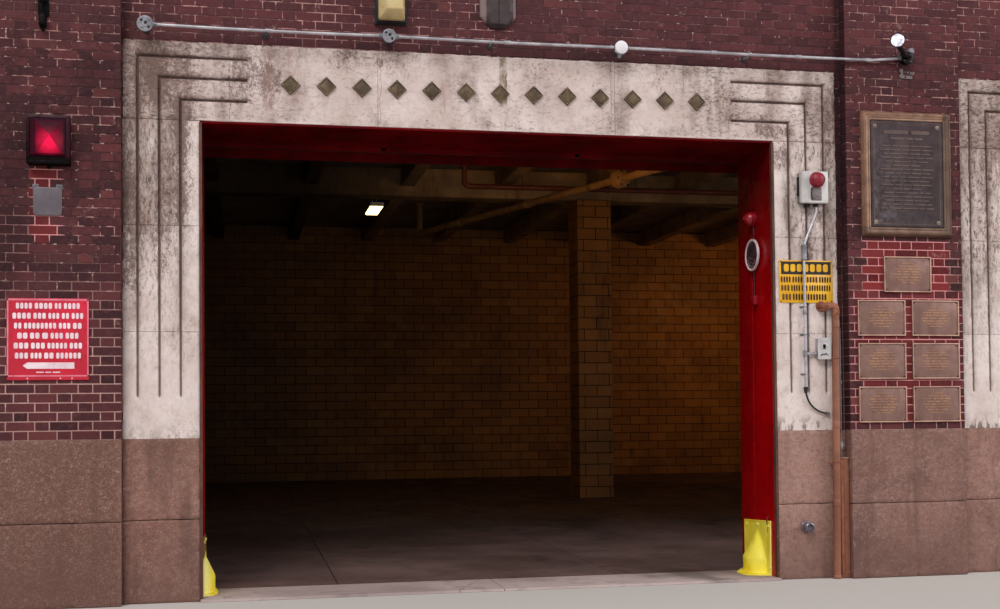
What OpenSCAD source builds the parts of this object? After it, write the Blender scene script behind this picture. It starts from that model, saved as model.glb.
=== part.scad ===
/* [Facade] */
// Width of the pier between the two bays
centre_pier_w = 1064; // [900:2:1300]
// Width of each end pier
end_pier_w = 1154; // [900:2:1400]
// Width of each recessed bay
bay_w = 5934; // [5800:2:6400]
// Depth of the bay recess behind the pier face
recess = 115; // [60:5:200]
// Depth of the building from the front piers to the rear wall
building_d = 16760; // [15000:20:26000]

/* [Levels] */
// Height of the granite base
granite_h = 1250; // [900:10:1500]
// Height of the doorway under the stone lintel
door_h = 3705; // [3400:5:4200]
// Height of the stone lintel over the doorway
lintel_h = 611; // [500:1:760]
// Top of the second floor
floor2_z = 5500; // [5400:10:6000]
// Height from floor to floor above
storey_h = 3700; // [3400:10:4200]
// Height of the parapet over the roof deck
parapet_h = 1000; // [600:10:1400]

/* [Walls] */
// Thickness of the front wall at the piers
front_t = 560; // [450:10:700]
// Thickness of the party walls
party_t = 400; // [300:10:500]
// Thickness of the rear wall
rear_t = 400; // [300:10:500]
// Thickness of the floor slab on the ground
ground_slab_t = 20; // [10:5:120]
// Thickness of the upper floors and the roof deck
slab_t = 250; // [180:10:350]

/* [Doorway] */
// Clear width between the jamb stones
door_w = 4732; // [4500:2:4800]
// Width of each jamb stone beside the doorway
jamb_w = 573; // [540:1:590]
// Width of the grooves cut in the stone
groove_w = 32; // [20:1:45]
// Depth of the grooves
groove_d = 30; // [10:1:50]
// Length of the horizontal grooves past the doorway edge
groove_run = 380; // [250:5:600]

/* [Vehicle hall] */
// Distance of the tiled column from the front pier face
column_y = 10000; // [8000:50:11000]
// Width of the tiled column
column_w = 560; // [400:10:700]
// Depth of the girder under the ceiling
girder_d = 450; // [340:10:600]

/* [Windows] */
// Width of a window opening
win_w = 1150; // [900:10:1300]
// Height of a window opening
win_h = 1800; // [1500:10:1820]
// Height of the sill over the floor
win_sill = 750; // [700:10:900]
// Spacing of the windows in a front bay
win_pitch = 1780; // [1600:10:1850]
// Spacing of the windows in the rear wall
rear_pitch = 2900; // [2400:10:3400]

/* [Hidden] */
$fn = 48;
eps = 0.01;
// front_y is where the pier face stands; the fittings reach front_reach out of it in
// front, and the sills reach rear_reach out of the rear wall
front_reach = 239.2;
rear_reach = 40;
front_y = -(building_d + rear_reach - front_reach) / 2;
half_w = centre_pier_w / 2 + bay_w + end_pier_w;
bay_x = (centre_pier_w + bay_w) / 2;
portal_shift = 24;
portal_x = bay_x + portal_shift;
pier_in = centre_pier_w / 2;
pier_out = pier_in + bay_w;
door_in = portal_x - door_w / 2;
door_out = portal_x + door_w / 2;
portal_in = door_in - jamb_w;
portal_out = door_out + jamb_w;
stone_y = recess - 20;
granite_proud = 14;
lintel_top = door_h + lintel_h;
floor3_z = floor2_z + storey_h;
roof_z = floor3_z + storey_h;
wall_top = roof_z + parapet_h;
coping_h = 150;
rear_y = building_d - rear_t;
inner_x = half_w - party_t;
lining_t = 14;
lining_y0 = stone_y + 6;
guide_y = front_t + 290;
guide_w = 150;
tile_t = 25;
front_win_x = [-win_pitch, 0, win_pitch];
front_sills = [floor2_z + win_sill, floor3_z + win_sill];
rear_sills = [floor2_z + win_sill, floor3_z + win_sill];
ceiling_z = floor2_z - slab_t;
rear_win_x = [-2.1, -1.05, 0, 1.05, 2.1];

// moves a shape from facade coordinates, with y = 0 on the pier face, to the part's origin
module at_front() translate([0, front_y, 0]) children();
// repeats a shape on both sides of the centre line
module both() { children(); mirror([1, 0, 0]) children(); }
// box by its low and high corners
module span(a, b) translate(a) cube([b[0] - a[0], b[1] - a[1], b[2] - a[2]]);
// round bar between two points along one direction
module bar_x(x0, x1, y, z, r) translate([x0, y, z]) rotate([0, 90, 0]) cylinder(h = x1 - x0, r = r);
module bar_y(y0, y1, x, z, r) translate([x, y0, z]) rotate([-90, 0, 0]) cylinder(h = y1 - y0, r = r);
module bar_z(z0, z1, x, y, r) translate([x, y, z0]) cylinder(h = z1 - z0, r = r);

module granite_base() color([0.50, 0.38, 0.35]) at_front() {
  gy = stone_y - 6;
  linear_extrude(granite_h) polygon([[-pier_in, -granite_proud], [pier_in, -granite_proud],
    [pier_in, gy], [door_in, gy], [door_in, front_t], [-door_in, front_t], [-door_in, gy], [-pier_in, gy]]);
  both() linear_extrude(granite_h) polygon([[pier_out, -granite_proud], [half_w, -granite_proud],
    [half_w, front_t], [door_out, front_t], [door_out, gy], [pier_out, gy]]);
}

module end_brick_piers() color([0.30, 0.16, 0.18]) at_front() both()
  span([pier_out, 0, granite_h], [half_w, front_t, wall_top]);

module centre_brick_pier() color([0.30, 0.16, 0.18]) at_front() {
  span([-pier_in, 0, granite_h], [pier_in, front_t, wall_top]);
  both() span([pier_in - eps, recess, granite_h], [portal_in, front_t, lintel_top]);
}

module upper_front_walls() color([0.30, 0.16, 0.18]) at_front() both() difference() {
  span([pier_in, recess, lintel_top], [pier_out, front_t, wall_top]);
  for (x = front_win_x, z = front_sills)
    span([bay_x + x - win_w / 2, recess - 1, z], [bay_x + x + win_w / 2, front_t + 1, z + win_h]);
}

module doorway_jamb_stones() color([0.78, 0.73, 0.66]) at_front() both() for (s = [-1, 1]) {
  e = s < 0 ? door_in : door_out;
  difference() {
    if (s < 0) span([portal_in, stone_y, granite_h], [door_in, front_t, door_h]);
    else span([door_out, stone_y, granite_h], [pier_out, front_t, door_h]);
    for (g = [145, 303, 465])
      translate([e + s * g - groove_w / 2, stone_y - 1, granite_h + 297])
        cube([groove_w, groove_d + 1, door_h]);
  }
}

module doorway_lintel_stones() color([0.80, 0.75, 0.68]) at_front() both() difference() {
  span([portal_in, stone_y, door_h], [pier_out, front_t, lintel_top]);
  for (s = [-1, 1], g = [[145, 162], [303, 330], [465, 492]]) {
    e = s < 0 ? door_in : door_out;
    translate([e + s * g[0] - groove_w / 2, stone_y - 1, door_h - 1])
      cube([groove_w, groove_d + 1, g[1] + groove_w / 2 + 1]);
    translate([s < 0 ? e - g[0] : e - groove_run, stone_y - 1, door_h + g[1] - groove_w / 2])
      cube([g[0] + groove_run, groove_d + 1, groove_w]);
  }
}

module door_jamb_linings() color([0.55, 0.02, 0.03]) at_front() both() for (s = [-1, 1]) {
  e = s < 0 ? door_in : door_out;
  linear_extrude(door_h - lining_t) polygon([[e, lining_y0], [e - s * lining_t, lining_y0],
    [e - s * lining_t, guide_y], [e + s * guide_w, guide_y], [e + s * guide_w, front_t], [e, front_t]]);
}

module door_head_linings() color([0.50, 0.02, 0.03]) at_front() both() {
  // soffit plate under the lintel
  span([door_in, lining_y0, door_h - lining_t], [door_out, guide_y, door_h]);
  // hood of the raised door behind it
  span([door_in - guide_w, guide_y, door_h - 50], [door_out + guide_w, guide_y + 450, door_h + 520]);
}

module jamb_guards() color([0.85, 0.72, 0.05]) at_front() both() for (s = [-1, 1]) {
  f = (s < 0 ? door_in : door_out) - s * lining_t;
  p = f - s * 8; g = ground_slab_t;
  y0 = lining_y0 + 110; y1 = lining_y0 + 675; ym = (y0 + y1) / 2;
  // the guard beside the centre pier stands out further: reach of flange and bulge, height of the cone
  reach = s < 0 ? 205 : 150; out = s < 0 ? 130 : 80; top = s < 0 ? 365 : 300;
  r = (185 * 185 + out * out) / (2 * out);
  span([min(f, p), y0, g], [max(f, p), y1, g + 450]);
  // flange on the floor, with its rear corner cut off
  translate([0, 0, g]) linear_extrude(8)
    polygon([[p, y0], [f - s * reach, y0 + 90], [f - s * reach, ym], [f - s * 90, y1 - 90], [p, y1]]);
  // bulge: a slice of a drum, drawn in to a cone at the top
  intersection() {
    translate([f + s * (r - out), ym, g]) {
      cylinder(h = 130, r = r);
      translate([0, 0, 130]) cylinder(h = top - 130, r1 = r, r2 = r - out + 8);
    }
    span([min(p, f - s * 140), y0, g], [max(p, f - s * 140), y1, g + 450]);
  }
}

module party_walls() color([0.33, 0.18, 0.18]) at_front() both()
  span([inner_x, front_t, 0], [half_w, building_d, wall_top]);

module rear_wall() color([0.33, 0.18, 0.18]) at_front() difference() {
  span([-inner_x, rear_y, 0], [inner_x, building_d, wall_top]);
  for (x = rear_win_x, z = rear_sills)
    span([x * rear_pitch - win_w / 2, rear_y - 1, z], [x * rear_pitch + win_w / 2, building_d + 1, z + win_h]);
}

module apparatus_floor() color([0.45, 0.43, 0.40]) at_front() {
  span([-inner_x, front_t, 0], [inner_x, rear_y, ground_slab_t]);
  both() span([door_in, 40, 0], [door_out, front_t + eps, ground_slab_t]);
}

module second_floor() color([0.62, 0.60, 0.55]) at_front()
  span([-inner_x, front_t, floor2_z - slab_t], [inner_x, rear_y, floor2_z]);

module third_floor() color([0.62, 0.60, 0.55]) at_front()
  span([-inner_x, front_t, floor3_z - slab_t], [inner_x, rear_y, floor3_z]);

module roof_deck() color([0.30, 0.30, 0.31]) at_front()
  span([-inner_x, front_t, roof_z - slab_t], [inner_x, rear_y, roof_z]);

module front_coping() color([0.76, 0.72, 0.66]) at_front()
  span([-half_w, -40, wall_top], [half_w, front_t + 40, wall_top + coping_h]);

module side_copings() color([0.76, 0.72, 0.66]) at_front() both()
  span([inner_x - 40, front_t + 40, wall_top], [half_w, rear_y - 40, wall_top + coping_h]);

module rear_coping() color([0.76, 0.72, 0.66]) at_front()
  span([-half_w, rear_y - 40, wall_top], [half_w, building_d, wall_top + coping_h]);

// double-hung window frame centred on x, standing on the sill at z, outer face at y
module sash(x, y, z) {
  w = win_w; h = win_h; b = 60;
  translate([x, y, z]) difference() {
    translate([-w / 2, 0, 0]) cube([w, 90, h]);
    translate([-w / 2 + b, -1, b]) cube([w - 2 * b, 92, h / 2 - 1.4 * b]);
    translate([-w / 2 + b, -1, h / 2 + 0.4 * b]) cube([w - 2 * b, 92, h / 2 - 1.4 * b]);
  }
}
module panes(x, y, z) {
  w = win_w; h = win_h; b = 60;
  translate([x - w / 2 + b, y + 40, z + b]) cube([w - 2 * b, 8, h / 2 - 1.4 * b]);
  translate([x - w / 2 + b, y + 40, z + h / 2 + 0.4 * b]) cube([w - 2 * b, 8, h / 2 - 1.4 * b]);
}

module front_window_frames() color([0.40, 0.10, 0.09]) at_front() both()
  for (x = front_win_x, z = front_sills) sash(bay_x + x, recess + 130, z);

module front_window_glass() color([0.35, 0.45, 0.50]) at_front() both()
  for (x = front_win_x, z = front_sills) panes(bay_x + x, recess + 130, z);

module front_window_stones() color([0.78, 0.73, 0.66]) at_front() both()
  for (x = front_win_x, z = front_sills) {
    span([bay_x + x - win_w / 2 - 90, recess - 50, z - 130], [bay_x + x + win_w / 2 + 90, recess, z]);
    span([bay_x + x - win_w / 2 - 120, recess - 16, z + win_h], [bay_x + x + win_w / 2 + 120, recess, z + win_h + 230]);
  }

module rear_window_frames() color([0.40, 0.10, 0.09]) at_front()
  for (x = rear_win_x, z = rear_sills) sash(x * rear_pitch, building_d - 220, z);

module rear_window_glass() color([0.35, 0.45, 0.50]) at_front()
  for (x = rear_win_x, z = rear_sills) panes(x * rear_pitch, building_d - 220, z);

module rear_window_stones() color([0.78, 0.73, 0.66]) at_front()
  for (x = rear_win_x, z = rear_sills) {
    span([x * rear_pitch - win_w / 2 - 90, building_d, z - 130], [x * rear_pitch + win_w / 2 + 90, building_d + 40, z]);
    span([x * rear_pitch - win_w / 2 - 120, building_d, z + win_h], [x * rear_pitch + win_w / 2 + 120, building_d + 14, z + win_h + 230]);
  }

module wall_tiling() color([0.72, 0.66, 0.48]) at_front() {
  both() span([inner_x - tile_t, front_t, ground_slab_t], [inner_x, rear_y - tile_t - 2, ceiling_z]);
  span([-inner_x, rear_y - tile_t, ground_slab_t], [inner_x, rear_y, ceiling_z]);
}

module tiled_column() color([0.72, 0.66, 0.48]) at_front()
  span([-column_w / 2, column_y - column_w / 2, ground_slab_t],
    [column_w / 2, column_y + column_w / 2, ceiling_z - girder_d]);

module ceiling_beams() color([0.50, 0.47, 0.40]) at_front() {
  // girder across the hall on the column
  span([-inner_x + tile_t + 1, column_y - 200, ceiling_z - girder_d], [inner_x - tile_t - 1, column_y + 200, ceiling_z]);
  // joists from front to rear, in two runs
  for (i = [-4:4]) {
    span([i * 1500 - 110, front_t, ceiling_z - 300], [i * 1500 + 110, column_y - 202, ceiling_z]);
    span([i * 1500 - 110, column_y + 202, ceiling_z - 300], [i * 1500 + 110, rear_y - tile_t - 1, ceiling_z]);
  }
}

// horizontal pipe at height z from point a to point b, held by a riser to the ceiling at each end
module hung_pipe(a, b, z, r) {
  d = [b[0] - a[0], b[1] - a[1]];
  translate([a[0], a[1], z]) rotate([0, 90, atan2(d[1], d[0])]) cylinder(h = norm(d), r = r);
  for (q = [a, b]) translate([q[0], q[1], z - 1.15 * r]) cylinder(h = ceiling_z - z + 1.15 * r, r = 1.25 * r);
}

module ceiling_pipes() color([0.45, 0.33, 0.22]) at_front() {
  hung_pipe([1260, 2800], [-2330, 13250], ceiling_z - 550, 55);
  // coupling in the long pipe
  translate([-293, 7320, ceiling_z - 550]) rotate([0, 90, 109]) cylinder(h = 260, r = 130, center = true);
  hung_pipe([-2250, 8950], [6750, 8950], ceiling_z - 420, 40);
  hung_pipe([3750, 2700], [3750, 8600], ceiling_z - 560, 70);
}

module ceiling_lights() color([0.9, 0.9, 0.82]) at_front()
  for (p = [[-3400, 11000], [3700, 11400], [2250, 5200], [-3700, 5200]]) {
    span([p[0] - 110, p[1] - 450, ceiling_z - 510], [p[0] + 110, p[1] + 450, ceiling_z - 430]);
    for (d = [-350, 350]) bar_z(ceiling_z - 430 - eps, ceiling_z, p[0], p[1] + d, 8);
  }

module front_conduit() color([0.62, 0.62, 0.62]) at_front() {
  bar_x(-6286, -330, -30, 4400, 14);
  // a coupling, and the last length that climbs to the floodlight's box
  bar_x(-352, -308, -30, 4400, 19);
  translate([-330, -30, 4400]) rotate([0, 84.73, 0]) cylinder(h = 326, r = 14);
  for (c = [[-6286, 62], [-4429, 55], [-2525, 55]]) bar_y(-56, 0, c[0], 4400, c[1]);
  // stand-offs back to the recessed brick
  for (x = [-6286, -5383, -4429, -3593, -2525, -1400]) bar_y(-30, recess, x, 4400, 10);
}

module floodlight() color([0.15, 0.15, 0.16]) at_front() {
  // junction box on the pier
  bar_y(-62, 0, 24, 4430, 55);
  bar_y(-120, -62, 10, 4438, 20);
  // lamp holder and lamp
  translate([-14, -100, 4428]) rotate([0, -40, 0]) cylinder(h = 140, r = 26);
  translate([-107, -105.04, 4549]) rotate([99.8, 0, -24]) cylinder(h = 120, r1 = 40, r2 = 60);
}

module wall_lamp() color([0.80, 0.74, 0.45]) at_front() {
  span([-4530, 55, 4528], [-4266, recess, 4900]);
  span([-4504, -60, 4546], [-4296, 55, 4880]);
}

module wall_shield() color([0.45, 0.44, 0.44]) at_front() translate([-3523, recess, 4546])
  rotate([90, 0, 0]) linear_extrude(60)
    polygon([[-70, 0], [70, 0], [150, 90], [150, 400], [100, 450], [-100, 450], [-150, 400], [-150, 90]]);

module fire_lamp() color([0.25, 0.02, 0.03]) at_front() {
  span([-7130, -110, 3298], [-6824, 0, 3664]);
  span([-7082, -170, 3377], [-6872, -110, 3615]);
}

module cover_plate() color([0.5, 0.48, 0.48]) at_front()
  span([-7097, -12, 2928], [-6891, 0, 3141]);

module red_sign_panel() color([0.70, 0.05, 0.08]) at_front()
  span([-7280, -16, 1699], [-6698, 0, 2309]);

module alarm_box() color([0.70, 0.70, 0.69]) at_front() {
  span([-946, stone_y - 95, 3170], [-700, stone_y, 3440]);
  bar_y(stone_y - 160, stone_y - 95, -805, 3365, 62);
}

module outlet_box() color([0.75, 0.75, 0.74]) at_front() {
  span([-800, stone_y - 60, 1850], [-680, stone_y, 2032]);
  bar_x(-886, -800, stone_y - 22, 1900, 11);
}

module alarm_conduit() color([0.66, 0.66, 0.67]) at_front() {
  y = stone_y - 22; r = 13;
  bar_z(3090, 3170, -785, y, r);
  translate([-785, y, 3090]) sphere(r = r);
  translate([-899, y, 2822]) rotate([0, atan2(114, 268), 0]) cylinder(h = norm([114, 268]), r = r);
  translate([-899, y, 2822]) sphere(r = r);
  bar_z(1600, 2822, -899, y, r);
  translate([-690, y, 1600]) rotate([90, 0, 0]) rotate([0, 0, 180]) rotate_extrude(angle = 90)
    translate([209, 0]) circle(r = 8);
}

module yellow_sign_panel() color([0.85, 0.66, 0.05]) at_front()
  span([-1118, stone_y - 5, 2332], [-631, stone_y, 2693]);

module downpipes() color([0.38, 0.22, 0.13]) at_front() {
  // the tall pipe leans a little to the left at its foot
  translate([-654, 40, 1]) rotate([0, 0.547, 0]) cylinder(h = 2302, r = 34);
  translate([-632, 40, 2303]) sphere(r = 34);
  bar_x(-744, -632, 40, 2303, 34);
  translate([-744, 40, 2303]) sphere(r = 36);
  bar_y(40, stone_y, -744, 2303, 36);
  span([-610, 30, 0], [-534, 100, 1020]);
}

module hose_outlet() color([0.6, 0.6, 0.62]) at_front() {
  bar_y(stone_y - 20, stone_y - 6, -906, 437, 60);
  bar_y(stone_y - 90, stone_y - 20, -906, 437, 42);
}

module jamb_bell() color([0.55, 0.03, 0.05]) at_front() {
  f = -door_in - lining_t;
  bar_x(f - 42, f, 475, 3095, 64);
  translate([f - 42, 475, 3095]) sphere(r = 60);
  bar_z(2420, 3035, f - 8, 475, 7);
  span([f - 45, 405, 2340], [f, 483, 2420]);
}

module jamb_disc() color([0.85, 0.85, 0.85]) at_front() {
  f = -door_in - lining_t;
  bar_x(f - 17, f, 430, 2778, 20);
  bar_x(f - 42, f - 17, 465, 2778, 140);
}

module large_plaque() color([0.32, 0.25, 0.16]) at_front() {
  difference() {
    span([-403, -46, 2896], [433, 0, 3967]);
    span([-321, -47, 2975], [351, -20, 3890]);
  }
}

module small_plaques() color([0.40, 0.30, 0.28]) at_front() {
  for (p = [[12, 2574], [-236, 2200], [266, 2200], [-236, 1833], [266, 1833], [-236, 1464], [266, 1464]])
    span([p[0] - 221, -18, p[1] - 153], [p[0] + 221, 0, p[1] + 153]);
}

module wall_bracket() color([0.08, 0.08, 0.09]) at_front() {
  span([-7062, -60, 4425], [-6983, 0, 4640]);
  span([-7054, -90, 4335], [-6996, 0, 4425]);
  span([-7042, -40, 4313], [-7010, 0, 4335]);
}

module lintel_ornaments() color([0.42, 0.36, 0.27]) at_front()
  for (i = [-6:6]) translate([-3512 + i * 280, stone_y, 4010]) rotate([90, 0, 0])
    linear_extrude(22) rotate(45) square(110, center = true);

granite_base();
end_brick_piers();
centre_brick_pier();
upper_front_walls();
doorway_jamb_stones();
doorway_lintel_stones();
door_jamb_linings();
door_head_linings();
jamb_guards();
party_walls();
rear_wall();
apparatus_floor();
second_floor();
third_floor();
roof_deck();
front_coping();
side_copings();
rear_coping();
front_window_frames();
front_window_glass();
front_window_stones();
rear_window_frames();
rear_window_glass();
rear_window_stones();
wall_tiling();
tiled_column();
ceiling_beams();
ceiling_pipes();
ceiling_lights();
front_conduit();
floodlight();
wall_lamp();
wall_shield();
fire_lamp();
cover_plate();
red_sign_panel();
alarm_box();
outlet_box();
alarm_conduit();
yellow_sign_panel();
downpipes();
hose_outlet();
jamb_bell();
jamb_disc();
large_plaque();
small_plaques();
wall_bracket();
lintel_ornaments();
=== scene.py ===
import math

import bmesh
import bpy
import numpy as np
from mathutils import Matrix, Vector


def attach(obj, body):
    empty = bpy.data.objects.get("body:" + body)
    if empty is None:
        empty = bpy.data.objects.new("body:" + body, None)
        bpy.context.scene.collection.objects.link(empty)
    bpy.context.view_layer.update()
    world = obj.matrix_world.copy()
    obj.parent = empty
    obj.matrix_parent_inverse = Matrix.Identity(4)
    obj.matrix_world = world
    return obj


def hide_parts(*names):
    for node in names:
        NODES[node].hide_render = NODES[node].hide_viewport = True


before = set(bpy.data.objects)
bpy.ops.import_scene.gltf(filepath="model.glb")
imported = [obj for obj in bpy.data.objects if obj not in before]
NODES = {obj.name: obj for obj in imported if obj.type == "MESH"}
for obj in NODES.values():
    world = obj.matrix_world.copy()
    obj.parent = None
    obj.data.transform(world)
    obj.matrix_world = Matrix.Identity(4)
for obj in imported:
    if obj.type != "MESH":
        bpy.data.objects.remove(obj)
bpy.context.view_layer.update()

# ---------------------------------------------------------------- sizes, in millimetres
# facade coordinates: x from the centre line, y = 0 on the pier face, z from the ground
FRONT_Y = -8280.4
PIER_IN, PIER_OUT, HALF_W = 532.0, 6466.0, 7620.0
DOOR_IN, DOOR_OUT = 1157.0, 5889.0
PORTAL_IN = 584.0
RECESS, STONE_Y = 115.0, 95.0
GRANITE_H, DOOR_H, LINTEL_TOP = 1250.0, 3705.0, 4316.0
FRONT_T, INNER_X, REAR_Y, BUILDING_D = 560.0, 7220.0, 16360.0, 16760.0
CEILING_Z, ROOF_Z, WALL_TOP, COPING_H = 5250.0, 12900.0, 13900.0, 150.0
SLAB = 20.0
COURSE, JOINT = 69.85, 10.5
BAY_X = 3499.0
WIN_W, WIN_H = 1150.0, 1800.0
FRONT_WIN_X = [-1780.0, 0.0, 1780.0]
SILLS = [6250.0, 9950.0]
REAR_WIN_X = [-6090.0, -3045.0, 0.0, 3045.0, 6090.0]
MORTAR_IN = 4.0


# ---------------------------------------------------------------- noise on numpy arrays
def _smooth(t):
    return t * t * (3 - 2 * t)


def vnoise(x, y, seed=0):
    """Value noise in 0..1 on two coordinates, one lattice cell per unit."""
    table = np.random.RandomState(seed).rand(128, 128)
    x, y = np.asarray(x, float), np.asarray(y, float)
    xi, yi = np.floor(x).astype(int), np.floor(y).astype(int)
    fx, fy = _smooth(x - xi), _smooth(y - yi)
    a = table[xi % 128, yi % 128]
    b = table[(xi + 1) % 128, yi % 128]
    c = table[xi % 128, (yi + 1) % 128]
    d = table[(xi + 1) % 128, (yi + 1) % 128]
    return (a * (1 - fx) + b * fx) * (1 - fy) + (c * (1 - fx) + d * fx) * fy


def fbm(x, y, seed=0, octaves=4, gain=0.5):
    total, amp, norm = 0.0, 1.0, 0.0
    for i in range(octaves):
        total = total + amp * vnoise(x * 2**i, y * 2**i, seed + 17 * i)
        norm += amp
        amp *= gain
    return total / norm


def sstep(lo, hi, v):
    return _smooth(np.clip((np.asarray(v, float) - lo) / (hi - lo), 0, 1))


# ---------------------------------------------------------------- mesh builder
class Builder:
    """Gathers faces in facade millimetres. Each face has a material, a tint and a chart for its UV map."""

    def __init__(self):
        self.v, self.wear, self.loops, self.sizes, self.mat, self.tint, self.chart = [], [], [], [], [], [], []
        self.count = 0

    def add(self, verts, faces, mat=0, tint=(0.5, 0.0, 0.5), chart=-1, wear=None):
        verts = np.asarray(verts, float).reshape(-1, 3)
        self.v.append(verts)
        self.wear.append(np.zeros((len(verts), 3)) if wear is None else np.asarray(wear, float).reshape(-1, 3))
        if isinstance(faces, np.ndarray):
            n, k = faces.shape
            self.loops.append((faces + self.count).ravel())
            self.sizes.append(np.full(n, k))
        else:
            n = len(faces)
            self.loops.append(np.array([i + self.count for f in faces for i in f], int))
            self.sizes.append(np.array([len(f) for f in faces], int))
        self.mat.append(np.broadcast_to(np.asarray(mat, int), (n,)).copy())
        self.tint.append(np.broadcast_to(np.asarray(tint, float), (n, 3)).copy())
        self.chart.append(np.full(n, chart))
        self.count += len(verts)
        return self

    def mesh(self, name, atlas=False, sharp=None):
        v = np.concatenate(self.v)
        v = v / 1000 + np.array([0, FRONT_Y / 1000, 0])
        v[:, 2] = np.maximum(v[:, 2], 0.0)  # nothing goes below the ground
        loops, sizes = np.concatenate(self.loops), np.concatenate(self.sizes)
        me = bpy.data.meshes.new(name)
        me.vertices.add(len(v))
        me.vertices.foreach_set("co", v.astype(np.float32).ravel())
        me.loops.add(len(loops))
        me.loops.foreach_set("vertex_index", loops.astype(np.int32))
        me.polygons.add(len(sizes))
        start = np.concatenate([[0], np.cumsum(sizes)[:-1]])
        me.polygons.foreach_set("loop_start", start.astype(np.int32))
        me.polygons.foreach_set("material_index", np.concatenate(self.mat).astype(np.int32))
        me.update(calc_edges=True)
        at = me.attributes.new("tint", "FLOAT_VECTOR", "FACE")
        at.data.foreach_set("vector", np.concatenate(self.tint).astype(np.float32).ravel())
        wear = np.concatenate(self.wear)
        if np.abs(wear).max() > 0:
            at = me.attributes.new("wear", "FLOAT_VECTOR", "POINT")
            at.data.foreach_set("vector", wear.astype(np.float32).ravel())
        if atlas:
            self.unwrap(me, v, loops, sizes, np.concatenate(self.chart))
        if sharp is None:
            me.polygons.foreach_set("use_smooth", np.zeros(len(sizes), bool))
        else:
            me.polygons.foreach_set("use_smooth", np.ones(len(sizes), bool))
            me.set_sharp_from_angle(angle=math.radians(sharp))
        return me

    @staticmethod
    def unwrap(me, v, loops, sizes, chart):
        """One planar chart for each direction that faces look in, laid side by side in 0..1."""
        normal = np.zeros(len(sizes) * 3, np.float32)
        me.polygons.foreach_get("normal", normal)
        normal = normal.reshape(-1, 3)
        axis = np.abs(normal).argmax(1)
        auto = axis * 2 + (normal[np.arange(len(axis)), axis] < 0)
        chart = np.where(chart >= 0, chart, auto)
        face = np.repeat(np.arange(len(sizes)), sizes)
        co, ch = v[loops], chart[face]
        uv = np.zeros((len(loops), 2))
        used = []
        for c in range(6):
            pick = ch == c
            if not pick.any():
                continue
            a, b = ((1, 2), (0, 2), (0, 1))[c // 2]
            uv[pick, 0], uv[pick, 1] = co[pick, a], co[pick, b]
            low = uv[pick].min(0)
            uv[pick] -= low
            used.append((c, uv[pick].max(0)))
        # shelves: the charts go in rows of the widest chart's width
        used.sort(key=lambda q: -q[1][1])
        gap = 0.01 * max(max(s) for _, s in used)
        best = None
        for wide in [max(s[0] for _, s in used) * f for f in (1.0, 1.3, 1.6, 2.0, 2.6, 3.5)]:
            x = y = row = 0.0
            spots, far = {}, 0.0
            for c, s in used:
                if x > 0 and x + s[0] > wide:
                    x, y, row = 0.0, y + row + gap, 0.0
                spots[c] = (x, y)
                x += s[0] + gap
                far = max(far, x)
                row = max(row, s[1])
            side = max(far, y + row)
            if best is None or side < best[0]:
                best = (side, spots)
        side, spots = best
        for c, _ in used:
            pick = ch == c
            uv[pick] += np.array(spots[c])
        uv = (uv / side) * 0.996 + 0.002
        layer = me.uv_layers.new(name="OFBake")
        layer.data.foreach_set("uv", uv.astype(np.float32).ravel())


def piece(name, b, mats, replaces=(), atlas=False, sharp=None):
    me = b.mesh(name, atlas, sharp)
    for m in mats:
        me.materials.append(m)
    ob = bpy.data.objects.new(name, me)
    bpy.context.scene.collection.objects.link(ob)
    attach(ob, "root")
    if replaces:
        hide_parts(*([replaces] if isinstance(replaces, str) else replaces))
    return ob


# ---------------------------------------------------------------- shapes
def cells(b, xs, ys, zs, solid, mat=0):
    """The skin of a solid made of cells between the planes xs, ys, zs. solid(i, j, k) says which are filled.
    mat is an index, or gives one for a face from the direction it looks in and its height."""
    nx, ny, nz = len(xs) - 1, len(ys) - 1, len(zs) - 1
    full = np.zeros((nx + 2, ny + 2, nz + 2), bool)
    for i in range(nx):
        for j in range(ny):
            for k in range(nz):
                full[i + 1, j + 1, k + 1] = solid(i, j, k)
    index, verts, faces, kinds = {}, [], [], []

    def at(i, j, k):
        if (i, j, k) not in index:
            index[i, j, k] = len(verts)
            verts.append((xs[i], ys[j], zs[k]))
        return index[i, j, k]

    sides = (
        ((1, 0, 0), ((1, 0, 0), (1, 1, 0), (1, 1, 1), (1, 0, 1))),
        ((-1, 0, 0), ((0, 1, 0), (0, 0, 0), (0, 0, 1), (0, 1, 1))),
        ((0, 1, 0), ((1, 1, 0), (0, 1, 0), (0, 1, 1), (1, 1, 1))),
        ((0, -1, 0), ((0, 0, 0), (1, 0, 0), (1, 0, 1), (0, 0, 1))),
        ((0, 0, 1), ((0, 0, 1), (1, 0, 1), (1, 1, 1), (0, 1, 1))),
        ((0, 0, -1), ((0, 1, 0), (1, 1, 0), (1, 0, 0), (0, 0, 0))),
    )
    for i in range(nx):
        for j in range(ny):
            for k in range(nz):
                if not full[i + 1, j + 1, k + 1]:
                    continue
                for (di, dj, dk), quad in sides:
                    if not full[i + 1 + di, j + 1 + dj, k + 1 + dk]:
                        faces.append([at(i + a, j + c, k + d) for a, c, d in quad])
                        kinds.append(mat((di, dj, dk), (zs[k] + zs[k + 1]) / 2) if callable(mat) else mat)
    b.add(verts, faces, kinds)


def bm_part(b, bm, mat=0, tint=(0.5, 0, 0.5), matrix=None):
    if matrix is not None:
        bm.transform(matrix)
    bm.verts.ensure_lookup_table()
    b.add([tuple(q.co) for q in bm.verts], [[q.index for q in f.verts] for f in bm.faces], mat, tint)
    bm.free()


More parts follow.
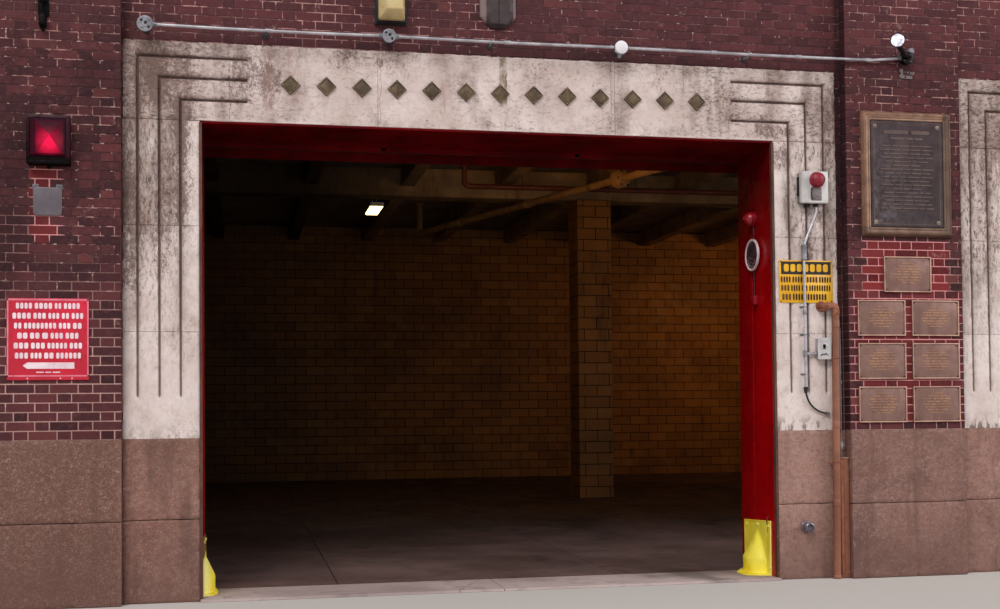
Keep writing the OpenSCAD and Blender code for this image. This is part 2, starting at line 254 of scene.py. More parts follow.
def rbox(b, lo, hi, r=3.0, seg=2, mat=0, tint=(0.5, 0, 0.5), matrix=None):
    """Box with rounded edges."""
    bm = bmesh.new()
    bmesh.ops.create_cube(bm, size=1.0)
    lo, hi = Vector(lo), Vector(hi)
    size, mid = hi - lo, (hi + lo) / 2
    for q in bm.verts:
        q.co = Vector((q.co.x * size.x, q.co.y * size.y, q.co.z * size.z)) + mid
    r = min(r, 0.49 * min(size))
    if r > 0:
        bmesh.ops.bevel(bm, geom=list(bm.edges), offset=r, segments=seg, profile=0.5, affect="EDGES")
    bmesh.ops.recalc_face_normals(bm, faces=bm.faces)
    bm.verts.index_update()
    bm_part(b, bm, mat, tint, matrix)


def prism(b, outline, y0, y1, r=0.0, seg=2, mat=0, tint=(0.5, 0, 0.5), matrix=None):
    """Outline in (x, z), pushed from y0 (front) to y1 (back), with its front edge rounded by r."""
    bm = bmesh.new()
    front = [bm.verts.new((x, y0, z)) for x, z in outline]
    back = [bm.verts.new((x, y1, z)) for x, z in outline]
    n = len(outline)
    f = bm.faces.new(front)
    bm.faces.new(back[::-1])
    for i in range(n):
        bm.faces.new((front[i], back[i], back[(i + 1) % n], front[(i + 1) % n]))
    bmesh.ops.recalc_face_normals(bm, faces=bm.faces)
    if r > 0:
        bmesh.ops.bevel(bm, geom=list(f.edges), offset=r, segments=seg, profile=0.5, affect="EDGES")
    bm.verts.index_update()
    bm_part(b, bm, mat, tint, matrix)


def lathe(b, profile, centre, axis, n=32, mat=0, tint=(0.5, 0, 0.5)):
    """Profile of (distance along axis, radius), turned about the axis through centre. Ends are capped."""
    axis = Vector(axis).normalized()
    side = Vector((0, 0, 1)) if abs(axis.z) < 0.9 else Vector((1, 0, 0))
    u = axis.cross(side).normalized()
    w = axis.cross(u).normalized()
    c = Vector(centre)
    verts, faces, rings = [], [], []
    for h, r in profile:
        if r < 1e-6:
            rings.append([len(verts)])
            verts.append(tuple(c + axis * h))
        else:
            ring = []
            for i in range(n):
                a = 2 * math.pi * i / n
                ring.append(len(verts))
                verts.append(tuple(c + axis * h + (u * math.cos(a) + w * math.sin(a)) * r))
            rings.append(ring)
    for p, q in zip(rings, rings[1:]):
        if len(p) == 1 and len(q) == 1:
            continue
        for i in range(n):
            j = (i + 1) % n
            if len(p) == 1:
                faces.append((p[0], q[i], q[j]))
            elif len(q) == 1:
                faces.append((p[i], q[0], p[j]))
            else:
                faces.append((p[i], q[i], q[j], p[j]))
    if len(rings[0]) > 1:
        faces.append(tuple(rings[0]))
    if len(rings[-1]) > 1:
        faces.append(tuple(rings[-1][::-1]))
    bm = bmesh.new()
    vs = [bm.verts.new(q) for q in verts]
    for f in faces:
        try:
            bm.faces.new([vs[i] for i in f])
        except ValueError:
            pass
    bmesh.ops.recalc_face_normals(bm, faces=bm.faces)
    bm.verts.index_update()
    bm_part(b, bm, mat, tint)


def bend_path(points, radius, steps=5):
    """Points with their corners rounded."""
    pts = [Vector(p) for p in points]
    out = [pts[0]]
    for a, c, d in zip(pts, pts[1:], pts[2:]):
        u, w = (a - c), (d - c)
        r = min(radius, u.length * 0.49, w.length * 0.49)
        u, w = u.normalized(), w.normalized()
        for i in range(steps + 1):
            t = i / steps
            p, q = c + u * r * (1 - t), c + w * r * t
            out.append(p.lerp(q, t))
    out.append(pts[-1])
    return out


def tube(b, points, r, n=12, mat=0, tint=(0.5, 0, 0.5), caps=True):
    pts = [Vector(p) for p in points]
    m = len(pts)
    tangents = []
    for i in range(m):
        t = pts[min(i + 1, m - 1)] - pts[max(i - 1, 0)]
        tangents.append(t.normalized())
    up = Vector((0, 0, 1)) if abs(tangents[0].z) < 0.9 else Vector((0, 1, 0))
    u = (up - tangents[0] * up.dot(tangents[0])).normalized()
    verts, faces = [], []
    radii = r if isinstance(r, (list, tuple)) else [r] * m
    for i in range(m):
        t = tangents[i]
        u = (u - t * u.dot(t)).normalized()
        w = t.cross(u)
        for k in range(n):
            a = 2 * math.pi * k / n
            verts.append(tuple(pts[i] + (u * math.cos(a) + w * math.sin(a)) * radii[i]))
    for i in range(m - 1):
        for k in range(n):
            j = (k + 1) % n
            faces.append((i * n + k, i * n + j, (i + 1) * n + j, (i + 1) * n + k))
    if caps:
        faces.append(tuple(range(n))[::-1])
        faces.append(tuple((m - 1) * n + k for k in range(n)))
    b.add(verts, faces, mat, tint)


def bolt(b, centre, axis, r=7.0, mat=0, head=5.0, n=6):
    """Small screw or bolt head that stands on a surface."""
    lathe(b, [(-1.0, r * 1.35), (1.2, r * 1.35), (1.2, r), (head * 0.75, r), (head, r * 0.75)], centre, axis, n=n * 2, mat=mat)


# ---------------------------------------------------------------- brickwork
FRONT_DIR = (np.array([1, 0, 0.0]), np.array([0, 0, 1.0]), np.array([0, -1, 0.0]))
REAR_DIR = (np.array([-1, 0, 0.0]), np.array([0, 0, 1.0]), np.array([0, 1, 0.0]))
LEFT_DIR = (np.array([0, -1, 0.0]), np.array([0, 0, 1.0]), np.array([-1, 0, 0.0]))
RIGHT_DIR = (np.array([0, 1, 0.0]), np.array([0, 0, 1.0]), np.array([1, 0, 0.0]))
CHART = {0: 3, 1: 2, 2: 1, 3: 0}
rng = np.random.RandomState(7)


def put_bricks(b, way, origin, rects, corner, tints, mat=0, depth=MORTAR_IN + 2.0, proud=0.0):
    """rects: N x 4 of (u0, u1, w0, w1) of brick faces; corner: N x 2, true where a side is a wall corner."""
    if len(rects) == 0:
        return
    u, w, n = (FRONT_DIR, REAR_DIR, LEFT_DIR, RIGHT_DIR)[way]
    rects, corner = np.asarray(rects, float), np.asarray(corner, bool)
    k = len(rects)
    back = rng.rand(k) * 1.6 - proud
    tilt = (rng.rand(k, 2) - 0.5) * 0.9
    slope = 1.3
    u0, u1, w0, w1 = rects.T
    jit = (rng.rand(4, k) - 0.5) * 2.0
    u0 = np.where(corner[:, 0], u0, u0 + jit[0])
    u1 = np.where(corner[:, 1], u1, u1 + jit[1])
    w0, w1 = w0 + jit[2] * 0.6, w1 + jit[3] * 0.6
    bu0 = np.where(corner[:, 0], u0, u0 - slope)
    bu1 = np.where(corner[:, 1], u1, u1 + slope)
    bw0, bw1 = w0 - slope, w1 + slope
    o = np.asarray(origin, float)

    def p(uu, ww, dd):
        return o + uu[:, None] * u + ww[:, None] * w - dd[:, None] * n

    d = np.full(k, depth)
    f = [np.clip(back + s * tilt[:, 0] + t * tilt[:, 1], 0.0 - proud, 3.5) for s, t in ((-1, -1), (1, -1), (1, 1), (-1, 1))]
    verts = np.stack([p(bu0, bw0, d), p(bu1, bw0, d), p(bu1, bw1, d), p(bu0, bw1, d),
                      p(u0, w0, f[0]), p(u1, w0, f[1]), p(u1, w1, f[2]), p(u0, w1, f[3])], 1).reshape(-1, 3)
    quads = np.array([[4, 5, 6, 7], [0, 1, 5, 4], [1, 2, 6, 5], [2, 3, 7, 6], [3, 0, 4, 7]])
    faces = (quads[None] + 8 * np.arange(k)[:, None, None]).reshape(-1, 4)
    b.add(verts, faces, mat, np.repeat(tints, 5, 0), CHART[way])


def brick_tints(k, new=0.0):
    t = np.zeros((k, 3))
    t[:, 0] = rng.rand(k)
    t[:, 1] = new
    t[:, 2] = rng.rand(k)
    return t


def lay(b, way, origin, U0, U1, courses, points, holes=(), corners=(False, False), is_new=None, own=None, mat=0, z0=GRANITE_H):
    """Lays courses of bricks. points(k) gives the joints of course k, holes are (u0, u1, z0, z1)."""
    rects, corner = [], []
    for k in courses:
        za, zb = z0 + k * COURSE + JOINT / 2, z0 + (k + 1) * COURSE - JOINT / 2
        spans, cut = [(U0, U1, corners[0], corners[1])], []
        for h0, h1, hz0, hz1 in holes:
            if zb > hz0 + 2 and za < hz1 - 2:
                nxt = []
                for s0, s1, c0, c1 in spans:
                    if h1 <= s0 or h0 >= s1:
                        nxt.append((s0, s1, c0, c1))
                        continue
                    if h0 > s0:
                        nxt.append((s0, h0, c0, True))
                    if h1 < s1:
                        nxt.append((h1, s1, True, c1))
                spans = nxt
        pts = points(k)
        for s0, s1, c0, c1 in spans:
            line = [s0] + sorted(q for q in pts if s0 + 34 < q < s1 - 34) + [s1]
            for i in range(len(line) - 1):
                a, d = line[i], line[i + 1]
                ca, cd = (i == 0 and c0), (i == len(line) - 2 and c1)
                rects.append((a if ca else a + JOINT / 2, d if cd else d - JOINT / 2, za, zb))
                corner.append((ca, cd))
    rects, corner = np.array(rects), np.array(corner)
    if own is not None:
        keep = own((rects[:, 0] + rects[:, 1]) / 2)
        rects, corner = rects[keep], corner[keep]
    tints = brick_tints(len(rects))
    if is_new is not None:
        tints[:, 1] = is_new((rects[:, 0] + rects[:, 1]) / 2, (rects[:, 2] + rects[:, 3]) / 2)
    put_bricks(b, way, origin, rects, corner, tints, mat)


HEAD, STRETCH = 102.8, 206.4


def run(first, kinds, far):
    """Joints from 0 outward: first a list of widths, then headers and stretchers in turn."""
    out, x = [], 0.0
    for q in first:
        x += q
        out.append(x)
    i = 0
    while x < far:
        x += (HEAD, STRETCH)[(kinds + i) % 2]
        out.append(x)
        i += 1
    return out


PIER_EVEN, PIER_ODD = run([48.0], 0, 1300), run([], 1, 1300)


def left_pier(k):
    return [PIER_OUT * -1 - q for q in (PIER_EVEN if k % 2 == 0 else PIER_ODD)]


def right_pier(k):
    return [PIER_OUT + q for q in (PIER_EVEN if k % 2 == 0 else PIER_ODD)]


def centre_pier(k):
    if k % 2 == 0:
        half = [HEAD / 2, HEAD / 2 + STRETCH, HEAD * 1.5 + STRETCH, 489.0]
    else:
        half = [STRETCH / 2, STRETCH / 2 + HEAD, STRETCH * 1.5 + HEAD]
    return [8 + q for q in half] + [8 - q for q in half]


def flemish(mid):
    even = [HEAD / 2]
    odd = [STRETCH / 2]
    for i in range(40):
        even.append(even[-1] + (STRETCH, HEAD)[i % 2])
        odd.append(odd[-1] + (HEAD, STRETCH)[i % 2])
    table = [[mid + q for q in s] + [mid - q for q in s] for s in (even, odd)]
    return lambda k: table[k % 2]


def running(pitch, shift=0.0):
    table = [[shift + (i + 0.5 * p) * pitch for i in range(-90, 91)] for p in (0, 1)]
    return lambda k: table[k % 2]


# ---------------------------------------------------------------- materials
def S(r, g, b_):
    """sRGB 0..255 to linear."""
    def one(c):
        c /= 255.0
        return c / 12.92 if c <= 0.04045 else ((c + 0.055) / 1.055) ** 2.4
    return (one(r), one(g), one(b_), 1.0)


class Mat:
    def __init__(self, name, metallic=0.0, rough=0.8, spec=0.5):
        self.m = bpy.data.materials.new(name)
        self.m.use_nodes = True
        self.t = self.m.node_tree
        self.t.nodes.clear()
        self.out = self.t.nodes.new("ShaderNodeOutputMaterial")
        self.b = self.t.nodes.new("ShaderNodeBsdfPrincipled")
        self.t.links.new(self.b.outputs[0], self.out.inputs[0])
        self.b.inputs["Metallic"].default_value = metallic
        self.b.inputs["Roughness"].default_value = rough
        self.b.inputs["Specular IOR Level"].default_value = spec
        co = self.t.nodes.new("ShaderNodeTexCoord")
        self.co = co.outputs["Object"]
        self._xyz = None

    def put(self, sock, v):
        if isinstance(v, bpy.types.NodeSocket):
            self.t.links.new(v, sock)
        elif v is not None:
            if hasattr(sock.default_value, "__len__") and not hasattr(v, "__len__"):
                sock.default_value = [v] * len(sock.default_value)
            elif hasattr(sock.default_value, "__len__") and len(sock.default_value) == 3:
                sock.default_value = v[:3]
            else:
                sock.default_value = v

    def xyz(self):
        if self._xyz is None:
            n = self.t.nodes.new("ShaderNodeSeparateXYZ")
            self.t.links.new(self.co, n.inputs[0])
            self._xyz = n.outputs
        return self._xyz

    def math(self, op, a, b_=None, c=None, clamp=False):
        n = self.t.nodes.new("ShaderNodeMath")
        n.operation = op
        n.use_clamp = clamp
        self.put(n.inputs[0], a)
        if b_ is not None:
            self.put(n.inputs[1], b_)
        if c is not None:
            self.put(n.inputs[2], c)
        return n.outputs[0]

    def add(self, a, b_, clamp=False):
        return self.math("ADD", a, b_, clamp=clamp)

    def mul(self, a, b_, clamp=False):
        return self.math("MULTIPLY", a, b_, clamp=clamp)

    def stretch(self, sx, sy, sz, off=(0, 0, 0), vec=None):
        n = self.t.nodes.new("ShaderNodeMapping")
        self.put(n.inputs["Vector"], vec or self.co)
        n.inputs["Scale"].default_value = (sx, sy, sz)
        n.inputs["Location"].default_value = off
        return n.outputs[0]

    def noise(self, scale, detail=3.0, rough=0.5, vec=None, dist=0.0, color=False):
        n = self.t.nodes.new("ShaderNodeTexNoise")
        self.put(n.inputs["Vector"], vec or self.co)
        n.inputs["Scale"].default_value = scale
        n.inputs["Detail"].default_value = detail
        n.inputs["Roughness"].default_value = rough
        n.inputs["Distortion"].default_value = dist
        return n.outputs["Color" if color else "Fac"]

    def voronoi(self, scale, feature="F1", vec=None, out="Distance", rand=1.0):
        n = self.t.nodes.new("ShaderNodeTexVoronoi")
        n.feature = feature
        self.put(n.inputs["Vector"], vec or self.co)
        n.inputs["Scale"].default_value = scale
        n.inputs["Randomness"].default_value = rand
        return n.outputs[out]

    def band(self, v, lo, hi, a=0.0, b_=1.0):
        """Smooth step of v from lo to hi, giving a to b_."""
        n = self.t.nodes.new("ShaderNodeMapRange")
        n.interpolation_type = "SMOOTHSTEP"
        self.put(n.inputs["Value"], v)
        n.inputs["From Min"].default_value = lo
        n.inputs["From Max"].default_value = hi
        n.inputs["To Min"].default_value = a
        n.inputs["To Max"].default_value = b_
        return n.outputs[0]

    def ramp(self, fac, stops):
        n = self.t.nodes.new("ShaderNodeValToRGB")
        self.put(n.inputs[0], fac)
        cr = n.color_ramp
        while len(cr.elements) > 1:
            cr.elements.remove(cr.elements[-1])
        cr.elements[0].position = stops[0][0]
        cr.elements[0].color = stops[0][1]
        for p, c in stops[1:]:
            cr.elements.new(p).color = c
        return n.outputs[0]

    def mix(self, fac, a, b_, mode="MIX"):
        n = self.t.nodes.new("ShaderNodeMix")
        n.data_type = "RGBA"
        n.blend_type = mode
        self.put(n.inputs[0], fac)
        self.put(n.inputs[6], a)
        self.put(n.inputs[7], b_)
        return n.outputs[2]

    def attr(self, name):
        n = self.t.nodes.new("ShaderNodeAttribute")
        n.attribute_name = name
        s = self.t.nodes.new("ShaderNodeSeparateXYZ")
        self.t.links.new(n.outputs["Vector"], s.inputs[0])
        return s.outputs

    def inside(self, axis_ranges, soft=0.004):
        """1 inside a box given as ((axis, low, high), ...) in metres of the object's frame."""
        out = None
        for axis, lo, hi in axis_ranges:
            v = self.xyz()[axis]
            q = self.mul(self.band(v, lo - soft, lo + soft), self.band(v, hi - soft, hi + soft, 1.0, 0.0))
            out = q if out is None else self.mul(out, q)
        return out

    def done(self, color, rough=None, bump=None, dist=0.002, strength=1.0):
        self.put(self.b.inputs["Base Color"], color)
        if rough is not None:
            self.put(self.b.inputs["Roughness"], rough)
        if bump is not None:
            n = self.t.nodes.new("ShaderNodeBump")
            n.inputs["Strength"].default_value = strength
            n.inputs["Distance"].default_value = dist
            self.put(n.inputs["Height"], bump)
            self.t.links.new(n.outputs[0], self.b.inputs["Normal"])
        return self.m


# soot on the brick: centre, half width and half height in metres, amount
BRICK_SOOT = ((-7.34, 2.86, 0.26, 0.55, 0.46), (-6.62, 3.90, 0.24, 0.30, 0.34), (-7.32, 3.40, 0.24, 0.34, 0.26), (-6.55, 4.45, 0.25, 0.25, 0.20),
              (-0.90, 4.45, 0.40, 0.20, 0.20), (-3.5, 4.34, 3.1, 0.085, 0.42), (0.0, 4.35, 0.50, 0.25, 0.12), (7.34, 3.1, 0.26, 0.7, 0.35), (6.62, 4.0, 0.24, 0.4, 0.25))


def soot_and_nook_shade_on(k, col, dark):
    """Soot in patches on the front, and painted shade in the corners on both sides of the centre pier."""
    x, y, z = k.xyz()
    rough_edge = k.mul(k.math("SUBTRACT", k.noise(5.0, 4, 0.65), 0.5), 1.1)
    total = None
    for cx_, cz_, rx, rz, amount in BRICK_SOOT:
        dx = k.math("POWER", k.math("ABSOLUTE", k.mul(k.math("SUBTRACT", x, cx_), 1.0 / rx)), 2.0)
        dz = k.math("POWER", k.math("ABSOLUTE", k.mul(k.math("SUBTRACT", z, cz_), 1.0 / rz)), 2.0)
        q = k.mul(k.band(k.add(k.add(dx, dz), rough_edge), 0.2, 1.4, 1.0, 0.0), amount)
        total = q if total is None else k.math("MAXIMUM", total, q)
    total = k.mul(total, k.band(y, -7.95, -7.8, 1.0, 0.0))
    col = k.mix(total, col, dark)
    ax = k.math("ABSOLUTE", x)
    # painted shade: a dark band in the nooks on both sides of the centre pier
    nook_shade = k.mul(k.mul(k.band(ax, 0.516, 0.524), k.band(ax, 0.55, 0.60, 1.0, 0.0)), k.mul(k.band(y, -8.275, -8.262), k.band(y, -8.0, -7.9, 1.0, 0.0)))
    return k.mix(k.mul(nook_shade, 0.62), col, S(28, 14, 18))


def make_brick(dark=1.0, name="brick_old"):
    k = Mat(name, rough=0.85, spec=0.15)
    t = k.attr("tint")
    z = k.xyz()[2]
    old = k.ramp(t[0], [(0.0, S(56, 31, 34)), (0.25, S(72, 39, 42)), (0.55, S(86, 44, 47)), (0.8, S(100, 51, 53)),
                        (0.93, S(80, 46, 49)), (1.0, S(116, 61, 57))])
    # the brick over the surround is a little paler and more purple
    old = k.mix(k.band(z, 4.0, 4.5, 0.0, 0.3), old, S(104, 58, 64))
    old = k.mix(k.band(z, 2.2, 3.4, 0.0, 0.22), old, S(58, 34, 36))
    new = k.ramp(t[0], [(0.0, S(84, 27, 29)), (0.4, S(112, 36, 38)), (0.75, S(128, 46, 46)), (1.0, S(96, 30, 34))])
    col = k.mix(t[1], old, new)
    stain = k.noise(0.55, 4, 0.6)
    col = k.mix(k.band(stain, 0.44, 0.68, 0.0, 0.42), col, S(60, 38, 42))
    streak = k.noise(2.2, 3, 0.55, k.stretch(1, 1, 0.16))
    col = k.mix(k.band(streak, 0.52, 0.75, 0.0, 0.35), col, S(44, 31, 33))
    blot = k.noise(26, 3, 0.6)
    col = k.mix(k.band(blot, 0.5, 0.72, 0.0, 0.30), col, S(118, 70, 68))
    smear = k.mul(k.band(k.noise(9, 5, 0.75), 0.60, 0.70), k.band(k.noise(1.1, 2), 0.48, 0.62))
    col = k.mix(k.mul(smear, 0.55), col, S(158, 132, 126))
    fleck = k.band(k.noise(160, 2, 0.6), 0.62, 0.8)
    col = k.mix(k.mul(fleck, 0.35), col, S(150, 120, 112))
    col = soot_and_nook_shade_on(k, col, S(36, 21, 24))
    rough = k.band(k.noise(40, 2), 0.3, 0.7, 0.72, 0.95)
    bump = k.add(k.mul(k.noise(90, 3, 0.65), 0.8), k.mul(k.noise(420, 1, 0.5), 0.35))
    return k.done(col, rough, bump, 0.0022, 0.8)


NEW_PATCHES = (((0, -0.40, 0.40), (2, 2.40, 2.90)), ((0, -0.50, 0.52), (2, 1.29, 2.42)),
               ((0, -7.115, -6.885), (2, 2.74, 3.30)))


def make_mortar():
    k = Mat("mortar", rough=0.95, spec=0.15)
    z = k.xyz()[2]
    base = k.mix(k.band(k.noise(3.5, 4, 0.6), 0.35, 0.65), S(186, 140, 134), S(150, 108, 104))
    # the joints are dark with soot, and clean only in patches and low down
    patch = k.noise(1.7, 4, 0.62)
    fine = k.noise(11, 3, 0.6, k.stretch(1, 1, 2.2))
    clean = k.band(k.add(k.mul(patch, 0.55), k.mul(fine, 0.45)), 0.50, 0.575)
    low = k.mul(k.band(k.add(z, k.mul(patch, 0.9)), 2.2, 3.2, 1.0, 0.0), k.band(k.xyz()[1], -7.95, -7.8, 1.0, 0.0))
    high = k.band(z, 4.1, 4.6, 0.0, 0.16)
    clean = k.math("MAXIMUM", k.add(clean, high, clamp=True), k.mul(low, 0.95))
    # over the right half of the left doorway the joints are nearly as dark as the brick
    x = k.xyz()[0]
    darkening = k.mul(k.mul(k.band(x, -3.9, -2.9), k.band(x, -0.62, -0.56, 1.0, 0.0)), k.mul(k.band(z, 4.2, 4.3), k.band(z, 5.0, 5.6, 1.0, 0.0)))
    clean = k.mul(clean, k.math("SUBTRACT", 1.0, k.mul(darkening, 0.72)))
    col = k.mix(clean, S(74, 47, 48), base)
    col = k.mix(k.mul(low, 0.45), col, S(206, 166, 156))
    hot = k.band(k.noise(24, 2, 0.6), 0.60, 0.70)
    col = k.mix(k.mul(hot, 0.6), col, S(216, 188, 180))
    fresh = None
    for box in NEW_PATCHES:
        q = k.mul(k.inside(box, 0.02), k.band(k.xyz()[1], -8.0, -7.9, 1.0, 0.0))
        fresh = q if fresh is None else k.math("MAXIMUM", fresh, q)
    col = k.mix(k.mul(fresh, 0.95), col, S(222, 150, 150))
    col = soot_and_nook_shade_on(k, col, S(46, 28, 31))
    return k.done(col, None, k.noise(220, 3, 0.6), 0.002, 0.9)


def make_plain_wall():
    """Plaster and fire-proofing on the inside faces of walls and floors."""
    k = Mat("inner_plaster", rough=0.9, spec=0.2)
    col = k.mix(k.band(k.noise(0.8, 5, 0.6), 0.35, 0.65), S(84, 70, 54), S(56, 47, 39))
    col = k.mix(k.band(k.noise(3.0, 5, 0.7, k.stretch(1, 1, 0.3)), 0.52, 0.7, 0, 0.6), col, S(38, 32, 27))
    return k.done(col, k.band(k.noise(7), 0.3, 0.7, 0.75, 0.95), k.noise(60, 4, 0.6), 0.003, 0.6)


# patches of crust on the stone: centre, half width and half height in metres, amount
LIMESTONE_CRUST = ((-4.75, 4.22, 0.30, 0.12, 0.15), (-4.30, 4.20, 0.26, 0.17, 0.14), (-5.33, 4.02, 0.12, 0.26, 0.22), (-5.62, 4.04, 0.26, 0.26, 0.18), (-3.0, 4.20, 0.34, 0.12, 0.12),
                   (-2.19, 4.20, 0.30, 0.15, 0.20), (-2.12, 3.99, 0.07, 0.16, 0.10), (-1.55, 3.95, 0.10, 0.22, 0.14), (-1.22, 3.78, 0.35, 0.07, 0.18),
                   (-1.10, 3.56, 0.11, 0.17, 0.30), (-0.80, 3.0, 0.14, 0.6, 0.12), (-0.62, 3.9, 0.10, 0.5, 0.12), (-6.33, 4.05, 0.22, 0.42, 0.14),
                   (-6.14, 4.02, 0.22, 0.30, 0.12), (-5.98, 3.62, 0.10, 0.30, 0.14), (-6.42, 2.9, 0.08, 0.9, 0.14), (-3.85, 3.76, 0.5, 0.05, 0.10),
                   (-6.03, 3.35, 0.16, 0.48, 0.13), (-6.25, 2.62, 0.26, 0.42, 0.09), (4.6, 4.2, 0.5, 0.14, 0.18), (2.3, 4.15, 0.4, 0.12, 0.16), (5.9, 4.0, 0.4, 0.3, 0.12), (1.1, 3.7, 0.2, 0.4, 0.14))


def make_limestone():
    k = Mat("limestone", rough=0.85, spec=0.25)
    w = k.attr("wear")  # x: groove or joint, y: near an edge, z: grime
    z = k.xyz()[2]
    base = k.mix(k.band(k.noise(1.6, 4, 0.6), 0.35, 0.65), S(228, 213, 208), S(210, 193, 186))
    base = k.mix(k.band(k.noise(7.0, 5, 0.65), 0.48, 0.72, 0, 0.6), base, S(192, 171, 160))
    base = k.mix(k.band(k.noise(30, 4, 0.7), 0.55, 0.75, 0, 0.45), base, S(172, 150, 141))
    # the lintel is duller than the feet, mottled in patches
    upper = k.band(z, 3.66, 3.74)
    base = k.mix(k.mul(upper, k.band(k.noise(2.6, 5, 0.62), 0.40, 0.66, 0.15, 0.75)), base, S(186, 165, 158))
    # broad grey-brown grime, as painted on the mesh, broken up by streaks
    streak = k.noise(5.0, 5, 0.65, k.stretch(1.0, 1.0, 0.22))
    g = k.add(w[2], k.mul(k.band(streak, 0.3, 0.72, -0.5, 0.5), k.band(w[2], 0.02, 0.5)))
    base = k.mix(k.band(g, 0.10, 1.0, 0, 0.72), base, S(118, 97, 88))
    # scoured stone: pale flecks and dark pits side by side where the grime sits
    upright = k.noise(46, 6, 0.82, k.stretch(1, 1, 0.38), dist=0.3)
    cross = k.noise(46, 6, 0.82, k.stretch(0.5, 1, 1.0), dist=0.5)
    scour = k.mix(upper, upright, cross)
    rub = k.band(w[2], 0.04, 0.75, 0.12, 1.0)
    base = k.mix(k.mul(k.band(scour, 0.37, 0.48, 1.0, 0.0), k.mul(rub, 0.60)), base, S(204, 187, 178))
    base = k.mix(k.mul(k.band(scour, 0.50, 0.60), k.mul(rub, 0.86)), base, S(74, 57, 50))
    # dark crust in specks and short runs, thick only where grime is
    clus = k.noise(3.4, 3, 0.6, k.stretch(1, 1, 0.5))
    spots = k.noise(42, 6, 0.82, k.stretch(1, 1, 0.6), dist=0.6)
    pin = k.noise(95, 3, 0.7)
    near = k.add(k.mul(w[1], 0.06), k.mul(w[2], 0.10))
    x = k.xyz()[0]
    for cx_, cz_, rx, rz, amount in LIMESTONE_CRUST:
        dx = k.math("POWER", k.math("ABSOLUTE", k.mul(k.math("SUBTRACT", x, cx_), 1.0 / rx)), 2.0)
        dz = k.math("POWER", k.math("ABSOLUTE", k.mul(k.math("SUBTRACT", z, cz_), 1.0 / rz)), 2.0)
        near = k.add(near, k.mul(k.band(k.add(dx, dz), 0.0, 1.3, 1.0, 0.0), amount * 0.64))
    level = k.add(k.add(k.add(k.mul(spots, 0.62), k.mul(pin, 0.16)), k.mul(clus, 0.36)), near)
    crust = k.band(level, 0.715, 0.79)
    base = k.mix(k.mul(crust, 0.75), base, S(72, 54, 50))
    # brown bloom round the crust
    base = k.mix(k.band(level, 0.64, 0.76, 0.0, 0.22), base, S(150, 118, 108))
    # fine winding cracks
    ridge = k.math("ABSOLUTE", k.math("SUBTRACT", k.noise(5.5, 4, 0.6, dist=1.4), 0.5))
    crack = k.mul(k.band(ridge, 0.0, 0.008, 1.0, 0.0), k.band(k.add(k.noise(1.3, 2), k.mul(near, 0.5)), 0.54, 0.64))
    base = k.mix(k.mul(crack, 0.55), base, S(92, 74, 68))
    # rust-red traces
    rust = k.mul(k.band(k.noise(14, 4, 0.7), 0.60, 0.70), k.band(k.noise(1.9, 2, 0.5, k.stretch(1, 1, 1, (7, 3, 1))), 0.50, 0.62))
    base = k.mix(k.mul(rust, 0.5), base, S(156, 108, 98))
    # dark foot just above the granite, more of it at the centre pier's end
    x = k.xyz()[0]
    foot = k.mul(k.band(z, 1.25, 1.42, 1.0, 0.0), k.band(k.noise(17, 5, 0.7, k.stretch(1, 1, 0.5)), 0.49, 0.58))
    foot = k.mul(foot, k.band(x, -2.2, -1.8, 0.35, 1.0))
    base = k.mix(k.mul(foot, 0.78), base, S(82, 68, 59))
    # olive run down from the top of the lintel
    wob = k.mul(k.math("SUBTRACT", k.noise(3.0, 3, 0.5, k.stretch(0, 0, 1)), 0.5), 0.05)
    for cx_, half, z0, z1, c, amount in ((-3.487, 0.036, 3.94, 4.02, S(106, 92, 66), 0.95), (3.487, 0.022, 4.00, 4.2, S(128, 110, 90), 0.5)):
        d = k.math("ABSOLUTE", k.math("SUBTRACT", k.math("SUBTRACT", x, cx_), k.mul(wob, 0.3)))
        d = k.add(d, k.mul(k.math("SUBTRACT", k.noise(26, 4, 0.6), 0.5), 0.030))
        q = k.mul(k.band(d, half * 0.75, half, 1.0, 0.0), k.band(k.add(z, k.mul(k.noise(20, 3), 0.10)), z0 - 0.03, z1 + 0.03))
        q = k.mul(q, k.band(k.noise(15, 4, 0.6, k.stretch(1, 1, 0.5)), 0.34, 0.60, 0.35, 1.0))
        base = k.mix(k.mul(q, amount), base, c)
    for cx_, z0, z1 in ((5.425, 4.0, 4.32), (-1.95, 4.05, 4.32), (-2.575, 3.72, 4.33), (-4.49, 3.74, 4.32), (-5.66, 3.72, 4.0)):
        wob2 = k.mul(k.math("SUBTRACT", k.noise(9.0, 4, 0.6, k.stretch(0, 0, 1, (cx_, 0, 0))), 0.5), 0.09)
        d = k.math("ABSOLUTE", k.math("SUBTRACT", k.math("SUBTRACT", x, cx_), wob2))
        q = k.mul(k.band(d, 0.001, 0.004, 1.0, 0.0), k.mul(k.band(z, z0, z0 + 0.01), k.band(z, z1, z1 + 0.01, 1, 0)))
        base = k.mix(k.mul(q, 0.6), base, S(86, 70, 64))
    # dark run down the left part of the lintel, and rust-brown smears beside it
    for cx_, half, z0, z1, c, amount in ((-5.36, 0.07, 3.72, 4.30, S(138, 104, 94), 0.7), (-5.18, 0.10, 3.80, 4.28, S(164, 132, 122), 0.6),
                                         (-3.98, 0.05, 3.72, 4.26, S(150, 122, 112), 0.55)):
        d = k.math("ABSOLUTE", k.math("SUBTRACT", k.math("SUBTRACT", x, cx_), k.mul(wob, 1.6)))
        q = k.mul(k.band(d, 0.0, half, 1.0, 0.0), k.mul(k.band(z, z0, z0 + 0.12), k.band(z, z1, z1 + 0.03, 1, 0)))
        q = k.mul(q, k.band(k.noise(22, 5, 0.7, k.stretch(1, 1, 0.4)), 0.40, 0.60))
        base = k.mix(k.mul(q, amount), base, c)
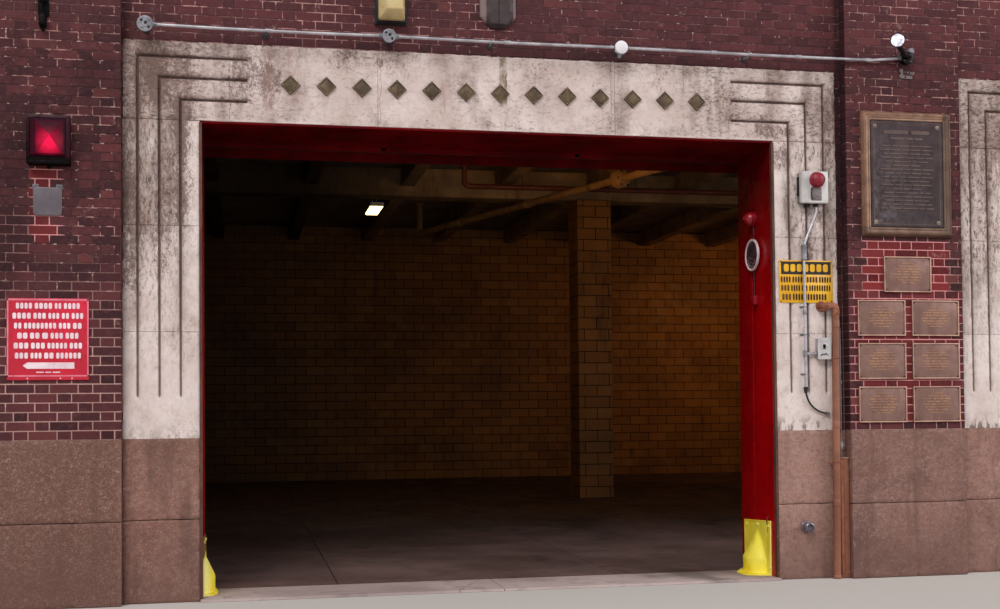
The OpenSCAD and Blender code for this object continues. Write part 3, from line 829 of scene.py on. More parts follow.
    # painted shade and soot in the grooves, and dark joints
    groove_shade_and_soot = k.band(k.add(w[0], k.mul(k.noise(20, 3, 0.6), 0.25)), 0.40, 1.05)
    base = k.mix(k.mul(groove_shade_and_soot, 0.82), base, S(78, 56, 52))
    pit = k.noise(120, 4, 0.7)
    bump = k.add(k.mul(pit, 0.5), k.mul(spots, 0.9))
    return k.done(base, k.band(k.noise(12), 0.3, 0.7, 0.75, 0.95), bump, 0.006, 0.75)


def make_granite():
    k = Mat("granite", rough=0.75, spec=0.35)
    z = k.xyz()[2]
    x = k.xyz()[0]
    base = k.mix(k.band(k.noise(1.2, 4, 0.6), 0.35, 0.65), S(160, 118, 106), S(136, 98, 86))
    t = k.attr("tint")
    base = k.mix(k.band(t[0], 0.2, 0.8, 0.0, 0.3), base, S(132, 94, 84))
    base = k.mix(k.band(k.noise(3.4, 5, 0.68, k.stretch(1, 1, 0.6)), 0.46, 0.66, 0, 0.5), base, S(122, 86, 77))
    base = k.mix(k.band(k.noise(5.8, 5, 0.7), 0.56, 0.70, 0, 0.4), base, S(180, 142, 128))
    # the end pier by the doorway is darker
    base = k.mix(k.band(x, -6.52, -6.42, 0.72, 0.0), base, S(84, 58, 48))
    base = k.mix(k.band(x, -6.40, -4.4, 0.48, 0.0), base, S(106, 65, 51))
    # and the centre pier a little, with a paler jamb beside it
    base = k.mix(k.mul(k.band(x, -0.56, -0.52), k.band(x, 0.52, 0.56, 0.40, 0.0)), base, S(98, 66, 58))
    base = k.mix(k.mul(k.band(x, -1.3, -1.2), k.band(x, -0.62, -0.56, 0.20, 0.0)), base, S(206, 166, 152))
    grain = k.voronoi(210, out="Color")
    g = k.t.nodes.new("ShaderNodeSeparateColor")
    k.t.links.new(grain, g.inputs[0])
    base = k.mix(k.band(g.outputs[0], 0.45, 0.8, 0, 0.22), base, S(190, 156, 144))
    base = k.mix(k.band(g.outputs[1], 0.62, 0.85, 0, 0.30), base, S(90, 64, 57))
    speck = k.band(k.noise(60, 3, 0.7), 0.60, 0.68)
    base = k.mix(k.mul(speck, 0.30), base, S(206, 178, 164))
    # tooled face: mottled dark and pale in hand-sized and coin-sized patches
    mottle = k.noise(34, 5, 0.78, k.stretch(0.7, 1, 1))
    base = k.mix(k.band(mottle, 0.50, 0.64, 0.0, 0.46), base, S(96, 66, 57))
    base = k.mix(k.band(mottle, 0.36, 0.47, 0.27, 0.0), base, S(192, 154, 140))
    wide = k.noise(4.2, 5, 0.7, k.stretch(0.6, 1, 1.2, (5, 2, 1)))
    base = k.mix(k.band(wide, 0.52, 0.66, 0.0, 0.34), base, S(100, 68, 58))
    splash = k.mul(k.band(z, 0.0, 0.75, 1.0, 0.0), 0.75)
    base = k.mix(k.mul(splash, k.band(k.noise(2.5, 4, 0.6), 0.2, 0.6, 0.2, 0.75)), base, S(98, 70, 62))
    run_ = k.noise(6.5, 4, 0.6, k.stretch(1, 1, 0.13))
    base = k.mix(k.band(run_, 0.50, 0.70, 0, 0.5), base, S(92, 66, 57))
    scrape = k.math("ABSOLUTE", k.math("SUBTRACT", k.noise(6.5, 3, 0.6, k.stretch(1, 1, 0.7), dist=1.0), 0.5))
    scrape = k.mul(k.band(scrape, 0.0, 0.007, 1.0, 0.0), k.band(k.noise(1.7, 2, 0.5), 0.53, 0.60))
    base = k.mix(k.mul(scrape, 0.35), base, S(204, 176, 164))
    bump = k.add(k.mul(g.outputs[2], 0.35), k.mul(k.noise(95, 4, 0.7), 0.8))
    return k.done(base, k.band(k.noise(9, 3), 0.3, 0.7, 0.55, 0.85), bump, 0.004, 0.8)


def make_paint(name, a, b_, rough=0.35, chip=None, chip_at=0.66, dirt=None, bump=0.35, scale=1.0, spec=0.5, metallic=0.0):
    """Brushed paint: two shades, dirt in runs, chips down to another colour."""
    k = Mat(name, rough=rough, spec=spec, metallic=metallic)
    col = k.mix(k.band(k.noise(2.3 * scale, 4, 0.6), 0.35, 0.65), a, b_)
    if dirt is not None:
        runs = k.noise(5 * scale, 5, 0.65, k.stretch(1, 1, 0.18))
        col = k.mix(k.band(runs, 0.5, 0.75, 0, 0.55), col, dirt)
        col = k.mix(k.band(k.noise(26 * scale, 4, 0.7), 0.58, 0.75, 0, 0.4), col, dirt)
    r = k.band(k.noise(14 * scale, 3), 0.3, 0.7, rough * 0.8, min(1.0, rough * 1.35))
    h = k.mul(k.noise(45 * scale, 4, 0.6), 0.6)
    if chip is not None:
        c = k.band(k.noise(18 * scale, 6, 0.75, dist=0.5), chip_at, chip_at + 0.03)
        col = k.mix(c, col, chip)
        r = k.mix(c, r, (0.85, 0.85, 0.85, 1))
        h = k.add(h, k.mul(c, -0.6))
    return k.done(col, r, h, 0.0015, bump)


def make_metal(name, a, b_, rough=0.4, rust=None, rust_at=0.62, metallic=1.0, scale=1.0):
    k = Mat(name, rough=rough, metallic=metallic)
    col = k.mix(k.band(k.noise(6 * scale, 4, 0.6), 0.35, 0.65), a, b_)
    spangle = k.voronoi(60 * scale, out="Color")
    g = k.t.nodes.new("ShaderNodeSeparateColor")
    k.t.links.new(spangle, g.inputs[0])
    col = k.mix(k.band(g.outputs[0], 0.3, 0.9, 0, 0.3), col, b_)
    r = k.band(k.noise(20 * scale, 3), 0.3, 0.7, rough * 0.75, min(1.0, rough * 1.4))
    if rust is not None:
        c = k.band(k.noise(13 * scale, 5, 0.7), rust_at, rust_at + 0.07)
        col = k.mix(k.mul(c, 0.85), col, rust)
        r = k.mix(c, r, (0.9, 0.9, 0.9, 1))
    return k.done(col, r, k.noise(70 * scale, 4, 0.6), 0.001, 0.4)


def make_red():
    k = Mat("red_paint", rough=0.35, spec=0.22)
    z = k.xyz()[2]
    col = k.mix(k.band(k.noise(1.5, 4, 0.6), 0.35, 0.65), S(176, 0, 7), S(150, 0, 5))
    col = k.mix(k.band(z, 2.2, 3.5, 0.0, 0.9), col, S(82, 0, 5))
    col = k.mix(k.band(k.noise(6, 5, 0.65, k.stretch(1, 1, 0.15)), 0.52, 0.75, 0, 0.5), col, S(104, 0, 6))
    # painted shade: darker towards the back of the reveal
    col = k.mix(k.band(k.xyz()[1], -8.1, -7.5, 0.0, 0.45), col, S(70, 0, 4))
    scuff = k.mul(k.band(k.noise(28, 5, 0.75, k.stretch(1, 1, 2.0)), 0.62, 0.68), k.band(z, 0.3, 2.2, 1.0, 0.25))
    col = k.mix(k.mul(scuff, 0.35), col, S(196, 50, 56))
    chip = k.band(k.noise(13, 6, 0.8), 0.70, 0.72)
    col = k.mix(chip, col, S(58, 30, 26))
    r = k.band(k.noise(10, 3), 0.3, 0.7, 0.22, 0.42)
    bump = k.add(k.mul(k.noise(30, 4, 0.6, k.stretch(1, 1, 0.3)), 0.6), k.mul(chip, -0.7))
    return k.done(col, r, bump, 0.0015, 0.4)


def make_yellow():
    k = Mat("yellow_paint", rough=0.4, spec=0.5)
    z = k.xyz()[2]
    col = k.mix(k.band(k.noise(4, 4, 0.6), 0.35, 0.65), S(255, 240, 84), S(248, 222, 44))
    dirt = k.mul(k.band(k.noise(8, 5, 0.7, k.stretch(1, 1, 0.4)), 0.5, 0.72), 0.35)
    col = k.mix(dirt, col, S(160, 124, 30))
    chip = k.band(k.noise(22, 6, 0.8, dist=0.4), 0.68, 0.70)
    low = k.band(z, 0.07, 0.35, 0.8, 0.2)
    col = k.mix(k.mul(chip, low), col, S(70, 48, 34))
    scrape = k.mul(k.band(k.noise(12, 4, 0.7, k.stretch(3.5, 0.4, 2.5)), 0.66, 0.70), 0.4)
    col = k.mix(scrape, col, S(150, 130, 70))
    # the guard at the outer jamb is rusty above its bulge
    x, y, _ = k.xyz()
    bare = k.mul(k.band(x, -5.86, -5.80, 1.0, 0.0), k.band(k.add(z, k.mul(k.noise(16, 3), 0.06)), 0.335, 0.36))
    col = k.mix(k.mul(bare, 0.9), col, S(96, 58, 48))
    # the front edges of the plates are worn bright
    lip = k.mul(k.band(y, -8.066, -8.060, 1.0, 0.0), k.band(x, -5.0, -4.9))
    col = k.mix(k.mul(lip, 0.8), col, S(255, 248, 150))
    faded = k.mul(k.band(x, -5.86, -5.80, 0.8, 0.0), k.band(z, 0.28, 0.31, 1.0, 0.0))
    col = k.mix(faded, col, S(255, 250, 160))
    return k.done(col, k.band(k.noise(14), 0.3, 0.7, 0.3, 0.6), k.add(k.mul(k.noise(60, 4), 0.5), k.mul(chip, -0.8)), 0.0015, 0.5)


def make_concrete(name="concrete", a=S(172, 154, 150), c=S(146, 129, 125), stain=S(112, 97, 93)):
    k = Mat(name, rough=0.8, spec=0.3)
    col = k.mix(k.band(k.noise(0.7, 5, 0.6), 0.35, 0.65), a, c)
    col = k.mix(k.band(k.noise(4, 5, 0.65), 0.5, 0.7, 0, 0.5), col, stain)
    oil = k.mul(k.band(k.noise(0.9, 3, 0.6, k.stretch(1, 0.5, 1, (3, 1, 0))), 0.55, 0.68), 0.55)
    col = k.mix(oil, col, S(54, 47, 43))
    col = k.mix(k.mul(k.band(k.noise(130, 2), 0.6, 0.75), 0.4), col, S(176, 164, 152))
    crack = k.voronoi(0.55, "DISTANCE_TO_EDGE", k.stretch(1, 1, 1, (0.4, 0.2, 0)))
    line = k.band(k.add(crack, k.mul(k.noise(6, 4), 0.03)), 0.014, 0.020, 1.0, 0.0)
    col = k.mix(k.mul(line, 0.5), col, S(60, 52, 48))
    r = k.band(k.noise(2.0, 4), 0.35, 0.7, 0.45, 0.85)
    return k.done(col, r, k.add(k.mul(k.noise(55, 5, 0.65), 0.8), k.mul(line, -1.0)), 0.002, 0.6)


def make_beam():
    """Painted concrete under the ceiling, much darker over the left bay's doorway."""
    k = Mat("beam_paint", rough=0.7, spec=0.2)
    x = k.xyz()[0]
    col = k.mix(k.band(k.noise(2.3, 4, 0.6), 0.35, 0.65), S(184, 152, 110), S(146, 118, 84))
    col = k.mix(k.band(k.noise(5, 5, 0.65, k.stretch(1, 1, 0.18)), 0.5, 0.75, 0, 0.55), col, S(66, 52, 38))
    chip = k.band(k.noise(18, 6, 0.75, dist=0.5), 0.66, 0.69)
    col = k.mix(chip, col, S(60, 40, 28))
    edge = k.add(x, k.mul(k.noise(0.8, 4, 0.6), 1.2))
    col = k.mix(k.band(edge, -4.2, -1.6, 0.88, 0.0), col, S(18, 14, 10))
    bump = k.add(k.mul(k.noise(45, 4, 0.6), 0.6), k.mul(chip, -0.6))
    return k.done(col, k.band(k.noise(14, 3), 0.3, 0.7, 0.6, 0.85), bump, 0.002, 0.35)


def make_tile():
    k = Mat("glazed_tile", rough=0.5, spec=0.3)
    t = k.attr("tint")
    col = k.ramp(t[0], [(0.0, S(150, 99, 40)), (0.35, S(160, 107, 45)), (0.7, S(171, 117, 53)), (1.0, S(144, 93, 38))])
    col = k.mix(k.band(k.noise(0.9, 4, 0.6), 0.42, 0.7, 0, 0.55), col, S(104, 70, 36))
    scratch = k.noise(38, 3, 0.6, k.stretch(1, 1, 0.12))
    col = k.mix(k.band(scratch, 0.55, 0.75, 0, 0.4), col, S(120, 84, 40))
    col = k.mix(k.band(k.noise(3, 5, 0.7, k.stretch(1, 1, 0.25)), 0.55, 0.75, 0, 0.6), col, S(66, 44, 28))
    col = k.mix(k.band(k.add(k.xyz()[0], k.mul(k.noise(0.9, 4, 0.6), 1.4)), -5.2, -1.6, 0.55, 0.0), col, S(38, 26, 17))
    return k.done(col, k.band(k.noise(6), 0.3, 0.7, 0.42, 0.62), k.noise(14, 3, 0.5), 0.002, 0.35)


def make_grout():
    k = Mat("grout", rough=0.95, spec=0.1)
    col = k.mix(k.band(k.noise(2.5, 4, 0.6), 0.35, 0.65), S(30, 19, 13), S(13, 8, 6))
    return k.done(col, None, k.noise(160, 3), 0.001, 0.6)


def make_roof():
    k = Mat("roof_membrane", rough=0.85, spec=0.3)
    col = k.mix(k.band(k.noise(0.5, 5, 0.6), 0.35, 0.65), S(104, 102, 100), S(78, 77, 76))
    pond = k.band(k.noise(0.22, 3, 0.5), 0.52, 0.60)
    col = k.mix(k.mul(pond, 0.4), col, S(132, 126, 116))
    col = k.mix(k.mul(k.band(k.noise(90, 2), 0.55, 0.75), 0.5), col, S(138, 136, 132))
    col = k.mix(k.band(k.noise(6, 5, 0.7), 0.6, 0.75, 0, 0.5), col, S(52, 50, 50))
    return k.done(col, k.band(k.noise(3), 0.3, 0.7, 0.7, 0.95), k.noise(140, 4, 0.7), 0.002, 0.7)


def make_glass(name="window_glass"):
    k = Mat(name, rough=0.06, spec=0.6)
    col = k.mix(k.band(k.noise(1.4, 4, 0.6), 0.35, 0.7), S(26, 30, 34), S(40, 44, 46))
    film = k.band(k.noise(5, 5, 0.7, k.stretch(1, 1, 0.3)), 0.55, 0.75)
    col = k.mix(k.mul(film, 0.35), col, S(110, 106, 100))
    k.b.inputs["Coat Weight"].default_value = 0.6
    k.b.inputs["Coat Roughness"].default_value = 0.05
    return k.done(col, k.band(k.noise(4, 4), 0.35, 0.7, 0.04, 0.22), k.noise(2.2, 2), 0.003, 0.12)


def make_bronze(name, a, b_, rough=0.5, metallic=0.55, streak=None, darkening=None):
    k = Mat(name, rough=rough, metallic=metallic, spec=0.4)
    col = k.mix(k.band(k.noise(9, 4, 0.6), 0.35, 0.65), a, b_)
    col = k.mix(k.band(k.noise(60, 4, 0.7), 0.55, 0.75, 0, 0.5), col, b_)
    if streak is not None:
        col = k.mix(k.band(k.noise(16, 4, 0.6, k.stretch(1, 1, 0.2)), 0.5, 0.72, 0, 0.6), col, streak)
    if darkening == "frame":
        # painted shade along the right and the bottom
        x, _, z = k.xyz()
        frame_shade = k.math("MAXIMUM", k.band(x, 0.340, 0.356, 0.0, 0.62), k.band(z, 2.968, 2.984, 0.42, 0.0))
        col = k.mix(frame_shade, col, S(42, 32, 31))
    elif darkening == "field":
        # darker towards the bottom of the field
        col = k.mix(k.band(k.add(k.xyz()[2], k.mul(k.noise(4, 3), 0.2)), 3.4, 3.8, 0.42, 0.06), col, S(34, 24, 26))
    return k.done(col, k.band(k.noise(25), 0.3, 0.7, rough * 0.75, min(1, rough * 1.35)), k.noise(110, 4, 0.65), 0.001, 0.5)


def make_lens_red():
    """Cut red glass over a lamp: each facet carries its own painted shade, and the lamp's glow fades away from the
    middle.
    """
    k = Mat("red_lens", rough=0.45, spec=0.08)
    x, _, z = k.xyz()
    t = k.attr("tint")
    dx = k.math("SUBTRACT", x, -6.965)
    dz = k.math("SUBTRACT", z, 3.462)
    d = k.math("SQRT", k.add(k.math("POWER", k.math("ABSOLUTE", dx), 2.0), k.math("POWER", k.math("ABSOLUTE", dz), 2.0)))
    fade = k.band(d, 0.012, 0.135, 1.0, 0.12)
    # tint x holds the painted shade of each facet; fade is the lamp's glow from the middle
    level = k.mul(t[0], fade)
    level = k.mul(level, k.band(k.noise(42, 3, 0.6), 0.3, 0.7, 0.8, 1.05))
    col = k.mix(level, S(26, 3, 16), S(204, 16, 56))
    glow = k.mix(level, S(12, 0, 8), S(255, 30, 84))
    k.b.inputs["Emission Strength"].default_value = 0.62
    k.put(k.b.inputs["Emission Color"], glow)
    rib = k.math("ABSOLUTE", k.math("SINE", k.mul(z, 520.0)))
    return k.done(col, k.band(k.noise(12), 0.3, 0.7, 0.35, 0.5), rib, 0.0008, 0.3)


def make_housing():
    """Black lamp housing: painted light on top, red-brown at the right side and painted shade at the bottom."""
    k = Mat("lamp_housing", rough=0.55, spec=0.08)
    x, _, z = k.xyz()
    col = k.mix(k.band(k.noise(14, 4, 0.6), 0.35, 0.65), S(34, 9, 15), S(22, 5, 9))
    col = k.mix(k.band(x, -6.875, -6.850, 0.0, 0.7), col, S(58, 24, 34))
    # painted light on the top face
    col = k.mix(k.band(z, 3.63, 3.65), col, k.mix(k.band(k.noise(30, 3), 0.35, 0.65), S(74, 54, 56), S(50, 34, 38)))
    # painted shade at the bottom
    col = k.mix(k.band(z, 3.335, 3.365, 0.94, 0.0), col, S(6, 2, 3))
    scuff = k.band(k.noise(60, 5, 0.7), 0.62, 0.70)
    col = k.mix(k.mul(scuff, 0.3), col, S(70, 50, 52))
    return k.done(col, k.band(k.noise(20), 0.3, 0.7, 0.45, 0.7), k.noise(80, 4, 0.6), 0.001, 0.3)


def make_shield():
    """Dull lead-grey sheet with painted highlights on the left flank and the right edge, dark in the middle."""
    k = Mat("shield_grey", rough=0.6, spec=0.35)
    x = k.xyz()[0]
    base = k.mix(k.band(k.noise(5, 4, 0.6), 0.35, 0.65), S(66, 52, 53), S(54, 42, 43))
    # painted highlight on the left flank
    left = k.band(x, -3.633, -3.618, 1.0, 0.0)
    base = k.mix(k.mul(left, 0.85), base, S(132, 112, 111))
    # fainter painted highlight on the right edge
    right = k.band(x, -3.408, -3.396)
    base = k.mix(k.mul(right, 0.6), base, S(138, 120, 118))
    base = k.mix(k.band(k.noise(14, 5, 0.7, k.stretch(1, 1, 0.2)), 0.55, 0.75, 0, 0.5), base, S(60, 48, 46))
    return k.done(base, k.band(k.noise(20), 0.3, 0.7, 0.5, 0.75), k.noise(60, 4, 0.6), 0.001, 0.4)


def make_lens_white():
    """Ribbed glass of a lit floodlight, with darker patches of its reflector."""
    k = Mat("floodlight_lens", rough=0.3, spec=0.4)
    n = k.noise(34, 3, 0.6, dist=0.8)
    dark = k.band(n, 0.42, 0.58)
    col = k.mix(dark, S(250, 248, 255), S(206, 200, 216))
    k.put(k.b.inputs["Emission Color"], k.mix(dark, S(244, 242, 255), S(120, 112, 130)))
    k.b.inputs["Emission Strength"].default_value = 0.75
    return k.done(col, k.band(n, 0.3, 0.7, 0.25, 0.45), n, 0.001, 0.2)


def make_emit(name, color, strength):
    k = Mat(name, rough=0.4)
    n = k.noise(8, 2)
    col = k.mix(k.band(n, 0.3, 0.7, 0, 0.25), color, S(255, 220, 150))
    k.put(k.b.inputs["Emission Color"], color)
    k.b.inputs["Emission Strength"].default_value = strength
    return k.done(col, k.band(n, 0.3, 0.7, 0.3, 0.5), n, 0.001, 0.2)


M = {
    "brick": make_brick(),
    "mortar": make_mortar(),
    "plaster": make_plain_wall(),
    "stone": make_limestone(),
    "granite": make_granite(),
    "red": make_red(),
    "red_dark": make_paint("head_red_paint", S(98, 0, 4), S(72, 0, 3), 0.45, S(40, 18, 16), 0.74, S(44, 0, 3), spec=0.08),
    "yellow": make_yellow(),
    "yellow_bolt": make_paint("yellow_bolt_paint", S(252, 240, 130), S(236, 214, 70), 0.4, None, 0.7, S(196, 170, 60), scale=3),
    "iron_brown": make_paint("brown_iron", S(96, 58, 46), S(74, 42, 34), 0.7, S(120, 70, 44), 0.62, S(44, 28, 24)),
    "concrete": make_concrete("concrete", S(190, 171, 167), S(164, 146, 142), S(126, 110, 106)),
    "concrete_dark": make_concrete("hall_concrete", S(112, 88, 84), S(88, 68, 64), S(58, 46, 42)),
    "slab": make_concrete("floor_slab", S(138, 128, 112), S(112, 102, 88), S(86, 76, 66)),
    "parge": make_paint("cement_render", S(146, 140, 132), S(122, 116, 110), 0.9, S(96, 84, 76), 0.70, S(84, 78, 74), bump=0.6, scale=0.6),
    "flash": make_metal("lead_flashing", S(122, 122, 124), S(92, 94, 98), 0.6, None, 0.62, 0.6),
    "tile": make_tile(),
    "grout": make_grout(),
    "roof": make_roof(),
    "glass": make_glass(),
    "wood": make_paint("sash_paint", S(92, 34, 32), S(72, 26, 26), 0.5, S(120, 96, 78), 0.70, S(48, 24, 24)),
    "galv": make_metal("galvanized", S(206, 202, 206), S(164, 160, 166), 0.42, S(110, 84, 70), 0.74, 0.75),
    "outlet_metal": make_metal("outlet_metal", S(176, 166, 170), S(112, 102, 108), 0.42, S(96, 70, 58), 0.7, 0.65),
    "galv_dull": make_metal("galvanized_dull", S(156, 154, 158), S(112, 112, 118), 0.55, S(88, 62, 50), 0.66, 0.7),
    "white": make_paint("white_enamel", S(232, 230, 234), S(206, 204, 210), 0.35, None, 0.7, S(150, 142, 138)),
    "grey": make_paint("grey_enamel", S(204, 200, 198), S(180, 176, 174), 0.4, S(90, 62, 48), 0.74, S(128, 118, 112)),
    "grey_mid": make_paint("grey_metal_paint", S(112, 100, 100), S(88, 78, 80), 0.5, S(60, 44, 40), 0.72, S(62, 54, 54)),
    "plate_grey": make_paint("cover_plate_paint", S(100, 90, 98), S(86, 77, 84), 0.45, None, 0.7, S(74, 62, 64), scale=3),
    "black": make_paint("black_iron", S(24, 18, 21), S(14, 11, 13), 0.6, S(74, 44, 34), 0.70, S(46, 38, 38)),
    "black_glossy": make_paint("black_enamel", S(24, 14, 19), S(14, 8, 12), 0.4, None, 0.7, S(40, 24, 30), spec=0.18),
    "cream": make_paint("cream_glass", S(198, 176, 128), S(180, 155, 106), 0.3, None, 0.7, S(136, 112, 74), scale=2),
    # painted shade: a darker copy of the black iron for the bracket
    "iron_shaded": make_paint("bracket_iron", S(14, 9, 9), S(8, 5, 5), 0.65, S(58, 34, 27), 0.72, S(24, 17, 17), spec=0.12),
    "lamp_housing": make_housing(),
    "bell": make_paint("bell_red", S(150, 10, 26), S(122, 6, 18), 0.3, None, 0.7, S(74, 6, 12), scale=3),
    "dome": make_paint("dome_red", S(138, 16, 42), S(110, 11, 33), 0.35, None, 0.7, S(78, 10, 22), scale=4),
    "pipe_brown": make_paint("downpipe_paint", S(148, 94, 70), S(124, 76, 56), 0.5, S(70, 40, 30), 0.66, S(74, 42, 32)),
    "rust": make_paint("rusty_iron", S(132, 78, 52), S(92, 52, 38), 0.85, S(168, 108, 66), 0.58, S(60, 36, 30)),
    "red_lens": make_lens_red(),
    "sign_red": make_paint("sign_red_enamel", S(206, 26, 56), S(190, 20, 48), 0.3, None, 0.7, S(160, 24, 42), scale=2),
    "sign_pale": make_paint("sign_pale_enamel", S(240, 222, 226), S(226, 200, 208), 0.35, None, 0.7, S(200, 150, 160), scale=3),
    "sign_yellow": make_paint("sign_yellow_enamel", S(236, 180, 20), S(220, 160, 14), 0.35, S(120, 90, 50), 0.70, S(170, 118, 24), scale=2),
    "sign_black": make_paint("sign_black_enamel", S(36, 30, 22), S(24, 20, 16), 0.4, S(150, 116, 30), 0.70, S(52, 44, 30), scale=3),
    "frame_gold": make_bronze("bronze_frame", S(138, 102, 80), S(114, 82, 64), 0.5, 0.25, S(92, 64, 50), "frame"),
    "plate_dark": make_bronze("bronze_plate", S(74, 58, 60), S(60, 46, 50), 0.6, 0.2, S(84, 68, 68), "field"),
    "plate_raised": make_bronze("bronze_raised", S(100, 82, 74), S(84, 68, 66), 0.5, 0.3),
    "plate_small": make_bronze("bronze_small_plate", S(138, 106, 96), S(124, 92, 84), 0.5, 0.35, S(112, 82, 74)),
    "plate_rim": make_bronze("bronze_small_rim", S(204, 164, 144), S(178, 138, 120), 0.4, 0.35),
    "plate_motif": make_bronze("bronze_small_motif", S(172, 128, 98), S(150, 110, 88), 0.42, 0.4),
    "bronze": make_bronze("bronze_ornament", S(112, 94, 72), S(84, 70, 56), 0.5, 0.5, S(60, 50, 42)),
    "beam": make_beam(),
    "pipe_tan": make_paint("pipe_tan_paint", S(188, 148, 96), S(158, 118, 72), 0.55, None, 0.7, S(96, 68, 44)),
    "pipe_red": make_paint("pipe_red_paint", S(124, 62, 42), S(98, 46, 34), 0.5, None, 0.7, S(56, 32, 26)),
    "lamp_on": make_emit("lamp_diffuser", S(255, 224, 140), 5.0),
    "flood_lens": make_lens_white(),
    "sign_brown": make_paint("sign_brown_enamel", S(112, 74, 22), S(92, 58, 18), 0.45, S(170, 124, 30), 0.66, S(134, 92, 24), scale=3),
    "sign_border": make_paint("sign_border_enamel", S(226, 132, 146), S(206, 104, 122), 0.35, None, 0.7, S(190, 60, 84), scale=3),
    "shield": make_shield(),
    "grey_side": make_paint("grey_green_enamel", S(128, 128, 118), S(106, 108, 98), 0.5, S(84, 60, 46), 0.72, S(84, 80, 72), scale=2),
    "rust_pipe": make_paint("rusty_pipe_paint", S(158, 98, 74), S(128, 74, 54), 0.7, S(92, 54, 40), 0.60, S(86, 50, 38), scale=3),
    "bell_dark": make_paint("conduit_red", S(92, 8, 14), S(70, 6, 10), 0.4, None, 0.7, S(44, 6, 8), scale=3),
    "frame_pale": make_bronze("bronze_frame_pale", S(170, 136, 116), S(142, 109, 90), 0.42, 0.25, S(116, 86, 69), "frame"),
    "pale_bronze": make_bronze("pale_bronze", S(176, 142, 120), S(148, 114, 94), 0.42, 0.25, S(120, 90, 72)),
    "fillet_dark": make_bronze("bronze_fillet", S(46, 36, 36), S(30, 24, 26), 0.6, 0.3),
    "rosette": make_bronze("bronze_rosette", S(146, 134, 118), S(118, 104, 92), 0.4, 0.45),
    "disc_dark": make_paint("disc_face", S(74, 50, 50), S(48, 32, 34), 0.5, None, 0.7, S(38, 24, 26), scale=6, spec=0.2),
    "disc_rim": make_paint("disc_rim", S(222, 200, 204), S(196, 172, 176), 0.4, None, 0.7, S(132, 96, 98), scale=6),
    "disc_mark": make_paint("disc_marks", S(168, 140, 140), S(138, 108, 110), 0.6, None, 0.7, S(90, 66, 66), scale=6),
}

# ---------------------------------------------------------------- walls
def courses(z_from, z_to, z0=GRANITE_H):
    first = int(math.floor((z_from - z0) / COURSE + 0.5))
    last = int(math.floor((z_to - z0) / COURSE + 0.5))
    return range(first, last)


TOP_K = courses(GRANITE_H, WALL_TOP)
m_in = MORTAR_IN
BRICK_MATS = [M["brick"], M["mortar"], M["plaster"], M["parge"]]


def inner_face(axis, sign):
    """Mortar on the outside, plaster inside the storeys and cement on the inside of the parapet."""
    def kind(d, z):
        if d[axis] == sign:
            return 3 if z > ROOF_Z else 2
        if d[2] == 0 and d[axis] == 0 and axis == 1:
            return 2
        return 1
    return kind



def newer(kind):
    """Which bricks of a front wall are from a later repair."""
    def test(x, z):
        out = np.zeros(len(x))
        if kind == "centre":
            out[(x > -372) & (x < 430) & (z > 2410) & (z < 2870)] = 1.0
            mid = (np.abs(x - 12) < 470) & (z > 1300) & (z < 2410)
            out[mid] = 0.78
            out[(z > 2380) & (z < 2440) & (np.abs(x) < 520)] = 0.45
        elif kind == "left":
            out[(np.abs(x + 7008) < 84) & (z > 2700) & (z < 3320)] = 1.0
        return out
    return test


# end piers, each with its face on the party side
b = Builder()
for s in (-1, 1):
    x0, x1 = (-HALF_W, -PIER_OUT) if s < 0 else (PIER_OUT, HALF_W)
    cells(b, [x0 + m_in, x1 - m_in], [m_in, FRONT_T], [GRANITE_H, ROOF_Z, WALL_TOP], lambda i, j, k: True,
          lambda d, z: (3 if z > ROOF_Z else 2) if d[1] > 0 else 1)
    lay(b, 0, (0, 0, 0), x0, x1, TOP_K, left_pier if s < 0 else right_pier, corners=(True, True),
        is_new=newer("left") if s < 0 else None)
    # return into the bay, and the party side as far as the pier goes
    lay(b, 3 if s < 0 else 2, (s * PIER_OUT, 0, 0), *((0, RECESS) if s < 0 else (-RECESS, 0)), TOP_K,
        lambda k: [], corners=(False, True) if s > 0 else (True, False))
side_points = running(215.9, 60.0)


def side_rows(b, s, low, high, own, z_from=GRANITE_H, holes=()):
    """Bricks of a party side. Left looks in -x with u = -y, right in +x with u = y."""
    if s < 0:
        lay(b, 2, (-HALF_W, 0, 0), -BUILDING_D, 0, courses(z_from, WALL_TOP), side_points, corners=(True, True),
            own=lambda m: (-m > low) & (-m <= high))
    else:
        lay(b, 3, (HALF_W, 0, 0), 0, BUILDING_D, courses(z_from, WALL_TOP), side_points, corners=(True, True),
            own=lambda m: (m > low) & (m <= high))


for s in (-1, 1):
    side_rows(b, s, -1, FRONT_T, None)
piece("end_pier_brickwork", b, BRICK_MATS, "end_brick_piers", atlas=True)

# centre pier, with the narrow strips beside the stone
b = Builder()
cells(b, [-PORTAL_IN, -PIER_IN + m_in, PIER_IN - m_in, PORTAL_IN], [m_in, RECESS + m_in, FRONT_T], [GRANITE_H, LINTEL_TOP, ROOF_Z, WALL_TOP],
      lambda i, j, k: i == 1 or (j == 1 and k == 0), lambda d, z: (3 if z > ROOF_Z else 2) if d[1] > 0 else 1)
lay(b, 0, (0, 0, 0), -PIER_IN, PIER_IN, TOP_K, centre_pier, corners=(True, True), is_new=newer("centre"))
lay(b, 3, (PIER_IN, 0, 0), 0, RECESS, TOP_K, lambda k: [], corners=(True, False))
lay(b, 2, (-PIER_IN, 0, 0), -RECESS, 0, TOP_K, lambda k: [], corners=(False, True))
for s in (-1, 1):
    lay(b, 0, (0, RECESS, 0), *((PIER_IN, PORTAL_IN) if s > 0 else (-PORTAL_IN, -PIER_IN)), courses(GRANITE_H, LINTEL_TOP),
        lambda k: [], corners=(False, False))
piece("centre_pier_brickwork", b, BRICK_MATS, "centre_brick_pier", atlas=True)

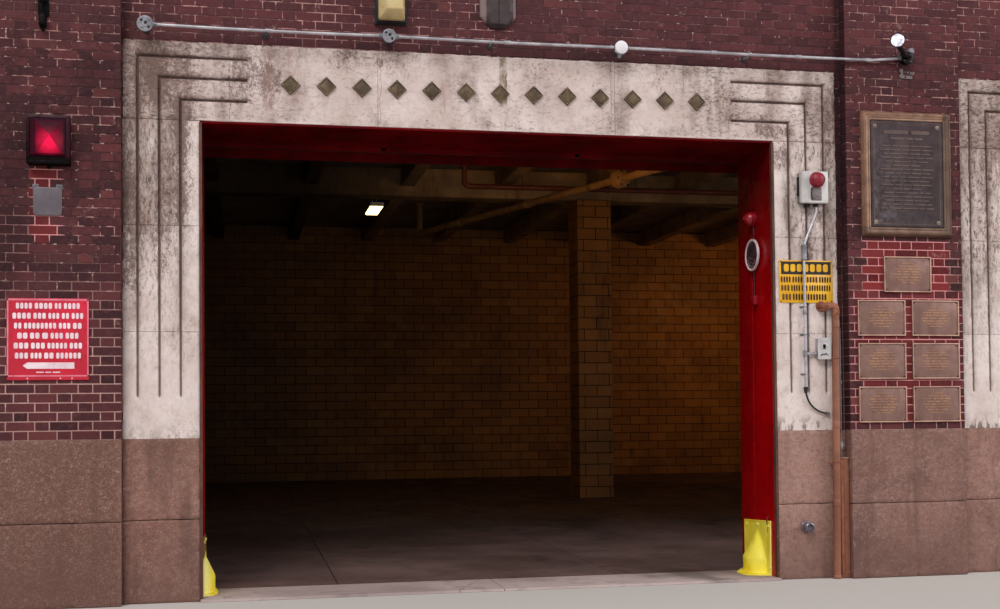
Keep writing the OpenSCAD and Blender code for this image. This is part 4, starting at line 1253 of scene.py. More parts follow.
# recessed walls over the doorways
for s in (-1, 1):
    b = Builder()
    mid = s * BAY_X
    wins = [(mid + x - WIN_W / 2, mid + x + WIN_W / 2, z, z + WIN_H) for x in FRONT_WIN_X for z in SILLS]
    x0, x1 = (PIER_IN, PIER_OUT) if s > 0 else (-PIER_OUT, -PIER_IN)
    xs = sorted({x0, x1} | {w[0] for w in wins} | {w[1] for w in wins})
    zs = sorted({LINTEL_TOP, ROOF_Z, WALL_TOP} | {w[2] for w in wins} | {w[3] for w in wins})

    def solid(i, j, k):
        cx_, cz = (xs[i] + xs[i + 1]) / 2, (zs[k] + zs[k + 1]) / 2
        return not any(w[0] < cx_ < w[1] and w[2] < cz < w[3] for w in wins)

    cells(b, xs, [RECESS + m_in, FRONT_T], zs, solid, inner_face(1, 1))
    fits = courses(LINTEL_TOP + 20, WALL_TOP)
    lay(b, 0, (0, RECESS, 0), x0, x1, fits, flemish(mid), holes=wins)
    # a cut course fills what is left above the stone
    k0 = fits[0]
    za, zb = LINTEL_TOP + 4, GRANITE_H + k0 * COURSE - JOINT / 2
    if zb - za > 8:
        pts = [x0] + [q for q in sorted(flemish(mid)(k0 - 1)) if x0 + 34 < q < x1 - 34] + [x1]
        rects = np.array([(p + JOINT / 2, q - JOINT / 2, za, zb) for p, q in zip(pts, pts[1:])])
        put_bricks(b, 0, (0, RECESS, 0), rects, np.zeros((len(rects), 2), bool), brick_tints(len(rects)))
    # reveals of the windows, one brick deep
    for w0, w1, z0, z1 in wins:
        rows = courses(z0 + 30, z1)
        lay(b, 3, (w0, RECESS, 0), 0, 130, rows, lambda k: [], corners=(True, False))
        lay(b, 2, (w1, RECESS, 0), -130, 0, rows, lambda k: [], corners=(False, True))
    piece("bay_brickwork_" + ("left" if s < 0 else "right"), b, BRICK_MATS, "upper_front_walls", atlas=True)

# party walls with the ends of the rear wall
rear_points = running(215.9, 30.0)
REAR_HOLES = [(-x - WIN_W / 2, -x + WIN_W / 2, z, z + WIN_H) for x in REAR_WIN_X for z in SILLS]
for s in (-1, 1):
    b = Builder()
    x0, x1 = (-HALF_W, -INNER_X) if s < 0 else (INNER_X, HALF_W)
    xo = x0 + m_in if s < 0 else x1 - m_in
    lo, hi = sorted((xo, -INNER_X if s < 0 else INNER_X))
    cells(b, [lo, hi], [FRONT_T, BUILDING_D - m_in], [0, ROOF_Z, WALL_TOP], lambda i, j, k: True, inner_face(0, -s))
    side_rows(b, s, FRONT_T, BUILDING_D + 1, None, z_from=5)
    lay(b, 1, (0, BUILDING_D, 0), -HALF_W, HALF_W, courses(5, WALL_TOP), rear_points, corners=(True, True),
        own=(lambda m: m > INNER_X) if s < 0 else (lambda m: m < -INNER_X))
    # the granite is only at the front: below its level the wall is laid from the ground
    piece("party_wall_" + ("left" if s < 0 else "right"), b, BRICK_MATS, "party_walls", atlas=True)

b = Builder()
xs = sorted({-INNER_X, INNER_X} | {x + q for x in REAR_WIN_X for q in (-WIN_W / 2, WIN_W / 2)})
zs = sorted({0, ROOF_Z, WALL_TOP} | {z + q for z in SILLS for q in (0, WIN_H)})


def rear_solid(i, j, k):
    cx_, cz = (xs[i] + xs[i + 1]) / 2, (zs[k] + zs[k + 1]) / 2
    return not any(abs(cx_ - x) < WIN_W / 2 and z < cz < z + WIN_H for x in REAR_WIN_X for z in SILLS)


cells(b, xs, [REAR_Y, BUILDING_D - m_in], zs, rear_solid, inner_face(1, -1))
lay(b, 1, (0, BUILDING_D, 0), -HALF_W, HALF_W, courses(5, WALL_TOP), rear_points, holes=REAR_HOLES, corners=(True, True),
    own=lambda m: (m <= INNER_X) & (m >= -INNER_X))
for x in REAR_WIN_X:
    for z in SILLS:
        rows = courses(z + 30, z + WIN_H)
        lay(b, 3, (x - WIN_W / 2, BUILDING_D, 0), -130, 0, rows, lambda k: [], corners=(False, True))
        lay(b, 2, (x + WIN_W / 2, BUILDING_D, 0), 0, 130, rows, lambda k: [], corners=(True, False))
piece("rear_wall_brickwork", b, BRICK_MATS, "rear_wall", atlas=True)


# ---------------------------------------------------------------- stone and granite
def relief(b, xs, zs, y0, y1, depth, wear, ragged=0.0, seed=3, mat=0, tint=(0.5, 0, 0.5), flip=False):
    """A stone with a carved and weathered front. depth(x, z) is how far the face is cut back."""
    xs, zs = np.asarray(xs, float), np.asarray(zs, float)
    X, Z = np.meshgrid(xs, zs)
    D = depth(X, Z)
    W = wear(X, Z, D)
    PX, PZ = X.copy(), Z.copy()
    if ragged > 0:
        def bite(a, c, sd):
            f = fbm(a / 55.0, c / 55.0, sd, 4, 0.6)
            return ragged * np.clip((f - 0.50) / 0.25, 0, 1) + 0.25 * ragged * vnoise(a / 18.0, c / 18.0, sd + 5)
        PX[:, 0] += bite(X[:, 0], Z[:, 0], seed)
        PX[:, -1] -= bite(X[:, -1], Z[:, -1], seed + 1)
        PZ[0, :] += 0.3 * bite(X[0, :], Z[0, :], seed + 2)
        PZ[-1, :] -= bite(X[-1, :], Z[-1, :], seed + 3)
    nz, nx = X.shape
    front = np.stack([PX, y0 + D, PZ], -1).reshape(-1, 3)
    idx = np.arange(nz * nx).reshape(nz, nx)
    quads = np.stack([idx[:-1, :-1], idx[:-1, 1:], idx[1:, 1:], idx[1:, :-1]], -1).reshape(-1, 4)
    ring = np.concatenate([idx[0, :], idx[1:, -1], idx[-1, -2::-1], idx[-2:0:-1, 0]])
    n = len(ring)
    back = front[ring].copy()
    back[:, 1] = y1
    verts = np.concatenate([front, back])
    nb = nz * nx + np.arange(n)
    nxt = np.roll(np.arange(n), -1)
    side = np.stack([nb, nb[nxt], ring[nxt], ring], -1)
    wv = np.concatenate([W.reshape(-1, 3), np.stack([np.zeros(n), np.zeros(n), W.reshape(-1, 3)[ring][:, 2] * 0.6], -1)])
    faces = [list(q) for q in quads] + [list(q) for q in side] + [list(nb[::-1])]
    b.add(verts, faces, mat, tint, -1, wv)


def lines(lo, hi, step, marks=()):
    """Grid lines from lo to hi about step apart, with lines on the marks."""
    marks = sorted({lo, hi} | {m for m in marks if lo < m < hi})
    out = [lo]
    for a, c in zip(marks, marks[1:]):
        n = max(1, int(round((c - a) / step)))
        out += [a + (c - a) * (i + 1) / n for i in range(n)]
    return out


G_HALF, G_DEEP = 16.0, 30.0
GROOVES = ((145.0, 162.0), (303.0, 330.0), (465.0, 492.0))
GROOVE_FOOT, GROOVE_RUN = GRANITE_H + 297.0, 380.0
BED_1, BED_2 = GRANITE_H + 818.0, GRANITE_H + 1637.0


def edge_mask(d, reach=26.0):
    return np.exp(-np.maximum(d, 0) / reach)


def stone_depth(e, s, mirror):
    """Depth of cut for the surround of the doorway at x > 0; e is the doorway edge and s its outward side."""
    def rel(X, Z):
        u = (X - e) * s  # distance from the doorway edge, away from it
        lane = np.full(X.shape, 1e9)
        for g, up in GROOVES:
            # vertical leg
            top = DOOR_H + up
            dv = np.abs(u - g) - G_HALF
            out_z = np.maximum(GROOVE_FOOT - Z, Z - (top + G_HALF))
            lane = np.minimum(lane, np.maximum(dv, out_z))
            # horizontal leg
            dh = np.abs(Z - top) - G_HALF
            out_x = np.maximum(-GROOVE_RUN - u, u - (g + G_HALF))
            lane = np.minimum(lane, np.maximum(dh, out_x))
        return u, lane
    return rel


def stone_faces(X, Z, lane, joints, seed, border):
    """Depth and wear from the distance to grooves, joints and borders."""
    low = 0.75 + 0.25 * sstep(1900.0, 2700.0, Z)
    cut = G_DEEP * low * sstep(-0.5, 12.5, -lane)
    jd = np.full(X.shape, 1e9)
    for d in joints(X, Z):
        jd = np.minimum(jd, d)
    cut = np.maximum(cut, 5.0 * (1 - sstep(1.0, 3.2, jd)))
    free = np.minimum(np.maximum(lane, 0), border(X, Z))
    flat = 1 - sstep(0.0, 12.0, cut)
    chip = np.clip((fbm(X / 42.0, Z / 60.0, seed) - 0.53) / 0.2, 0, 1) * np.clip(1 - free / 20.0, 0, 1) * 9.0
    swell = 2.4 * fbm(X / 170.0, Z / 210.0, seed + 3) + 1.1 * fbm(X / 36.0, Z / 36.0, seed + 4)
    round_ = 2.5 * np.clip(1 - free / 6.0, 0, 1)
    D = cut + flat * (chip + swell + round_)
    groove = np.clip(cut / 20.0, 0, 1) * (0.85 + 0.15 * sstep(1900.0, 2700.0, Z))
    groove = np.maximum(groove, 0.62 * (1 - sstep(1.0, 4.0, jd)))
    edge = np.clip(edge_mask(free) + 0.5 * edge_mask(jd, 16), 0, 1) * flat
    return D, groove, edge


def grime_at(X, Z):
    """How dirty the stone is: the outer upper corners and upper jambs are grey, the middle and the feet clean."""
    ax = np.abs(X)
    # distance along the bay from its outer pier, 0 at the pier side and 1 at the centre pier
    t = (PIER_OUT - ax) / (PIER_OUT - PORTAL_IN)
    up = 0.75 * sstep(2050.0, 3300.0, Z) + 0.25 * sstep(1500.0, 2100.0, Z)
    side = np.where(np.where(X < 0, t, 1 - t) < 0.5, 1.0, 0.50)
    jamb = np.maximum(sstep(0.80, 0.86, np.abs(t - 0.5) * 2), 0)
    # the lanes next to the piers are the dirtiest
    lane = 0.86 + 0.34 * sstep(0.84, 1.0, np.abs(t - 0.5) * 2)
    block = 0.10 * (Z > BED_1) + 0.04 * (Z > BED_2)
    g = jamb * (0.62 * up * lane + block) * side
    lint = sstep(3700.0, 3720.0, Z)
    cornerness = sstep(0.70, 0.86, np.abs(t - 0.5) * 2)
    crown = sstep(4150.0, 4310.0, Z) * 0.12
    body = 0.14 + 0.22 * sstep(0.42, 0.62, np.abs(t - 0.5) * 2)
    g = np.where(lint > 0.5, np.maximum(cornerness * 0.72 * side, body) + crown, g)
    g = g + 0.40 * np.clip(fbm(X / 420.0, Z / 500.0, 51) - 0.42, 0, 1) * 2
    return np.clip(g, 0, 1)


for s in (-1, 1):
    b = Builder()
    for far in (False, True):
        e = s * (DOOR_OUT if far else DOOR_IN)
        out = s if far else -s               # away from the doorway, in x
        outer = s * (PIER_OUT if far else PORTAL_IN)
        x0, x1 = sorted((e, outer))
        rel = stone_depth(e, out, False)
        marks = [e + out * (g + q) for g, _ in GROOVES for q in (-G_HALF - 2, -G_HALF + 1.5, -6, 0, 6, G_HALF - 1.5, G_HALF + 2)]
        marks += [x0 + 6, x1 - 6]
        zmarks = [GROOVE_FOOT + q for q in (-2, 2, 14)] + [j + q for j in (BED_1, BED_2) for q in (-3.5, -1, 1, 3.5)] + [DOOR_H - 3, GRANITE_H + 5]

        def depth_wear(X, Z, rel=rel, x0=x0, x1=x1, e=e):
            u, lane = rel(X, Z)
            # the groove runs out to a point at its foot
            lane = lane + np.clip((GROOVE_FOOT + 26 - Z) / 26.0, 0, 1) * 15.0
            joints = lambda A, C: [np.abs(C - BED_1 + 2 * (vnoise(A / 60, A * 0, 9) - 0.5)), np.abs(C - BED_2), np.abs(C - DOOR_H) + 0.5]
            border = lambda A, C: np.minimum(np.abs(A - x0), np.abs(A - x1))
            return stone_faces(X, Z, lane, joints, 23, border)

        relief(b, lines(x0, x1, 22, marks), lines(GRANITE_H, DOOR_H, 21, zmarks), STONE_Y, FRONT_T,
               lambda X, Z: depth_wear(X, Z)[0],
               lambda X, Z, D: np.stack([depth_wear(X, Z)[1], depth_wear(X, Z)[2], grime_at(X, Z)], -1),
               ragged=5.0, seed=31 + (2 if far else 0))
    piece("jamb_stones_" + ("left" if s < 0 else "right"), b, [M["stone"]], "doorway_jamb_stones", atlas=True, sharp=38)

    b = Builder()
    x0, x1 = sorted((s * PORTAL_IN, s * PIER_OUT))
    e_in, e_out = s * DOOR_IN, s * DOOR_OUT
    rel_in, rel_out = stone_depth(e_in, -s, False), stone_depth(e_out, s, False)
    third = (x1 - x0) / 3
    joint_x = [x0 + third, x0 + 2 * third]
    marks, zmarks = [x0 + 6, x1 - 6], [DOOR_H + 4, LINTEL_TOP - 5]
    for e, out in ((e_in, -s), (e_out, s)):
        for g, up in GROOVES:
            marks += [e + out * (g + q) for q in (-G_HALF - 2, -G_HALF + 1.5, -6, 0, 6, G_HALF - 1.5, G_HALF + 2)]
        marks += [e - out * GROOVE_RUN + q for q in (-2, 2)]
    for g, up in GROOVES:
        zmarks += [DOOR_H + up + q for q in (-G_HALF - 2, -G_HALF + 1.5, -6, 0, 6, G_HALF - 1.5, G_HALF + 2)]
    marks += [j + q for j in joint_x for q in (-3.5, -1, 1, 3.5)]

    def lintel_dw(X, Z):
        lane = np.minimum(rel_in(X, Z)[1], rel_out(X, Z)[1])
        joints = lambda A, C: [np.abs(A - j + 3 * (vnoise(C / 70, C * 0, 11) - 0.5)) for j in joint_x] + [np.abs(C - DOOR_H) + 0.5]
        border = lambda A, C: np.minimum(np.minimum(np.abs(A - x0), np.abs(A - x1)), np.minimum(np.abs(C - LINTEL_TOP), np.abs(C - DOOR_H)))
        return stone_faces(X, Z, lane, joints, 37, border)

    relief(b, lines(x0, x1, 22, marks), lines(DOOR_H, LINTEL_TOP, 20, zmarks), STONE_Y, FRONT_T,
           lambda X, Z: lintel_dw(X, Z)[0],
           lambda X, Z, D: np.stack([lintel_dw(X, Z)[1], lintel_dw(X, Z)[2], grime_at(X, Z)], -1), ragged=8.0, seed=45)
    piece("lintel_stones_" + ("left" if s < 0 else "right"), b, [M["stone"]], "doorway_lintel_stones", atlas=True, sharp=38)

# granite base, in two courses of blocks with open joints
b = Builder()
GY = STONE_Y - 6


def granite_block(x0, x1, z0, z1, y0, y1, seed):
    def depth(X, Z):
        d = np.minimum(np.minimum(X - X.min(), X.max() - X), np.minimum(Z - Z.min(), Z.max() - Z))
        chip = np.clip((fbm(X / 50.0, Z / 50.0, seed) - 0.55) / 0.2, 0, 1) * np.clip(1 - d / 22.0, 0, 1) * 7.0
        return 4.0 * np.clip(1 - d / 6.0, 0, 1) + chip + 1.6 * fbm(X / 90.0, Z / 90.0, seed + 1) + 1.2 * vnoise(X / 21.0, Z / 21.0, seed + 2)
    ma = [x0 + 6, x1 - 6]
    mz = [z0 + 6, z1 - 6]
    t = np.random.RandomState(seed).rand()
    relief(b, lines(x0, x1, 26, ma), lines(z0, z1, 26, mz), y0, y1, depth,
           lambda X, Z, D: np.zeros(X.shape + (3,)), ragged=3.0, seed=seed, mat=0, tint=(t, 0, 0.5))


GZ = 630.0
for s in (-1, 1):
    p0, p1 = sorted((s * PIER_OUT, s * HALF_W))
    j0, j1 = sorted((s * DOOR_OUT, s * PIER_OUT))
    i0, i1 = sorted((s * PIER_IN, s * DOOR_IN))
    for n, (z0, z1) in enumerate(((0, GZ - 2), (GZ + 2, GRANITE_H))):
        granite_block(p0, p1, z0, z1, -14, FRONT_T, 61 + 2 * n + s)
        granite_block(j0 + (2 if s > 0 else 0), j1 - (2 if s < 0 else 0), z0, z1, GY, FRONT_T, 71 + 2 * n + s)
        granite_block(i0 + (2 if s > 0 else 0), i1 - (2 if s < 0 else 0), z0, z1, GY, FRONT_T, 81 + 2 * n + s)
for n, (z0, z1) in enumerate(((0, GZ - 2), (GZ + 2, GRANITE_H))):
    granite_block(-PIER_IN, PIER_IN, z0, z1, -14, FRONT_T, 91 + 2 * n)
piece("granite_blocks", b, [M["granite"]], "granite_base", atlas=True, sharp=38)


# ---------------------------------------------------------------- doorways: steel linings, hoods, guards
def wavy_plate(b, way, origin, us, ws, thick, amp, seed, mat=0, tint=(0.5, 0, 0.5)):
    """A sheet on a grid, a little out of flat, with its sides. Its back lies thick behind the face."""
    u, w, n = (FRONT_DIR, REAR_DIR, LEFT_DIR, RIGHT_DIR)[way]
    U, W = np.meshgrid(np.asarray(us, float), np.asarray(ws, float))
    d = amp * fbm(U / 420.0, W / 420.0, seed, 3)
    o = np.asarray(origin, float)
    P = o + U[..., None] * u + W[..., None] * w - d[..., None] * n
    nz, nx = U.shape
    idx = np.arange(nz * nx).reshape(nz, nx)
    quads = np.stack([idx[:-1, :-1], idx[:-1, 1:], idx[1:, 1:], idx[1:, :-1]], -1).reshape(-1, 4)
    ring = np.concatenate([idx[0, :], idx[1:, -1], idx[-1, -2::-1], idx[-2:0:-1, 0]])
    front = P.reshape(-1, 3)
    k = len(ring)
    back = (o + U[..., None] * u + W[..., None] * w - thick * n).reshape(-1, 3)[ring]
    nb = nz * nx + np.arange(k)
    nxt = np.roll(np.arange(k), -1)
    side = np.stack([nb, nb[nxt], ring[nxt], ring], -1)
    faces = [list(q) for q in quads] + [list(q) for q in side] + [list(nb[::-1])]
    b.add(np.concatenate([front, back]), faces, mat, tint, CHART[way])


def steps(lo, hi, step):
    n = max(1, int(round(abs(hi - lo) / step)))
    return [lo + (hi - lo) * i / n for i in range(n + 1)]


for s in (-1, 1):
    b = Builder()
    for far in (False, True):
        e = s * (DOOR_OUT if far else DOOR_IN)
        out = s if far else -s                    # away from the doorway
        way = 2 if out > 0 else 3                 # the face looks into the doorway
        f = e - out * 14
        sign = -1 if way == 2 else 1              # u runs along sign * y
        u0, u1 = sorted((sign * 101.0, sign * 556.0))
        wavy_plate(b, way, (f, 0, 0), steps(u0, u1, 65), steps(0, 3691, 150), 13.8, 1.6, 11 + (3 if far else 0), 0)
        # guide box behind it, with a seam between
        g0, g1 = sorted((sign * 560.0, sign * 850.0))
        wavy_plate(b, way, (f, 0, 0), steps(g0, g1, 60), steps(0, 3691, 150), 60, 1.4, 19 + (3 if far else 0), 0)
        lo, hi = sorted((e + out * 46, e + out * 150))
        rbox(b, (lo, 561, 0), (hi, 850, 3691), 4, 2, 0)
        # flat bar over the seam, and bolts up both sides
        lo, hi = sorted((f - out * 5, f + out * 1))
        rbox(b, (lo, 536, 2), (hi, 580, 3689), 2, 1, 0)
        for z in range(700, 3600, 420):
            bolt(b, (f - out * 4.6, 558, z), (-out, 0, 0), 9, 0, 7)
            bolt(b, (f + out * 0.6, 150, z + 60), (-out, 0, 0), 7, 0, 5)
        # brown iron angle on the stone's edge
        lo, hi = sorted((f + out * 0.5, f - out * 3))
        rbox(b, (lo, 92, 0), (hi, 131, 3691), 1.2, 1, 1)
        lo, hi = sorted((f - out * 3, e + out * 5))
        rbox(b, (lo, 86, 0), (hi, 96, GRANITE_H), 1.2, 1, 1)
        rbox(b, (lo, 90.5, GRANITE_H), (hi, 96, 3691), 1.2, 1, 1)
        for z in range(300, 3600, 640):
            bolt(b, (f - out * 2.4, 112, z), (-out, 0, 0), 5, 1, 4)
        # rusty bent strip left over the guard on the inner side of the bay
        if not far:
            pts = [(f - out * 4, 250, 520), (f - out * 14, 256, 505), (f - out * 20, 262, 470), (f - out * 9, 266, 440), (f - out * 7, 268, 380)]
            path = bend_path(pts, 16, 4)
            tube(b, path, 4.0, 6, 2)
    piece("jamb_linings_" + ("left" if s < 0 else "right"), b, [M["red"], M["iron_brown"], M["rust"]],
          "door_jamb_linings", sharp=40)

    # soffit plate, its rear lip, and the hood of the raised shutter
    b = Builder()
    x0, x1 = sorted((s * DOOR_IN, s * DOOR_OUT))
    U, W = np.meshgrid(np.asarray(steps(x0, x1, 180)), np.asarray(steps(101, 849, 75)))
    sag = 1.2 + 3.0 * fbm(U / 600.0, W / 200.0, 77 + s, 3) - 1.5
    P = np.stack([U, W, DOOR_H - 14 + np.clip(sag, 0, 3.0)], -1)
    nz, nx = U.shape
    idx = np.arange(nz * nx).reshape(nz, nx)
    quads = np.stack([idx[:-1, :-1], idx[1:, :-1], idx[1:, 1:], idx[:-1, 1:]], -1).reshape(-1, 4)
    ring = np.concatenate([idx[0, :], idx[1:, -1], idx[-1, -2::-1], idx[-2:0:-1, 0]])
    k = len(ring)
    top = P.reshape(-1, 3)[ring].copy()
    top[:, 2] = DOOR_H
    nb = nz * nx + np.arange(k)
    nxt = np.roll(np.arange(k), -1)
    side = np.stack([nb[nxt], nb, ring, ring[nxt]], -1)
    b.add(np.concatenate([P.reshape(-1, 3), top]), [list(q) for q in quads] + [list(q) for q in side] + [list(nb)], 0)
    rbox(b, (x0 + 2, 103, DOOR_H - 18), (x1 - 2, 117, DOOR_H - 10), 2, 1, 0)
    xa, xb = sorted((s * (DOOR_IN - 150), s * (DOOR_OUT + 150)))
    # front sheet in three lengths with cover strips, its edge rolled
    rbox(b, (xa, 850, 3655), (xb, 856, 4225), 2, 1, 0)
    tube(b, [(xa + 2, 857, 3661), (xb - 2, 857, 3661)], 5.5, 10, 0)
    for t in (0.33, 0.67):
        x = xa + (xb - xa) * t
        rbox(b, (x - 22, 850, 3668), (x + 22, 859, 4220), 2, 1, 0)
    rbox(b, (xa, 856, 4219), (xb, 1294, 4225), 2, 1, 0)
    rbox(b, (xa, 1294, 3655), (xb, 1300, 4225), 2, 1, 0)
    for x in (xa, xb - 8):
        rbox(b, (x, 856, 3660), (x + 8, 1294, 4219), 2, 1, 0)
    # rolled-up curtain with its slats, and its bottom bar in the mouth of the hood
    lathe(b, [(0, 0), (0, 186), (xb - xa - 60, 186), (xb - xa - 60, 0)], (xa + 30, 1080, 3960), (1, 0, 0), 40, 1)
    for i in range(20):
        a = 2 * math.pi * i / 20
        y, z = 1080 + 186 * math.cos(a), 3960 + 186 * math.sin(a)
        tube(b, [(xa + 32, y, z), (xb - 32, y, z)], 7, 6, 1)
    rbox(b, (xa + 30, 895, 3668), (xb - 30, 905, 3950), 3, 1, 1)
    rbox(b, (xa + 30, 872, 3664), (xb - 30, 928, 3672), 2, 1, 1)
    for x in steps(xa + 200, xb - 200, 700):
        bolt(b, (x, 850.5, 3690), (0, -1, 0), 6, 0, 4)
    piece("head_linings_" + ("left" if s < 0 else "right"), b, [M["red_dark"], M["black"]], "door_head_linings", sharp=40)


# wheel guards: a bolted plate with a pressed bulge, and a flange on the floor
def guard(b, e, out, reach, swell, top):
    """Plate on the jamb with a bulge like a cut cone, and a flange on the floor."""
    f = e - out * 14
    y0, y1, g = 211.0, 776.0, SLAB
    ym = (y0 + y1) / 2
    rad = (185.0**2 + swell**2) / (2 * swell)
    ys = np.array(sorted(set([y0, y0 + 3, y0 + 12] + steps(y0 + 24, y1 - 24, 14.5) + [y1 - 12, y1 - 3, y1])))
    zs = np.array(sorted(set(steps(0, 384, 12.0) + [396, 420, 438, 446, 450])))
    Y, Z = np.meshgrid(ys, zs)
    r = np.where(Z < 130, rad, rad - (swell - 8.0) * (Z - 130) / (top - 130.0))
    h = np.sqrt(np.maximum(r**2 - (Y - ym) ** 2, 0)) - (rad - swell)
    h = np.where(Z > top + 12, 0, h)
    # the foot flares out over the flange
    h = h + 8.0 * np.exp(-Z / 9.0) * (h > 8)
    base = 8.0 + 1.2 * fbm(Y / 60.0, Z / 60.0, 5)
    rim = np.minimum.reduce([Y - y0, y1 - Y, 450 - Z])
    base = base + 4.0 * np.clip(1 - np.abs(rim - 5) / 5.0, 0, 1)
    kq = 4.0
    H = np.maximum(base, h) + kq * np.exp(-np.abs(base - h) / kq) * 0.35
    dent = 5.0 * np.exp(-(((Y - ym + 90) / 50.0) ** 2 + ((Z - 150) / 45.0) ** 2)) + 3.5 * np.exp(-(((Y - ym - 70) / 40.0) ** 2 + ((Z - 60) / 50.0) ** 2))
    H = H - dent * (h > base)
    # the top edge is cut a little out of level
    lift = (12.0 - 28.0 * (Y - y0) / (y1 - y0)) * sstep(330.0, 450.0, Z)
    P = np.stack([f - out * H, Y, g + Z + lift], -1)
    nz, nx = Y.shape
    idx = np.arange(nz * nx).reshape(nz, nx)
    if out > 0:
        quads = np.stack([idx[:-1, :-1], idx[1:, :-1], idx[1:, 1:], idx[:-1, 1:]], -1).reshape(-1, 4)
    else:
        quads = np.stack([idx[:-1, :-1], idx[:-1, 1:], idx[1:, 1:], idx[1:, :-1]], -1).reshape(-1, 4)
    ring = np.concatenate([idx[0, :], idx[1:, -1], idx[-1, -2::-1], idx[-2:0:-1, 0]])
    k = len(ring)
    back = P.reshape(-1, 3)[ring].copy()
    back[:, 0] = f
    nb = nz * nx + np.arange(k)
    nxt = np.roll(np.arange(k), -1)
    side = np.stack([nb, nb[nxt], ring[nxt], ring], -1) if out < 0 else np.stack([nb[nxt], nb, ring, ring[nxt]], -1)
    cap = list(nb[::-1]) if out < 0 else list(nb)
    b.add(np.concatenate([P.reshape(-1, 3), back]), [list(q) for q in quads] + [list(q) for q in side] + [cap], 0)
    # flange with rounded corners
    corner = [(f, y0), (f - out * reach * 0.55, y0 + 30), (f - out * reach, y0 + 96), (f - out * reach, ym), (f - out * 90, y1 - 90), (f, y1)]
    path = bend_path([(x, y, 0) for x, y in corner], 46, 5)
    ring_pts = [(q.x, q.y) for q in path]
    bm = bmesh.new()
    low = [bm.verts.new((x, y, g)) for x, y in ring_pts]
    top_ = [bm.verts.new((x, y, g + 7.5)) for x, y in ring_pts]
    m = len(ring_pts)
    bm.faces.new(low)
    ft = bm.faces.new(top_)
    for i in range(m):
        bm.faces.new((low[i], low[(i + 1) % m], top_[(i + 1) % m], top_[i]))
    bmesh.ops.recalc_face_normals(bm, faces=bm.faces)
    bmesh.ops.bevel(bm, geom=list(ft.edges), offset=2, segments=2, profile=0.5, affect="EDGES")
    bm.verts.index_update()
    bm_part(b, bm, 0)
    for y, z in ((y0 + 40, 416), (ym - 10, 414), (y1 - 60, 396)):
        bolt(b, (f - out * 8.0, y, g + z), (-out, 0, 0), 12, 1, 9)
    for y, z in ((y0 + 24, 60), (y1 - 24, 70)):
        bolt(b, (f - out * 8.0, y, g + z), (-out, 0, 0), 10, 1, 7)
    for x, y in ((f - out * reach * 0.8, ym - 120), (f - out * reach * 0.72, ym + (30 if reach > 150 else 150))):
        bolt(b, (x, y, g + 7.0), (0, 0, 1), 10, 1, 6)


for s in (-1, 1):
    b = Builder()
    guard(b, s * DOOR_IN, -s, 205.0, 130.0, 365.0)
    guard(b, s * DOOR_OUT, s, 110.0, 88.0, 300.0)
    piece("wheel_guards_" + ("left" if s < 0 else "right"), b, [M["yellow"], M["yellow_bolt"]], "jamb_guards", sharp=50)

# ---------------------------------------------------------------- floor of the hall
b = Builder()


def floor_panel(x0, x1, y0, y1, z1, mat, seed):
    xs, ys = [x0, x0 + 6] + steps(x0 + 90, x1 - 90, 340) + [x1 - 6, x1], [y0, y0 + 6] + steps(y0 + 70, y1 - 70, 340) + [y1 - 6, y1]
    X, Y = np.meshgrid(xs, ys)
    rim = np.minimum.reduce([X - x0, x1 - X, Y - y0, y1 - Y])
    D = 1.8 * np.clip(1 - rim / 6.0, 0, 1) + 1.2 * fbm(X / 700.0, Y / 700.0, seed)
    P = np.stack([X, Y, z1 - D], -1)
    nz, nx = X.shape
    idx = np.arange(nz * nx).reshape(nz, nx)
    quads = np.stack([idx[:-1, :-1], idx[:-1, 1:], idx[1:, 1:], idx[1:, :-1]], -1).reshape(-1, 4)
    ring = np.concatenate([idx[0, :], idx[1:, -1], idx[-1, -2::-1], idx[-2:0:-1, 0]])
    k = len(ring)
    back = P.reshape(-1, 3)[ring].copy()
    back[:, 2] = 0
    nb = nz * nx + np.arange(k)
    nxt = np.roll(np.arange(k), -1)
    side = np.stack([nb, nb[nxt], ring[nxt], ring], -1)
    b.add(np.concatenate([P.reshape(-1, 3), back]), [list(q) for q in quads] + [list(q) for q in side] + [list(nb[::-1])], mat)


fx = [-INNER_X + 1] + [i * 2400.0 for i in (-2, -1, 0, 1, 2)] + [INNER_X - 1]
fy = [660.0] + [560 + i * 2633.0 for i in range(1, 6)] + [REAR_Y - 1]
for i in range(len(fx) - 1):
    for j in range(len(fy) - 1):
        floor_panel(fx[i] + (4 if i else 0), fx[i + 1] - (4 if i < len(fx) - 2 else 0), fy[j] + 4, fy[j + 1] - 4, SLAB, 1, 3 * i + 7 * j)
rbox(b, (-INNER_X + 2, 562, 0), (INNER_X - 2, REAR_Y - 2, SLAB - 6), 0, 1, 3)
for s in (-1, 1):
    x0, x1 = sorted((s * DOOR_IN, s * DOOR_OUT))
    w = (x1 - x0) / 2
    for i in range(2):
        floor_panel(x0 + w * i + (3 if i else 0), x0 + w * (i + 1) - (0 if i else 3), 40, 640, SLAB, 0, 40 + i + s)
    # steel sill in the floor under the shutter
    rbox(b, (x0, 640, 0), (x1, 662, SLAB), 2, 1, 2)
rbox(b, (-INNER_X + 2, 563, 0), (-DOOR_OUT, 662, SLAB - 1), 1, 1, 1)
rbox(b, (-DOOR_IN, 563, 0), (DOOR_IN, 662, SLAB - 1), 1, 1, 1)
rbox(b, (DOOR_OUT, 563, 0), (INNER_X - 2, 662, SLAB - 1), 1, 1, 1)
piece("hall_floor", b, [M["concrete"], M["concrete_dark"], M["iron_brown"], M["grout"]], "apparatus_floor", atlas=False)


# ---------------------------------------------------------------- tiled walls and column of the hall
TILE_W, TILE_H, TILE_J = 406.0, 180.0, 13.0


